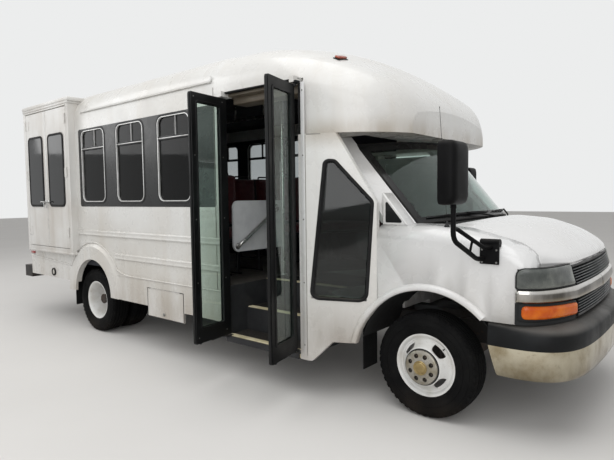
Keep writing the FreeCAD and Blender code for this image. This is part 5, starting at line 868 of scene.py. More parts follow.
lift = {
    "rear": -3.43,
    "front": -2.24,
    "face": -1.3,
    "split": -2.835,
    "leaves": {"lift_leaf_rear": (-1, -3.291, -2.918), "lift_leaf_front": (1, -2.752, -2.379)},
    "window": (1.46, 2.3, 0.05),
    "gasket": (0.014, -1.299, -1.3115, 0.004),
    "pane": (0.006, -1.3063, -1.3082, 0.0006),
    "seal": (0.003, 0.017, -1.304, -1.298, 0.965, 2.596, 0.002),
    "knob": ((-0.002, 0), (-0.002, 0.021), (-0.009, 0.019), (-0.012, 0.01), (-0.03, 0.009), (-0.036, 0)),
    "knobPlace": (0.038, 1.505),
    "grip": ((0, -1.33, 1.505), (0.075, -1.334, 1.508), (0.088, -1.33, 1.5)),
    "tail": ((0, -1.33, 1.51), (-0.004, -1.331, 1.43)),
    "trim": ((-0.004, -1.314, 2.654, 0.03, -1.1, 2.7, 0.012),
             (-0.002, -1.308, 2.63, 0.012, -1.12, 2.66, 0.006),
             (-0.002, -1.306, 0.884, 0.004, -1.13, 0.912, 0.006)),
    "lines": (-0.044, -0.022),
}


def addLiftTrim():
    rear, front = lift["rear"], lift["front"]
    for body, (side, start, end) in lift["leaves"].items():
        low, high, corner = lift["window"]
        hole = rounded(rect(start, low, end, high), corner, 5)
        grow, *depths = lift["gasket"]
        makePiece(body + "Gasket", "softRubber",
                  [(addPlate, inset(hole, -grow), [inset(hole, grow)], "XZ", *depths)], body)
        grow, *depths = lift["pane"]
        makePiece(body + "Pane", "blackGlass", [(addPlate, inset(hole, grow), [], "XZ", *depths)], body)
        aside, z = lift["knobPlace"]
        x = lift["split"] + side * aside
        grip, tail = ([(x + side * along, y, up) for along, y, up in lift[key]] for key in ("grip", "tail"))
        makePiece(body + "Handle", "stainless", [
            (addLathe, lift["knob"], (x, lift["face"], z), (0, 1, 0), 20),
            (addTube, grip, 0.0065, 10, 0.01), (addTube, tail, 0.006, 10)], body)
        near, far, outer, inner, low, high, edge = lift["seal"]
        makePiece(body + "Seal", "coachPaint", [(addBlock, (lift["split"] + side * near, outer, low),
                                                 (lift["split"] + side * far, inner, high), edge)], body)
    trim = [(addBlock, (rear + a, y, z), (front + b, farY, farZ), edge)
            for a, y, z, b, farY, farZ, edge in lift["trim"]]
    trim += [(addTube, ((front + x, -1.3005, 0.92), (front + x, -1.3005, 2.64)), 0.0035, 8)
             for x in lift["lines"]]
    makePiece("liftBoxTrim", "liftPaint", trim)
    makePiece("liftRainStrip", "liftPaint",
              [(addBlock, (rear + 0.05, -1.308, 2.607), (front - 0.05, -1.298, 2.622), 0.004)])


addLiftTrim()

flank = {
    "gutter": (-2.1, -3.5, 0.172, 2.509),  # rear end on the right and on the left, front end, height
    "gutterSection": ((0, 0), (0.017, 0.003), (0.019, 0.017), (0.014, 0.017), (0.012, 0.008), (0, 0.01)),
    "capSeam": 0.19,
    "lamp": (-2.92, 1.22, 0.628),
    "lampRing": ((0, 0.048), (-0.012, 0.048), (-0.016, 0.042), (-0.012, 0.032), (0, 0.031)),
    "lampLens": ((0, 0), (0, 0.034), (0.006, 0.032), (0.012, 0.022), (0.014, 0)),
    "marker": (-3.49, 0.845, 0.052, 0.016),
    "latch": ((0, 0), (0, 0.016), (-0.004, 0.014), (-0.006, 0.006), (-0.005, 0)),
    "latchPlace": (-0.6, -1.2255, 0.4),
    "access": ((-0.878, 0.355, -0.292, 0.642), (-0.871, 0.361, -0.299, 0.635)),
}


def addSideTrim():
    pieces = {key: [] for key in ("gutter", "seam", "ring", "lens", "marker")}
    rearRight, rearLeft, front, z = flank["gutter"]
    seam = flank["capSeam"]
    lampX, lampY, lampZ = flank["lamp"]
    x, height, long, half = flank["marker"]
    for side, rear in ((-1, rearRight), (1, rearLeft)):
        pieces["gutter"] += [
            (addLoft, [[(end, side * (1.2185 + out), z + up - 0.006) for out, up in flank["gutterSection"]]
                       for end in (rear, front)]),
            (addBlock, (front - 0.02, side * 1.216, z + 0.008), (front, side * 1.224, z + 0.05), 0.002)]
        pieces["seam"].append((addBlock, (seam - 0.003, side * 1.2195, 0.73),
                               (seam + 0.003, side * 1.2225, 2.46), 0.001))
        spot = (lampX, side * lampY, lampZ)
        pieces["ring"].append((addLathe, flank["lampRing"], spot, (0, -side, 0), 32))
        pieces["lens"].append((addLathe, flank["lampLens"], spot, (0, side, 0), 32))
        pieces["marker"].append((addBlock, (x - long, side * 1.219, height - half),
                                 (x + long, side * 1.236, height + half), 0.006))
    makePiece("gutterRail", "coachPaint", pieces["gutter"])
    makePiece("capSeamLine", "seamGrey", pieces["seam"])
    makePiece("sideLampRing", "softRubber", pieces["ring"])
    makePiece("sideLampLens", "greyLens", pieces["lens"])
    makePiece("rearMarkers", "redLens", pieces["marker"])
    makePiece("accessLatch", "dullSteel", [
        (addLathe, flank["latch"], flank["latchPlace"], (0, 1, 0), 20)], "skirt_door")
    outline, hole = ([Vector(point) for point in rect(*corners)] for corners in flank["access"])
    # the near-black ring in the access door's gap is painted shade
    makePiece("accessGapShade", "paintedShade", [(addPlate, outline, [hole], "XZ", -1.2203, -1.2212, 0.0003)])


addSideTrim()
print("body side ready")


# Wheels: tyres with ribs and shoulder lugs, pressed steel rims, hub covers
tyre = {
    "side": ((0.078, 0.204), (0.0905, 0.218), (0.0985, 0.23), (0.106, 0.252), (0.1105, 0.278), (0.1085, 0.28),
             (0.1112, 0.283), (0.1108, 0.302), (0.1075, 0.319), (0.105, 0.32), (0.106, 0.323), (0.101, 0.338),
             (0.095, 0.347), (0.088, 0.354)),
    "grooves": (-0.054, -0.019, 0.019, 0.054),
    "grooveHalf": 0.0045,
    "grooveSlant": 0.0008,
    "grooveRadius": 0.3565,
    "crown": 0.3648,
    "crownFall": 0.55,
    "crownHalf": 0.08,
    "lugs": 46,
    "lug": (((-0.016, 0.341, 0.1015), (0.013, 0.341, 0.1015), (0.016, 0.3535, 0.08), (-0.011, 0.3535, 0.08)),
            ((-0.014, 0.354, 0.0985), (0.012, 0.354, 0.0985), (0.014, 0.3612, 0.079),
             (-0.01, 0.3612, 0.079))),
    "bar": (((-0.0165, 0.3605, 0.0515), (-0.0145, 0.3605, 0.0515), (-0.0145, 0.3605, 0.0235),
             (-0.0165, 0.3605, 0.0235)),
            ((-0.0165, 0.3641, 0.0515), (-0.0145, 0.3641, 0.0515), (-0.0145, 0.3641, 0.0235),
             (-0.0165, 0.3641, 0.0235))),
}


def crown(along):
    return tyre["crown"] - tyre["crownFall"] * along * along


def treadProfile():
    profile = [(-along, radius) for along, radius in tyre["side"]]
    slant, deep, edge = tyre["grooveSlant"], tyre["grooveRadius"], -tyre["crownHalf"]
    for middle in tyre["grooves"]:
        low, high = middle - tyre["grooveHalf"], middle + tyre["grooveHalf"]
        profile += [(edge, crown(edge)), (low - slant, crown(low)), (low + slant, deep), (high - slant, deep)]
        edge = high + slant
    profile += [(edge, crown(edge)), (tyre["crownHalf"], crown(tyre["crownHalf"]))]
    return profile + [(along, radius) for along, radius in tyre["side"][::-1]]


# A lathe on an axle; side 1 faces its profile left
def addTurned(form, profile, x, y, side, steps, around=False):
    spot = (x, y, place["axleHeight"])
    addLathe(form, [(side * along, radius) for along, radius in profile], spot, (0, 1, 0), steps, around)


def addTyres(label, body, node, x, rows):
    parts = [(addTurned, treadProfile(), x, y, 1, 84, True) for y in rows]
    makePiece("tyre" + label, "tyreRubber", parts, body, 32, (node,))
    parts = [(addLoft, [[(a, y + side * out, radius) for a, radius, out in ring] for ring in tyre[key]])
             for y in rows for side in (-1, 1) for key in ("lug", "bar")]
    repeat("tread" + label, parts, "tyreRubber", aroundAxle, tyre["lugs"], (x, 0, place["axleHeight"]),
           (0, 2 * math.pi / tyre["lugs"], 0), body, 30)


rim = {
    "disc": ((0.13, 0.0), (0.134, 0.09), (0.135, 0.118), (0.132, 0.127), (0.124, 0.135), (0.1, 0.1515),
             (0.078, 0.1665), (0.068, 0.1755), (0.0635, 0.1835), (0.066, 0.19), (0.074, 0.1945),
             (0.083, 0.1985), (0.0885, 0.205), (0.09, 0.213), (0.0885, 0.2195), (0.085, 0.2208),
             (0.0815, 0.2185), (0.0795, 0.21), (0.078, 0.2035), (0.05, 0.1985), (0.03, 0.182), (-0.02, 0.182),
             (-0.05, 0.1985), (-0.078, 0.2035), (-0.0795, 0.21), (-0.0815, 0.2185), (-0.085, 0.2208),
             (-0.0885, 0.2195), (-0.09, 0.213), (-0.0885, 0.205), (-0.075, 0.1985), (-0.045, 0.194),
             (-0.018, 0.1775), (0.03, 0.1775), (0.052, 0.181), (0.06, 0.172), (0.092, 0.1475), (0.117, 0.13),
             (0.125, 0.118), (0.124, 0.09), (0.12, 0.0)),
    "dish": ((0.006, 0.0), (0.006, 0.062), (0.004, 0.07), (0.004, 0.118), (0.0075, 0.128), (0.016, 0.14),
             (0.027, 0.156), (0.042, 0.168), (0.064, 0.1745), (0.12, 0.179), (0.185, 0.1865), (0.204, 0.1925),
             (0.216, 0.1985), (0.2235, 0.206), (0.225, 0.213), (0.2235, 0.2195), (0.22, 0.2208),
             (0.2165, 0.2185), (0.2145, 0.21), (0.213, 0.2035), (0.185, 0.1955), (0.12, 0.1845),
             (0.062, 0.183), (0.057, 0.2035), (0.054, 0.2185), (0.05, 0.2208), (0.0465, 0.219),
             (0.045, 0.212), (0.0465, 0.202), (0.048, 0.178), (0.034, 0.171), (0.018, 0.159), (0.0, 0.14),
             (-0.004, 0.118), (-0.004, 0.0)),
    "inner": ((-0.0045, 0.05), (-0.0045, 0.118), (-0.01, 0.13), (-0.034, 0.16), (-0.05, 0.178),
              (-0.0465, 0.202), (-0.045, 0.212), (-0.0465, 0.219), (-0.05, 0.2208), (-0.054, 0.2185),
              (-0.057, 0.2035), (-0.085, 0.1985), (-0.185, 0.1985), (-0.213, 0.2035), (-0.2165, 0.2185),
              (-0.22, 0.2208), (-0.2235, 0.2195), (-0.225, 0.213), (-0.2235, 0.206), (-0.185, 0.1935),
              (-0.085, 0.1935), (-0.062, 0.183), (-0.044, 0.162), (-0.02, 0.132), (-0.0125, 0.118),
              (-0.0125, 0.05)),
    "cover": ((0.1362, 0.0), (0.1362, 0.1185), (0.144, 0.1185), (0.15, 0.115), (0.153, 0.109), (0.156, 0.09),
              (0.16, 0.064), (0.1625, 0.056), (0.1625, 0.0)),
    "cap": ((0.16, 0.0), (0.16, 0.049), (0.166, 0.049), (0.17, 0.046), (0.17, 0.04), (0.1688, 0.0385),
            (0.172, 0.035), (0.174, 0.018), (0.1745, 0.0)),
    "shade": ((0.1335, 0.118), (0.1375, 0.118), (0.1375, 0.1235), (0.1335, 0.126)),
    "drum": ((0.0062, 0.0), (0.0062, 0.062), (0.05, 0.06), (0.056, 0.054), (0.138, 0.05), (0.142, 0.056),
             (0.15, 0.056), (0.156, 0.05), (0.158, 0.0)),
    "lugCircle": 0.0825,
    "frontHoles": (0.07, 0.15, 0.154, 0.104, 0.046, 48),  # from, to, circle, length, width, turn
    "rearHoles": (-0.02, 0.06, 0.146, 0.08, 0.034, 20),
    "recesses": (0.139, 0.175, 0.0158, 20),  # from, to, radius, sides
    "recessShades": (0.1375, 0.1398, 0.0156, 20),
    "frontNuts": (0.1385, 0.148, 0.009),
    "rearNuts": (0.004, 0.03, 0.0125),
    "drumBolts": (0.155, 0.162, 0.006, 8, 0.04),
    "valve": ((0.128, 0.058, 0.128), (0.128, 0.082, 0.126)),
}


# Four closed oval prisms that run tangentially round the axle
def addOvals(form, x, y, side, low, high, middle, long, wide, turn):
    outline = rounded(rect(-long / 2, middle - wide / 2, long / 2, middle + wide / 2), wide / 2.02, 6)
    for number in range(4):
        angle = math.radians(side * turn + 90 * number)
        spin = [Vector((point.x * math.cos(angle) + point.y * math.sin(angle),
                        point.y * math.cos(angle) - point.x * math.sin(angle))) for point in outline]
        addLoft(form, [[(x + point.x, y + side * depth, place["axleHeight"] + point.y) for point in spin]
                       for depth in (low, high)])


def addNuts(form, x, y, side, start, end, radius, sides=6, reach=rim["lugCircle"]):
    start, end = y + side * start, y + side * end
    profile = ((start, 0), (start, radius), (end - (end - start) * 0.2, radius), (end, radius * 0.75),
               (end, 0))
    for index in range(8):
        angle = 2 * math.pi * (index + 0.5) / 8
        spot = (x + reach * math.cos(angle), 0, place["axleHeight"] + reach * math.sin(angle))
        addLathe(form, profile, spot, (0, 1, 0), sides)


def addFrontWheel(hand, side):
    label, body = "Front" + hand.title(), "wheel_front_" + hand
    x, y = place["frontAxle"], side * place["frontWheel"]
    spot = (x, y, side)
    addTyres(label, body, "tyre_front_" + hand, x, (y,))
    disc = gather([(addTurned, rim["disc"], *spot, 84)])
    disc = carve(disc, gather([(addOvals, *spot, *rim["frontHoles"])]))
    settle("rim" + label, disc, "wheelPaint", body, stands=("rim_front_" + hand,))
    cover = gather([(addTurned, rim["cover"], *spot, 64)])
    cover = carve(cover, gather([(addNuts, *spot, *rim["recesses"])]))
    settle("hubCover" + label, cover, "hubMetal", body, 30)
    makePiece("hubShade" + label, "paintedShade", [(addNuts, *spot, *rim["recessShades"]),
                                               (addTurned, rim["shade"], *spot, 64, True)], body, 30)
    makePiece("lugNuts" + label, "castMetal", [(addNuts, *spot, *rim["frontNuts"])], body, 25)
    makePiece("hubCap" + label, "hubBadge", [(addTurned, rim["cap"], *spot, 48)], body, 30)
    valve = [(x + aside, y + side * out, place["axleHeight"] + up) for aside, out, up in rim["valve"]]
    makePiece("valve" + label, "softRubber", [(addTube, valve, 0.004, 8)], body)


def addRearWheel(hand, side):
    label, body = "Rear" + hand.title(), "wheels_rear_" + hand
    x, y = place["rearAxle"], side * place["rearWheel"]
    spot = (x, y, side)
    addTyres(label, body, "tyres_rear_" + hand, x, (y - place["twinHalf"], y + place["twinHalf"]))
    dish = gather([(addTurned, rim["dish"], *spot, 84)])
    whole = carve(dish, gather([(addOvals, *spot, *rim["rearHoles"])]))
    addTurned(whole, rim["inner"], *spot, 72, True)
    settle("rims" + label, whole, "wheelPaint", body, stands=("rims_rear_" + hand,))
    makePiece("hub" + label, "castMetal", [
        (addTurned, rim["drum"], *spot, 40), (addNuts, *spot, *rim["rearNuts"]),
        (addNuts, *spot, *rim["drumBolts"])], body, 30)


for hand, side in (("right", -1), ("left", 1)):
    addFrontWheel(hand, side)
    addRearWheel(hand, side)
print("wheels ready")


# Nose: lamps, grille and bumper follow one plan curve from the right fender to the centreline
nose = {
    "plan": ((2.622, -1.0), (2.685, -0.978), (2.745, -0.925), (2.793, -0.82), (2.82, -0.7), (2.836, -0.58),
             (2.85, -0.38), (2.858, -0.19), (2.861, 0.0)),
    "lean": ((0.74, 0.052), (0.8, 0.046), (0.9, 0.044), (0.96, 0.034), (1.02, 0.016), (1.085, 0.0),
             (1.12, 0.0)),
    "leanStart": 0.97,
    "leanFull": 0.62,
    "lampInner": -0.6,
    "steps": 12,
}
noseLine = smoothLine(nose["plan"], nose["steps"])
noseReach = [0.0]
for before, here in zip(noseLine, noseLine[1:]):
    noseReach.append(noseReach[-1] + (here - before).length)


def noseAt(y):  # distance along the plan curve where it passes y
    for index in range(len(noseLine) - 1):
        low, high = noseLine[index].y, noseLine[index + 1].y
        if low <= y <= high:
            return noseReach[index] + (y - low) / (high - low) * (noseReach[index + 1] - noseReach[index])
    return noseReach[-1]


def noseSpot(reach, z, out=0.0):
    reach = min(max(reach, 0.0), noseReach[-1])
    index = max(i for i, value in enumerate(noseReach[:-1]) if value <= reach)
    share = (reach - noseReach[index]) / (noseReach[index + 1] - noseReach[index])
    here = noseLine[index].lerp(noseLine[index + 1], share)
    run = (noseLine[index + 1] - noseLine[index]).normalized()
    amount = min(max((here.y + nose["leanStart"]) / (nose["leanStart"] - nose["leanFull"]), 0.0), 1.0)
    lean = 0.0
    for (lowZ, lowLean), (highZ, highLean) in zip(nose["lean"], nose["lean"][1:]):
        if lowZ <= z <= highZ:
            lean = lowLean + (highLean - lowLean) * (z - lowZ) / (highZ - lowZ)
    return Vector((here.x + amount * lean + run.y * out, here.y - run.x * out, z))


def eased(count, amount):  # shares from 0 to 1 that lie closer together near both ends
    shares = [step / count for step in range(count + 1)]
    return [share - math.sin(2 * math.pi * share) / (2 * math.pi) * amount for share in shares]


def cornerRise(radius, gap):
    return radius - math.sqrt(max(radius * radius - (radius - gap) ** 2, 0)) if gap < radius else 0.0


# A plate on the nose's surface. Low and high hold heights at its outer and inner end, and corners the radii
# at outer low, outer high, inner low and inner high.
def addCurved(form, start, end, low, high, out, back, corners=(0, 0, 0, 0), pillow=0.0, soft=0.02,
              columns=26, rows=8):
    front, rear = [], []
    for share in eased(columns, 0.75):
        reach = start + (end - start) * share
        share = (reach - start) / (end - start)
        outer, inner = reach - start, end - reach
        bottom = low[0] + (low[1] - low[0]) * share
        top = high[0] + (high[1] - high[0]) * share
        bottom += max(cornerRise(corners[0], outer), cornerRise(corners[2], inner))
        top -= max(cornerRise(corners[1], outer), cornerRise(corners[3], inner))
        column = []
        for step in eased(rows, 0.6):
            z = bottom + (top - bottom) * step
            fall = pillow * (1 - min(min(z - bottom, top - z, outer, inner) / soft, 1)) ** 2
            column.append(noseSpot(reach, z, out - fall))
        front.append(column)
        rear.append([noseSpot(reach, point.z, back) for point in column])
    addSlab(form, front, rear)


grille = {
    "frames": ((1.062, 1.078), (0.758, 0.774)),
    "slats": ((0.957, 1.056, 6), (0.776, 0.866, 5)),  # low, high, number
    "slatShare": 0.22,
    "plain": ((0, 0, 0, 0), 0.004),
}


def addLamps():
    inner, middle = noseAt(nose["lampInner"]), noseReach[-1]
    bars = [(inner + 0.004, middle, (low, low), (high, high), 0.004, -0.02, *grille["plain"], 0.006, 26, 4)
            for low, high in grille["frames"]]
    slats = []
    for low, high, number in grille["slats"]:
        pitch = (high - low) / number
        half = pitch * grille["slatShare"]
        for z in (low + (step + 0.5) * pitch for step in range(number)):
            slats.append((inner + 0.01, middle, (z - half, z - half), (z + half, z + half), 0.004, -0.022,
                          *grille["plain"], 0.004, 26, 4))
    pieces = {
        "lampSurround": ("roughPlastic", 38, ("front_lamps",), [
            (0.0, inner + 0.006, (0.958, 0.958), (1.088, 1.088), -0.004, -0.03, (0.012, 0.052, 0.004, 0.004)),
            (0.0, inner + 0.008, (0.744, 0.744), (0.878, 0.862), -0.01, -0.03, (0.004, 0.004, 0.05, 0.004)),
            (0.012, inner + 0.004, (0.762, 0.764), (0.872, 0.858), -0.002, -0.02, (0.02, 0.02, 0.04, 0.01),
             0.008)]),
        "headlampLens": ("hazyLens", 50, (), [(0.008, inner, (0.966, 0.966), (1.083, 1.083), 0.006, -0.02,
                                               (0.01, 0.046, 0.006, 0.006), 0.007, 0.014)]),
        "amberLamp": ("amberLens", 50, (), [(0.036, inner - 0.006, (0.782, 0.778), (0.862, 0.85), 0.008,
                                             -0.01, (0.026, 0.026, 0.02, 0.014), 0.01, 0.02)]),
        "grilleBar": ("barChrome", 50, ("grille",), [(0.002, middle, (0.88, 0.866), (0.957, 0.955), 0.017,
                                                      -0.02, (0.004, 0.022, 0, 0), 0.016, 0.016, 56, 10)]),
        "grilleFrame": ("blackTrim", 50, (), bars),
        "grilleSlats": ("slatMetal", 50, (), slats),
        # grilleBackShade is a near-black sheet behind the slats, painted shade
        "grilleBackShade": ("paintedShade", 38, (), [(inner + 0.008, middle, (0.758, 0.758), (1.066, 1.066), -0.026,
                                             -0.034, (0, 0, 0, 0), 0.0, 0.02, 26, 4)]),
    }
    for name, (look, smooth, stands, plates) in pieces.items():
        makePiece(name, look, [(addCurved, *plate) for plate in plates], "root", smooth, stands, both=True)


addLamps()

bumper = {
    "plan": ((2.462, -1.003), (2.6, -1.003), (2.712, -0.988), (2.81, -0.945), (2.884, -0.868), (2.932, -0.76),
             (2.962, -0.6), (2.978, -0.38), (2.984, -0.18), (2.986, 0.0)),
    "chrome": ((0.0, 0.602), (0.0, 0.59), (0.003, 0.56), (0.003, 0.5), (0.0, 0.45), (-0.006, 0.42),
               (-0.016, 0.412), (-0.02, 0.42), (-0.02, 0.6)),
    "pad": ((-0.012, 0.598), (0.002, 0.598), (0.0045, 0.606), (0.004, 0.64), (0.002, 0.684), (-0.006, 0.703),
            (-0.022, 0.716), (-0.055, 0.728), (-0.095, 0.738), (-0.135, 0.743), (-0.15, 0.74), (-0.15, 0.7),
            (-0.04, 0.64)),
    "chromeSkew": 0.3,
    "padNarrowing": 0.16,
}


# Carries a section (out, height) along half a plan curve. Skew slants its rear end.
def addSwept(form, plan, section, skew=0.0, narrowing=None):
    rings = []
    for index, here in enumerate(plan):
        run = (plan[min(index + 1, len(plan) - 1)] - plan[max(index - 1, 0)]).normalized()
        if index == len(plan) - 1:
            run = Vector((0, 1))
        share = max(0.0, 1 - index / (len(plan) * 0.2))
        ring = []
        for out, z in section:
            if narrowing and out < -0.02:
                out *= narrowing + (1 - narrowing) * min(1.0, index / (len(plan) * 0.42))
            ring.append((here.x + run.y * out + skew * share * (section[0][1] - z), here.y - run.x * out, z))
        rings.append(ring)
    addLoft(form, rings)


line = smoothLine(bumper["plan"], 8)
chrome = [(addSwept, line, bumper["chrome"], bumper["chromeSkew"])]
makePiece("bumperChrome", "bumperSteel", chrome, "root", 50, ("front_bumper",), both=True)
pad = [(addSwept, line, bumper["pad"], 0, bumper["padNarrowing"])]
makePiece("bumperPad", "bumperPlastic", pad, "root", 50, ("bumper_pad",), both=True)

hood = {
    "sections": (  # y, and the X and Z of rear, knee, front curve and nose
        (0.795, ((2.15, 1.326), (2.29, 1.298), (2.48, 1.256), (2.59, 1.226), (2.66, 1.186), (2.697, 1.146),
                 (2.712, 1.096))),
        (0.6, ((2.195, 1.34), (2.34, 1.322), (2.5, 1.294), (2.64, 1.25), (2.754, 1.186), (2.816, 1.134),
                 (2.834, 1.096))),
        (0.3, ((2.245, 1.357), (2.37, 1.347), (2.52, 1.327), (2.67, 1.262), (2.782, 1.186), (2.841, 1.13),
                 (2.856, 1.095))),
        (0.0, ((2.262, 1.362), (2.385, 1.355), (2.53, 1.336), (2.684, 1.266), (2.794, 1.184), (2.85, 1.128),
               (2.863, 1.094)))),
    "under": (-0.006, 0, -0.018),
    "across": 8,
    "along": 6,
    "lip": (-0.004, 0, -0.0042),
    "arms": ((addBlock, (2.15, -0.698, 1.268), (2.42, -0.666, 1.278), 0.004),
             (addBlock, (2.118, -0.702, 1.27), (2.2, -0.662, 1.306), 0.006),
             (addTube, ((2.128, -0.712, 1.282), (2.128, -0.652, 1.282)), 0.007, 12)),
    "seal": (-0.72, (1.066, 1.066), (1.086, 1.086), -0.006, -0.04, (0, 0, 0, 0), 0.0, 0.02, 26, 4),
}


def addHood():
    half = [smoothLine([(x, y, z) for x, z in row], hood["along"]) for y, row in hood["sections"]]
    whole = [[Vector((point.x, -point.y, point.z)) for point in row] for row in half] + half[-2::-1]
    columns = [smoothLine([row[index] for row in whole], hood["across"]) for index in range(len(half[0]))]
    top = [[*row, row[-1] + Vector(hood["lip"])] for row in zip(*columns)]
    under = [[point + Vector(hood["under"]) for point in row] for row in top]
    makePiece("hoodSkin", "cabPaint", [(addSlab, under, top)], "hood", 60, ("hood",))
    makePiece("hoodArms", "cabPaint", hood["arms"], "hood", both=True)
    start, *values = hood["seal"]
    makePiece("hoodSeal", "softRubber", [(addCurved, noseAt(start), noseReach[-1], *values)], both=True)


addHood()

flare = {
    "arch": (2.05, 0.36),
    "section": ((0.529, 0.004), (0.529, -0.012), (0.532, -0.019), (0.54, -0.0235), (0.552, -0.0235),
                (0.564, -0.018), (0.574, -0.008), (0.578, 0.004)),
    "turns": (46, 169, 44),  # from, to, steps
    # the sheet inside each front arch is near-black painted shade of the wheel housing
    "archShade": ((0.53, -0.985), (0.533, -0.985), (0.5345, -0.48), (0.53, -0.465), (0.527, -0.48)),
    "archShadeTurns": (20, 166, 40),
    "skin": (1.665, -1.0, -0.215, 0.535),  # where the right side's skin starts to widen rearward, and how
}


def sideSkin(x):
    start, front, widening, run = flare["skin"]
    return front if x > start else front + widening * min((start - x) / run, 1.0)


def archRings(section, turns, outward):
    x, z = flare["arch"]
    low, high, steps = turns
    rings = []
    for angle in (math.radians(low + (high - low) * step / steps) for step in range(steps + 1)):
        spots = [(x + radius * math.cos(angle), out, z + radius * math.sin(angle)) for radius, out in section]
        rings.append([(a, outward(a) + out, b) for a, out, b in spots])
    return rings


rings = archRings(flare["section"], flare["turns"], sideSkin)
makePiece("frontFlare", "cabPaint", [(addLoft, rings)], smooth=50, both=True)
# the near-black sheet inside each front arch is painted shade of the wheel housing
rings = archRings(flare["archShade"], flare["archShadeTurns"], lambda x: 0)
makePiece("archShadeSheet", "paintedShade", [(addLoft, rings)], smooth=50, both=True)
fender = bmesh.new()
fender.from_mesh(nodes["fenders"].data)
settle("fenderSkin", fender, "cabPaint", smooth=42, stands=("fenders",))
print("nose ready")


# Cab: windscreen seal, cowl, wipers, mirrors, quarter panels, door and transition window trim
glass = {
    "half": 0.79,
    # side and middle, low and high
    "rows": (((1.885, 1.319), (2.165, 1.359)), ((1.365, 1.915), (1.68, 1.955))),
    "normal": (0.775, 0.0, 0.631),
    "lean": 0.8,
    "hoodEdge": ((0.0, 2.262, 1.362), (0.3, 2.245, 1.357), (0.593, 2.195, 1.34), (0.79, 2.15, 1.326)),
    "film": (0.0004, 0.0022),  # from and to how far off the glass
    "border": (-0.004, 0.075, 0.915, 1.0),
    "sideBorder": 0.045,
    "seal": (0.009, 8),
    "sealSteps": 16,
    "sealOut": 0.002,
}


def glassSpot(y, share, out=0.0):  # y across, share 0 at the windscreen's lower edge to 1 at its upper
    (lowSide, lowMiddle), (highSide, highMiddle) = glass["rows"]
    side = Vector(lowSide).lerp(Vector(highSide), share)
    middle = Vector(lowMiddle).lerp(Vector(highMiddle), share)
    sag = (middle - side).length
    radius = (glass["half"] ** 2 + sag * sag) / (2 * sag)
    drop = radius - math.sqrt(radius * radius - y * y)
    spot = middle + (side - middle) / sag * drop
    lean = y / radius
    straight = math.sqrt(1 - lean * lean * glass["lean"])
    normal = Vector(glass["normal"]) * straight + Vector((0, lean * glass["lean"], 0))
    return Vector((spot.x, y, spot.y)) + normal.normalized() * out


def addGlassBand(form, lowY, highY, low, high, columns=24, rows=2):
    places = [lowY + (highY - lowY) * column / columns for column in range(columns + 1)]
    shares = [low + (high - low) * row / rows for row in range(rows + 1)]
    addSlab(form, *([[glassSpot(y, share, out) for share in shares] for y in places]
                    for out in glass["film"]))


def addWindscreenTrim():
    half, steps = glass["half"], glass["sealSteps"]
    start, low, high, end = glass["border"]
    bands = [(addGlassBand, -half, half, start, low), (addGlassBand, -half, half, high, end)]
    bands += [(addGlassBand, side * half, side * (half - glass["sideBorder"]), low, high, 3, 10)
              for side in (-1, 1)]
    makePiece("windscreenBand", "windowBand", bands)
    corners = ((-half, 0), (half, 0), (half, 1), (-half, 1), (-half, 0))
    path = [glassSpot(y + (nextY - y) * step / steps, share + (nextShare - share) * step / steps,
                      glass["sealOut"])
            for (y, share), (nextY, nextShare) in zip(corners, corners[1:]) for step in range(steps)]
    makePiece("windscreenSeal", "softRubber", [(addTube, path + path[:1], *glass["seal"])])


addWindscreenTrim()

cowl = {
    "notch": (0.642, 0.722),  # room for the hood's arms
    "notchEnd": 2.098,
    "notchStep": 0.001,
    "side": 0.798,
    "middle": 0.58,
    "columns": 11,
    "hoodGap": 0.007,
    "section": (  # share of the way from the glass to the hood, and how far from there along X and Z
        (0, -0.004, -0.006), (0, 0.022, -0.012), (0.5, 0, -0.03), (1, -0.02, -0.02), (1, 0, -0.008),
        (1, 0, -0.02), (1, -0.02, -0.032), (0.5, 0, -0.042), (0, 0, -0.026)),
    "louvre": ((0, -0.004, -0.002), (0.062, 0.004, 0.003), 0.0015),
    "louvres": (46, (2.166, -0.5, 1.3345), (0, 0.0222, 0)),
}


def hoodEdge(y):
    for (lowY, lowX, lowZ), (highY, highX, highZ) in zip(glass["hoodEdge"], glass["hoodEdge"][1:]):
        if abs(y) <= highY:
            share = (abs(y) - lowY) / (highY - lowY)
            return lowX + (highX - lowX) * share, lowZ + (highZ - lowZ) * share
    return glass["hoodEdge"][-1][1:]


def addCowl():
    half, columns, gap = glass["half"], cowl["columns"], cowl["notchStep"]
    low, high = cowl["notch"]
    places = [cowl["middle"] * step / columns for step in range(-columns, columns + 1)]
    for y in (low - gap, low + gap, high - gap, high + gap, cowl["side"]):
        places = [-y] + places + [y]
    rings = []
    for y in places:
        start = glassSpot(max(min(y, half), -half), 0.0)
        endX, endZ = hoodEdge(y)
        endX = cowl["notchEnd"] if low < abs(y) < high else endX - cowl["hoodGap"]
        rings.append([(start.x + (endX - start.x) * share + out, y, start.z + (endZ - start.z) * share + up)
                      for share, out, up in cowl["section"]])
    makePiece("cowlPanel", "roughPlastic", [(addLoft, rings)], smooth=30)
    repeat("cowlLouvres", [(addBlock, *cowl["louvre"])], "blackTrim", alongLine, *cowl["louvres"])


addCowl()

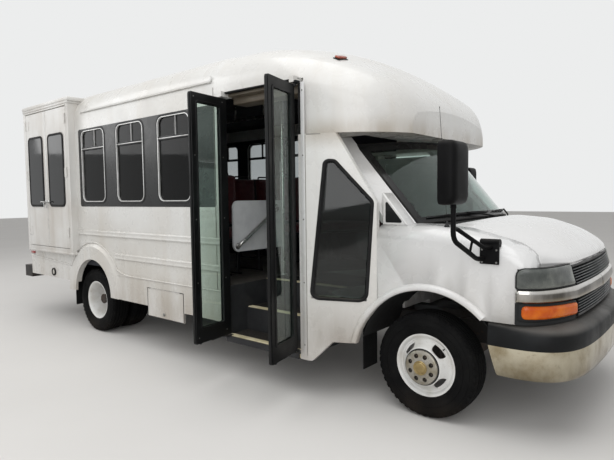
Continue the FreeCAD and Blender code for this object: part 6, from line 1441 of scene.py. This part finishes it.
wiper = {
    "sweeps": ((-0.06, -0.72, -0.12), (0.56, -0.04, 0.54)),  # pivot, and from where to where the blade lies
    "share": 0.055,
    "pivotShare": -0.05,
    "pivotOut": 0.02,
    "pivot": ((-0.03, 0.0), (-0.03, 0.012), (0.004, 0.014), (0.014, 0.01), (0.016, 0.0)),
    "armOut": 0.03,
    "arm": (0.0065, 8, 0.03, 0.55),
    "armStart": (0, 0, 0.006),
    "armKnee": (0.008, 0, 0.012),
    "blade": (0.0055, 6),
    "bladeOut": 0.01,
    "spine": (0.004, 6),
    "spineEnds": (0.12, 0.76),
    "spineOut": (0.018, 0.008),
}


def addWiper(form, pivotY, start, end):
    pivot = glassSpot(pivotY, wiper["pivotShare"], wiper["pivotOut"])
    addLathe(form, wiper["pivot"], pivot, glass["normal"], 16)
    middle = glassSpot((start + end) / 2, wiper["share"], wiper["armOut"])
    knee = pivot.lerp(middle, 0.25) + Vector(wiper["armKnee"])
    addTube(form, (pivot + Vector(wiper["armStart"]), knee, middle), *wiper["arm"])
    blade = [glassSpot(start + (end - start) * step / 14, wiper["share"], wiper["bladeOut"])
             for step in range(15)]
    addTube(form, blade, *wiper["blade"])
    first, long = wiper["spineEnds"]
    out, rise = wiper["spineOut"]
    spine = [glassSpot(start + (end - start) * (first + long * share), wiper["share"],
                       out + rise * math.sin(math.pi * share)) for share in (step / 8 for step in range(9))]
    addTube(form, spine, *wiper["spine"])


makePiece("wipers", "blackTrim", [(addWiper, *sweep) for sweep in wiper["sweeps"]], smooth=50)

mirror = {
    "y": (-1.486, -1.254),
    "z": (1.47, 1.83),
    "corner": 0.034,
    "rings": ((2.299, 0.01), (2.303, 0.003), (2.33, 0.0), (2.368, 0.004), (2.388, 0.013), (2.398, 0.03),
              (2.4015, 0.055)),
    "panes": ((-1.47, 1.555, -1.27, 1.814, 0.028), (-1.47, 1.486, -1.27, 1.547, 0.024)),
    "paneDepths": (2.3, 2.2982, 0.0006),
    "arm": (
        (addTube, ((2.436, -1.004, 1.132), (2.412, -1.062, 1.134), (2.335, -1.34, 1.262),
                   (2.335, -1.34, 1.48)),
         0.015, 14, 0.055),
        (addTube, ((2.486, -1.004, 1.205), (2.458, -1.072, 1.205), (2.335, -1.3, 1.332),
                   (2.335, -1.336, 1.337)),
         0.013, 14, 0.04),
        (addTube, ((2.385, -1.165, 1.182), (2.402, -1.17, 1.262)), 0.008, 10),
        (addLathe, ((0, 0), (0, 0.019), (0.016, 0.017), (0.02, 0)), (2.335, -1.34, 1.452), (0, 0, 1), 20)),
    "plate": (
        (addBlock, (2.411, -1.0155, 1.101), (2.529, -1.001, 1.226), 0.004),
        (addLathe, ((0, 0), (0, 0.025), (0.118, 0.025), (0.118, 0)), (2.411, -0.99, 1.231), (1, 0, 0), 24)),
    "screw": ((-0.0145, 0), (-0.0145, 0.0072), (-0.0185, 0.0055), (-0.0195, 0)),
    "screwSpots": ((2.426, 1.114), (2.426, 1.19), (2.514, 1.114), (2.514, 1.19)),
    "screwY": -1.001,
    "swing": (0.045, -1.06, 0.2),  # how far forward, from which Y outward, over which width
    "leftShift": -1.0,
}


def addMirror(label, body, node, side):
    (lowY, highY), (lowZ, highZ) = mirror["y"], mirror["z"]
    rings = []
    for x, shrink in mirror["rings"]:
        edges = rect(lowY + shrink, lowZ + shrink, highY - shrink, highZ - shrink)
        rings.append([(x, *point) for point in rounded(edges, mirror["corner"])])
    panes = [(addPlate, rounded(rect(*edges), corner), [], "YZ", *mirror["paneDepths"])
             for *edges, corner in mirror["panes"]]
    screws = [(addLathe, mirror["screw"], (x, mirror["screwY"], z), (0, 1, 0), 12)
              for x, z in mirror["screwSpots"]]
    forward, start, width = mirror["swing"]
    for name, look, parts, stands in (
            ("mirrorHead", "mirrorShell", [(addLoft, rings)], (node,)),
            ("mirrorGlass", "mirrorGlass", panes, ()), ("mirrorArm", "mirrorShell", mirror["arm"], ()),
            ("mirrorPlate", "mirrorShell", mirror["plate"], ()), ("mirrorScrews", "dullSteel", screws, ())):
        form = gather(parts)
        for vertex in form.verts:
            vertex.co.x += forward * min(max((start - vertex.co.y) / width, 0.0), 1.0)
            vertex.co.x += mirror["leftShift"] if side > 0 else 0
            vertex.co.y *= -side
        settle(name + label, form, look, body, 40, stands)


addMirror("Right", "root", "mirror_right", -1)
addMirror("Left", "driver_door", "mirror_left", 1)

quarter = {  # look, corners, their radius and steps, from and to how far out, chamfer
    "quarterPanels": ("cabPaint", ((1.668, 1.3175), (1.872, 1.3175), (1.668, 1.56)), 0.006, 2, 0.8, 0.93,
                      0.008),
    "quarterBlack": ("blackGlass", ((1.696, 1.336), (1.838, 1.336), (1.696, 1.5)), 0.01, 3, 0.928, 0.9335,
                     0.002),
}
for name, (look, corners, radius, number, back, front, edge) in quarter.items():
    outline = rounded(corners, radius, number)
    makePiece(name, look, [(addPlate, outline, [], "XZ", side * back, side * front, edge)
                           for side in (-1, 1)])

sideWindow = {
    "outline": ((1.226, 0.776, 0.055), (1.598, 0.768, 0.06), (1.64, 1.488, 0.05), (1.394, 1.786, 0.04),
                (1.327, 1.791, 0.04)),
    "gasket": ((-0.01, 0.012, 0.004, -0.0085, 0.005), (-0.002, 0.014, 0.022, -0.0035, 0.004)),
    "pane": (0.012, 0.012, 0.008, 0.0008),
    "seams": ((addBlock, (1.194, -0.0012, 0.34), (1.199, 0.002, 1.975), 0.0005),
              (addBlock, (1.205, -0.0022, 1.9775), (1.3, 0.004, 1.9845), 0.0008)),
    "start": (1.2, -1.22),
    "slope": 0.22 / 0.465,
}


def makeSlanted(name, look, parts, smooth=38, stands=()):  # built flat, then laid along the slanted panel
    x, y = sideWindow["start"]
    form = gather(parts)
    for vertex in form.verts:
        vertex.co.y += y + max(vertex.co.x - x, 0) * sideWindow["slope"]
    settle(name, form, look, smooth=smooth, stands=stands)


hole = rounded(sideWindow["outline"], 0.05, 7)
makeSlanted("sideWindowGasket", "softRubber", [
    (addPlate, inset(hole, outside), [inset(hole, within)], "XZ", *depths)
    for outside, within, *depths in sideWindow["gasket"]], 50)
grow, *depths = sideWindow["pane"]
makeSlanted("sideWindowPane", "cabGlass", [(addPlate, inset(hole, grow), [], "XZ", *depths)], 50,
            ("transition_window",))
makeSlanted("panelSeam", "seamGrey", sideWindow["seams"])

door = {
    "handle": ((0.585, 1.177, 0.735, 1.233), 0.02, 4),
    "handleDepths": (0.998, 1.004, 0.002),
    "grip": ((0.605, 1.003, 1.205), (0.615, 1.02, 1.205), (0.705, 1.02, 1.205), (0.715, 1.003, 1.205)),
    "gripTube": (0.009, 12, 0.012, 0.7),
    "hole": (((0.59, 1.37), (1.547, 1.37), (1.187, 1.88), (0.59, 1.88)), 0.035),
    "gasket": (-0.012, 0.014, 0.992, 1.0035, 0.003),
    "ventBar": ((1.286, 0.984, 1.372), (1.31, 1.0, 1.71), 0.003),
}


def addDriverDoorTrim():
    edges, radius, number = door["handle"]
    makePiece("driverDoorHandle", "roughPlastic", [
        (addPlate, rounded(rect(*edges), radius, number), [], "XZ", *door["handleDepths"]),
        (addTube, door["grip"], *door["gripTube"])], "driver_door", 50)
    hole = rounded(*door["hole"])
    outside, within, *depths = door["gasket"]
    makePiece("driverDoorGasket", "softRubber", [
        (addPlate, inset(hole, outside), [inset(hole, within)], "XZ", *depths)], "driver_door")
    makePiece("driverVentBar", "blackTrim", [(addBlock, *door["ventBar"])], "driver_door")


addDriverDoorTrim()

antenna = {
    "base": (2.147, -0.9, 1.322),
    "foot": ((-0.006, 0), (-0.006, 0.017), (0.004, 0.016), (0.012, 0.008), (0.03, 0.0055), (0.034, 0)),
    "tip": ((0, 0), (0, 0.003), (0.006, 0.003), (0.008, 0)),
    "rod": ((2.147, -0.9, 1.352), (2.091, -0.9, 2.109)),
    "tipSpot": (2.091, -0.9, 2.106),
}
makePiece("antenna", "blackTrim", [
    (addLathe, antenna["foot"], antenna["base"], (0, 0, 1), 20), (addTube, antenna["rod"], 0.0017, 8),
    (addLathe, antenna["tip"], antenna["tipSpot"], (0, 0, 1), 8)], smooth=50)

capLamp = {
    "spots": ((1.294, -0.905), (1.294, 0.905)),
    "above": 4.0,
    "fallback": 2.55,
    "forms": {  # look, smoothing angle, half width, half depth, low, high, chamfer
        "capLampBases": ("blackTrim", 38, 0.058, 0.03, -0.004, 0.004, 0.0015),
        "capLampLenses": ("capLens", 50, 0.052, 0.024, 0.003, 0.022, 0.008),
    },
}


def capTurn(x, y):  # the place and lean of the cap's skin at a lamp
    hit, spot, normal = nodes["front_cap"].ray_cast(Vector((x, y, capLamp["above"])), Vector((0, 0, -1)))[:3]
    if not hit:
        spot, normal = Vector((x, y, capLamp["fallback"])), Vector((0, 0, 1))
    return Matrix.Translation(spot) @ Vector((0, 0, 1)).rotation_difference(normal).to_matrix().to_4x4()


for name, (look, smooth, width, deep, low, high, edge) in capLamp["forms"].items():
    makePiece(name, look, [(addBlock, (-deep, -width, low), (deep, width, high), edge, capTurn(*spot))
                           for spot in capLamp["spots"]], smooth=smooth)
print("cab trim ready")


# Inside: lining, steps, rails, seats with padded cushions and backs, steering wheel, lift
inside = {
    "wall": 1.186,
    "thick": 0.006,
    "low": 0.775,
    "high": 2.36,
    "ends": ((-2.22, 0.24), (-3.5, 0.6)),  # rear and front of the lining on the right and on the left
    "holeGrow": 0.004,
    "edge": 0.001,
    "ceilingX": (-3.48, -2.6, -1.7, -0.8, 0.1),
    "ceilingHalf": 1.17,
    "ceilingRows": 25,
    "ceilingGap": 0.02,
    "ceilingHeights": (2.0, 2.42, 2.56),  # below the roof, where no roof is met, and the most
}


def addLining():
    panels = []
    for (side, starts), (rear, front) in zip([row[:2] for row in windows["rows"]], inside["ends"]):
        outline = [Vector(point) for point in rect(rear, inside["low"], front, inside["high"])]
        panels.append((addPlate, outline, [windowHole(start, inside["holeGrow"]) for start in starts], "XZ",
                       side * inside["wall"], side * (inside["wall"] - inside["thick"]), inside["edge"]))
    makePiece("wallLining", "inside", panels)
    below, fallback, most = inside["ceilingHeights"]
    half, last = inside["ceilingHalf"], inside["ceilingRows"] - 1
    rows = []
    for x in inside["ceilingX"]:
        line = []
        for y in (-half + 2 * half * step / last for step in range(last + 1)):
            hit, spot = nodes["roof"].ray_cast(Vector((x, y, below)), Vector((0, 0, 1)))[:2]
            line.append((x, y, min(spot.z if hit else fallback, most) - inside["ceilingGap"]))
        rows.append(line + [(x, y, z - inside["thick"]) for x, y, z in line[::-1]])
    makePiece("ceilingLining", "inside", [(addLoft, rows)])


addLining()

steps = {
    "rear": 0.285,
    "front": 1.115,
    # outer, inner, height
    "treads": ((-1.196, -0.955, 0.345), (-0.948, -0.706, 0.548), (-0.698, -0.45, 0.77)),
    "edge": ((-0.006, -0.042), (-0.006, 0.0035), (0.0, 0.0065), (0.048, 0.006), (0.05, 0.001),
             (0.0005, 0.0005), (0.0, -0.042)),
    "mat": (0.052, 0.0004, -0.004, 0.003, 0.001),
    "ribs": 13,
    "rib": (0.004, 0.0022, 0.0024, 0.0008),
    "ribStart": (0.06, 0.003),
    "ribMargin": 0.074,
    "lamp": ((-1.09, 0.6, -1.005, 0.638), 0.018),
    "lampDepths": (0.2705, 0.281, 0.004),
}


def addSteps():
    rear, front = steps["rear"], steps["front"]
    outward, low, inward, high, edge = steps["mat"]
    makePiece("stepEdges", "stepEdge", [
        (addLoft, [[(x, outer + out, z + up) for out, up in steps["edge"]] for x in (rear, front)])
        for outer, inner, z in steps["treads"]])
    makePiece("stepMats", "floorVinyl", [
        (addBlock, (rear, outer + outward, z + low), (front, inner + inward, z + high), edge)
        for outer, inner, z in steps["treads"]])
    gap, half, high, edge = steps["rib"]
    rib = [(addBlock, (gap, -half, 0.0), (front - rear - gap, half, high), edge)]
    aside, up = steps["ribStart"]
    for number, (outer, inner, z) in enumerate(steps["treads"]):
        pitch = (inner - outer - steps["ribMargin"]) / (steps["ribs"] - 1)
        repeat("stepRibs" + str(number), rib, "softRubber", alongLine, steps["ribs"],
               (rear, outer + aside, z + up), (0, pitch, 0))
    edges, radius = steps["lamp"]
    makePiece("stepLamp", "clearLens", [(addPlate, rounded(rect(*edges), radius), [], "YZ",
                                         *steps["lampDepths"])])


addSteps()

rails = {
    "diagonal": ((0.262, -1.035, 1.1), (0.302, -1.03, 1.125), (0.302, -0.56, 1.42), (0.262, -0.54, 1.44)),
    "post": ((0.262, -0.44, 0.776), (0.262, -0.44, 2.44)),
    "ceiling": ((-3.2, -0.42, 2.33), (0.05, -0.42, 2.33)),
    "hangers": (-3.1, -2.2, -1.3, -0.4, 0.0),
    "hangerTop": 2.47,
    "rose": ((0.0, 0), (0.0, 0.028), (0.006, 0.026), (0.008, 0)),
    "roseX": 0.26,
    "foot": ((0, 0), (0, 0.036), (0.006, 0.034), (0.008, 0)),
}


def addRails():
    parts = [(addTube, rails["diagonal"], 0.0155, 16, 0.05), (addTube, rails["post"], 0.0165, 16),
             (addTube, rails["ceiling"], 0.0155, 16)]
    y, z = rails["ceiling"][0][1:]
    parts += [(addTube, ((x, y, z), (x, y, rails["hangerTop"])), 0.01, 10) for x in rails["hangers"]]
    parts += [(addLathe, rails["rose"], (rails["roseX"], *point[1:]), (1, 0, 0), 20)
              for point in (rails["diagonal"][0], rails["diagonal"][-1])]
    parts.append((addLathe, rails["foot"], rails["post"][0], (0, 0, 1), 24))
    makePiece("grabRails", "stainless", parts, smooth=50)


addRails()

seat = {
    "rows": ((-1, (-1.25, -0.52)), (1, (-2.9, -1.25, -0.48))),
    "rowY": 0.72,
    "place": 0.43,
    "driver": (0.78, 0.48, 0.64),
    "cushion": (0.408, 0.404, 0.1),
    "back": (0.086, 0.404, 0.56),
    "swell": 0.014,  # room left for the cloth, and the most that it may move
    "edge": 0.026,
    "voxel": 0.011,
    "pressure": 4.0,
    "frames": 20,
    "crown": 0.012,
    "channels": 0.066,
    "channelDepth": 0.006,
    "channelWidth": 0.008,
    "channelMargins": (0.055, 0.05),
    "pull": 0.03,
    "tilt": -3,
    "cushionSpot": (0.222, 0.395),
    "backSpot": (-0.022, 0.735),
    "shells": (((0.012, -0.196, 0.325), (0.418, 0.196, 0.346), 0.008),
               ((-0.098, -0.2, 0.4), (-0.074, 0.2, 1.005), 0.01)),
    "legHalf": 0.15,
    "legs": ((((0.06, 0.004), (0.06, 0.328)), 0.013, 10), (((0.36, 0.004), (0.36, 0.328)), 0.013, 10),
             (((0.01, 0.01), (0.41, 0.01)), 0.01, 8),
             (((0.02, 0.33), (-0.055, 0.36), (-0.07, 0.6)), 0.011, 8, 0.04)),
    "handle": (((-0.068, -0.12, 0.985), (-0.06, -0.12, 1.03), (-0.06, 0.12, 1.03), (-0.068, 0.12, 0.985)),
               0.01, 10, 0.03),
}


def softPad(name, size, lean):  # a crowned pad, simulated once and then copied to every seat
    form = bmesh.new()
    bmesh.ops.create_cube(form, size=1)
    for vertex in form.verts:
        vertex.co = Vector([along * (whole - seat["swell"]) for along, whole in zip(vertex.co, size)])
    bmesh.ops.bevel(form, geom=form.edges[:], offset=seat["edge"], segments=4, profile=0.5, affect="EDGES")
    bmesh.ops.subdivide_edges(form, edges=form.edges[:], cuts=2, use_grid_fill=True)
    pad = linkObject(name, toMesh(form, name))
    remesh = pad.modifiers.new("remesh", "REMESH")
    remesh.mode = "VOXEL"
    remesh.voxel_size = seat["voxel"]
    fine = applied(pad)
    pad.data = fine
    start = [vertex.co.copy() for vertex in fine.vertices]
    cloth = pad.modifiers.new("cloth", "CLOTH")
    cloth.settings.quality = 5
    cloth.settings.use_pressure = True
    cloth.settings.uniform_pressure_force = seat["pressure"]
    cloth.settings.effector_weights.gravity = 0
    cloth.point_cache.frame_start = 1
    cloth.point_cache.frame_end = seat["frames"]
    for number in range(1, seat["frames"] + 1):
        bpy.context.scene.frame_set(number)
    swollen = applied(pad)
    for vertex, moved, before in zip(fine.vertices, swollen.vertices, start):
        shift = moved.co - before
        vertex.co = before + shift * min(1.0, seat["swell"] / max(shift.length, 1e-6))
    bpy.context.scene.frame_set(1)
    across, up = (2, 0) if lean else (0, 2)
    half, pitch, margins = [length / 2 for length in size], seat["channels"], seat["channelMargins"]
    for vertex in fine.vertices:
        spot = vertex.co
        bulge = 1 - min(abs(spot[across]) / half[across], 1) ** 2
        if spot[up] / half[up] > 0.5:
            spot[up] += seat["crown"] * bulge * (1 - min(abs(spot.y) / half[1], 1) ** 2)
            offset = (spot[across] + 0.5 * pitch) % pitch - 0.5 * pitch
            if abs(spot.y) < half[1] - margins[0] and abs(spot[across]) < half[across] - margins[1]:
                spot[up] -= seat["channelDepth"] * math.exp(-(offset / seat["channelWidth"]) ** 2)
            edge = abs(spot.y) - (half[1] - margins[0])
            spot[up] -= seat["channelDepth"] * math.exp(-(edge / seat["channelWidth"]) ** 2)
        spot.y *= 1 - seat["pull"] * (1 - min(abs(spot[across]) / half[across], 1) ** 2)
        spot[up] = max(spot[up], -half[up])
    bpy.data.objects.remove(pad)
    return fine


def putPad(name, source, spot):
    mesh = source.copy()
    mesh.name = name
    mesh.transform(Matrix.Translation(spot) @ Matrix.Rotation(math.radians(seat["tilt"]), 4, "Y"))
    mesh.materials.clear()
    mesh.materials.append(finish["seatCloth"])
    mesh.shade_smooth()
    piece = linkObject(name, mesh)
    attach(piece, "root")
    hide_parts("seats")


def seatFrame(x, y, floor):  # legs, feet, side bars and the handle over the back
    parts = [(addTube, [(x + along, y + side * seat["legHalf"], floor + up) for along, up in line], *tube)
             for side in (-1, 1) for line, *tube in seat["legs"]]
    line, *tube = seat["handle"]
    return parts + [(addTube, [(x + along, y + aside, floor + up) for along, aside, up in line], *tube)]


def addSeats():
    cushion = softPad("cushionSource", seat["cushion"], False)
    back = softPad("backSource", seat["back"], True)
    spots = [(x, side * seat["rowY"] + half * seat["place"] / 2, place["floor"])
             for side, rows in seat["rows"] for x in rows for half in (-1, 1)] + [seat["driver"]]
    shells, frames = [], []
    for number, (x, y, floor) in enumerate(spots, 1):
        for name, source, (along, up) in (("seatCushion", cushion, seat["cushionSpot"]),
                                          ("seatBack", back, seat["backSpot"])):
            putPad(name + str(number), source, (x + along, y, floor + up))
        spot = Vector((x, y, floor))
        shells += [(addBlock, spot + Vector(low), spot + Vector(high), edge)
                   for low, high, edge in seat["shells"]]
        frames += seatFrame(x, y, floor)
    makePiece("seatShells", "seatShell", shells, stands=("seats",))
    makePiece("seatFrames", "blackTrim", frames, smooth=50)


addSeats()

liftBay = {
    "x": (-3.36, -2.31),
    "y": (-1.215, -1.15),
    "z": (0.93, 1.98),
    "handle": ((0.05, 0.02, -0.02), (0.05, 0.01, 0.22), (0.42, 0.01, 0.22), (0.42, 0.02, -0.02)),
    "handleTube": (0.014, 12, 0.05),
    "slats": 34,
    "slat": (0.014, 0.018, 0.024, 0.008, 0.001),
    "slatMargin": 0.028,
}


def addLiftBay():
    (rear, front), (near, far), (low, high) = liftBay["x"], liftBay["y"], liftBay["z"]
    frame = [(addBlock, (rear, near, z - 0.014), (front, far, z + 0.014), 0.005) for z in (low, high)]
    for x, side in ((rear, 1), (front, -1)):
        handle = [(x + side * along, near + out, high + up) for along, out, up in liftBay["handle"]]
        frame += [(addBlock, (x - 0.022, far + 0.02, low - 0.03), (x + 0.022, far + 0.08, high + 0.32),
                   0.006),
                  (addBlock, (x - 0.012, near, low), (x + 0.012, far, high), 0.005),
                  (addTube, handle, *liftBay["handleTube"])]
    makePiece("liftFrame", "chassisBlack", frame, smooth=40)
    gap, back, face, half, edge = liftBay["slat"]
    margin, number = liftBay["slatMargin"], liftBay["slats"]
    repeat("liftPlatform", [(addBlock, (rear + gap, near + back, -half), (front - gap, near + face, half),
                             edge)],
           "dullSteel", alongLine, number, (0, 0, low + margin),
           (0, 0, (high - low - 2 * margin) / (number - 1)))


addLiftBay()

wheel = {
    "centre": (1.05, 0.48, 1.282),
    "tilt": 60,
    "hub": ((-0.052, -0.062, -0.012), (0.052, 0.062, 0.022), 0.014),
    "spokes": (-90, 30, 150),
    "spokeEnds": (0.04, 0.186),
    "spoke": (0.012, 10, 0.0, 0.6),
}


def addSteeringHub():
    tilt = math.radians(wheel["tilt"])
    lean = Vector((0, 0, 1)).rotation_difference(Vector((-math.cos(tilt), 0, math.sin(tilt))))
    parts = [(addBlock, *wheel["hub"])]
    for angle in map(math.radians, wheel["spokes"]):
        line = [Vector((math.cos(angle), math.sin(angle), 0)) * reach for reach in wheel["spokeEnds"]]
        parts.append((addTube, line, *wheel["spoke"]))
    makePiece("steeringHub", "dashPlastic", parts, smooth=50,
              turn=Matrix.Translation(wheel["centre"]) @ lean.to_matrix().to_4x4())


addSteeringHub()
print("inside ready")


# Rear end and underside: lamp clusters, plate place, markers, tank straps
rearEnd = {
    "lampY": 1.05,
    # half width, low, high, corner, depths, chamfer
    "bezel": (0.09, 0.898, 1.202, 0.018, -3.558, -3.572, 0.004),
    "lamps": {
        "redLens": (0.082, 0.905, 0.995, 0.014, -3.568, -3.585, 0.006),
        "amberLens": (0.082, 1.005, 1.095, 0.014, -3.568, -3.585, 0.006),
        "clearLens": (0.082, 1.105, 1.195, 0.014, -3.568, -3.585, 0.006),
    },
    "plate": ((-0.19, 0.905, 0.19, 1.035), 0.012, 4),
    "plateFrame": (-0.022, 0.002, -3.558, -3.574, 0.004),
    "plateDepths": (-3.558, -3.564, 0.001),
    "markers": (-0.9, -0.28, 0.0, 0.28, 0.9),
    "markerBox": ((-3.574, -0.034, 2.415), (-3.556, 0.034, 2.437), 0.007),
    "straps": (0.22, 0.78),  # share of the tank's length
    "strapHalf": 0.02,
    "strapEdge": 0.001,
}


def lampParts(half, low, high, corner, *depths):  # the same plate on both sides of the rear wall
    return [(addPlate, rounded(rect(y - half, low, y + half, high), corner, 4), [], "YZ", *depths)
            for y in (-rearEnd["lampY"], rearEnd["lampY"])]


def addRearEnd():
    makePiece("tailBezels", "blackTrim", lampParts(*rearEnd["bezel"]), stands=("tail_lamps",))
    for look, values in rearEnd["lamps"].items():
        makePiece("tail" + look[0].upper() + look[1:], look, lampParts(*values), smooth=50)
    edges, radius, number = rearEnd["plate"]
    outline = rounded(rect(*edges), radius, number)
    outside, within, *depths = rearEnd["plateFrame"]
    makePiece("platePlace", "blackTrim", [
        (addPlate, inset(outline, outside), [inset(outline, within)], "YZ", *depths)])
    makePiece("blankPlate", "greyPanel", [(addPlate, outline, [], "YZ", *rearEnd["plateDepths"])])
    low, high, edge = rearEnd["markerBox"]
    makePiece("highMarkers", "redLens", [
        (addBlock, (low[0], y + low[1], low[2]), (high[0], y + high[1], high[2]), edge)
        for y in rearEnd["markers"]], smooth=50)
    (rear, right, low), (front, left, high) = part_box("fuel_tank")
    half, edge = rearEnd["strapHalf"], rearEnd["strapEdge"]
    straps = []
    for x in (rear + (front - rear) * share for share in rearEnd["straps"]):
        straps.append((addBlock, (x - half, right - 0.004, low - 0.004),
                       (x + half, left + 0.004, low + 0.001), edge))
        straps += [(addBlock, (x - half, y, low - 0.004), (x + half, y + 0.004, high + 0.002), edge)
                   for y in (right - 0.004, left)]
    makePiece("tankStraps", "dullSteel", straps)


addRearEnd()
print("rear end ready")


# What each kept node of the frame is finished with
nodeFinish = {
    "chassisBlack": ("chassis_frame", "leaf_springs", "drive_shaft", "rear_bumper"),
    "castMetal": ("front_suspension", "rear_axle", "knuckle_right", "knuckle_left"),
    "engineGrey": ("engine_block",),
    "tankSteel": ("fuel_tank",),
    "exhaustSteel": ("exhaust",),
    "floorVinyl": ("saloon_floor", "step_well", "wheel_housings"),
    "coachPaint": ("right_wall", "left_wall", "rear_wall", "roof", "skirt_door"),
    "capPaint": ("front_cap",),
    "panelPaint": ("transition_right", "transition_left"),
    "liftPaint": ("lift_housing", "lift_leaf_front", "lift_leaf_rear"),
    "cabPaint": ("cab_shell", "fenders", "hood", "driver_door"),
    "darkGlass": ("saloon_windows", "transition_window"),
    "clearGlass": ("windscreen",),
    "hazyLens": ("front_lamps",),
    "bright": ("grille", "front_bumper"),
    "bumperPlastic": ("bumper_pad",),
    "roughPlastic": ("mirror_right", "mirror_left"),
    "softRubber": ("mud_flaps",),
    "greyPanel": ("modesty_panel",),
    "seatCloth": ("seats",),
    "dashPlastic": ("dashboard",),
    "redLens": ("tail_lamps",),
    "leafFrame": ("entry_leaf_front", "entry_leaf_rear"),
    "tyreRubber": ("tyre_front_right", "tyre_front_left", "tyres_rear_right", "tyres_rear_left"),
    "wheelPaint": ("rim_front_right", "rim_front_left", "rims_rear_right", "rims_rear_left"),
}
for finishName, members in nodeFinish.items():
    for member in members:
        mesh = nodes[member].data
        mesh.materials.clear()
        mesh.materials.append(finish[finishName])
        for face in mesh.polygons:
            face.material_index = 0
print("nodes finished")
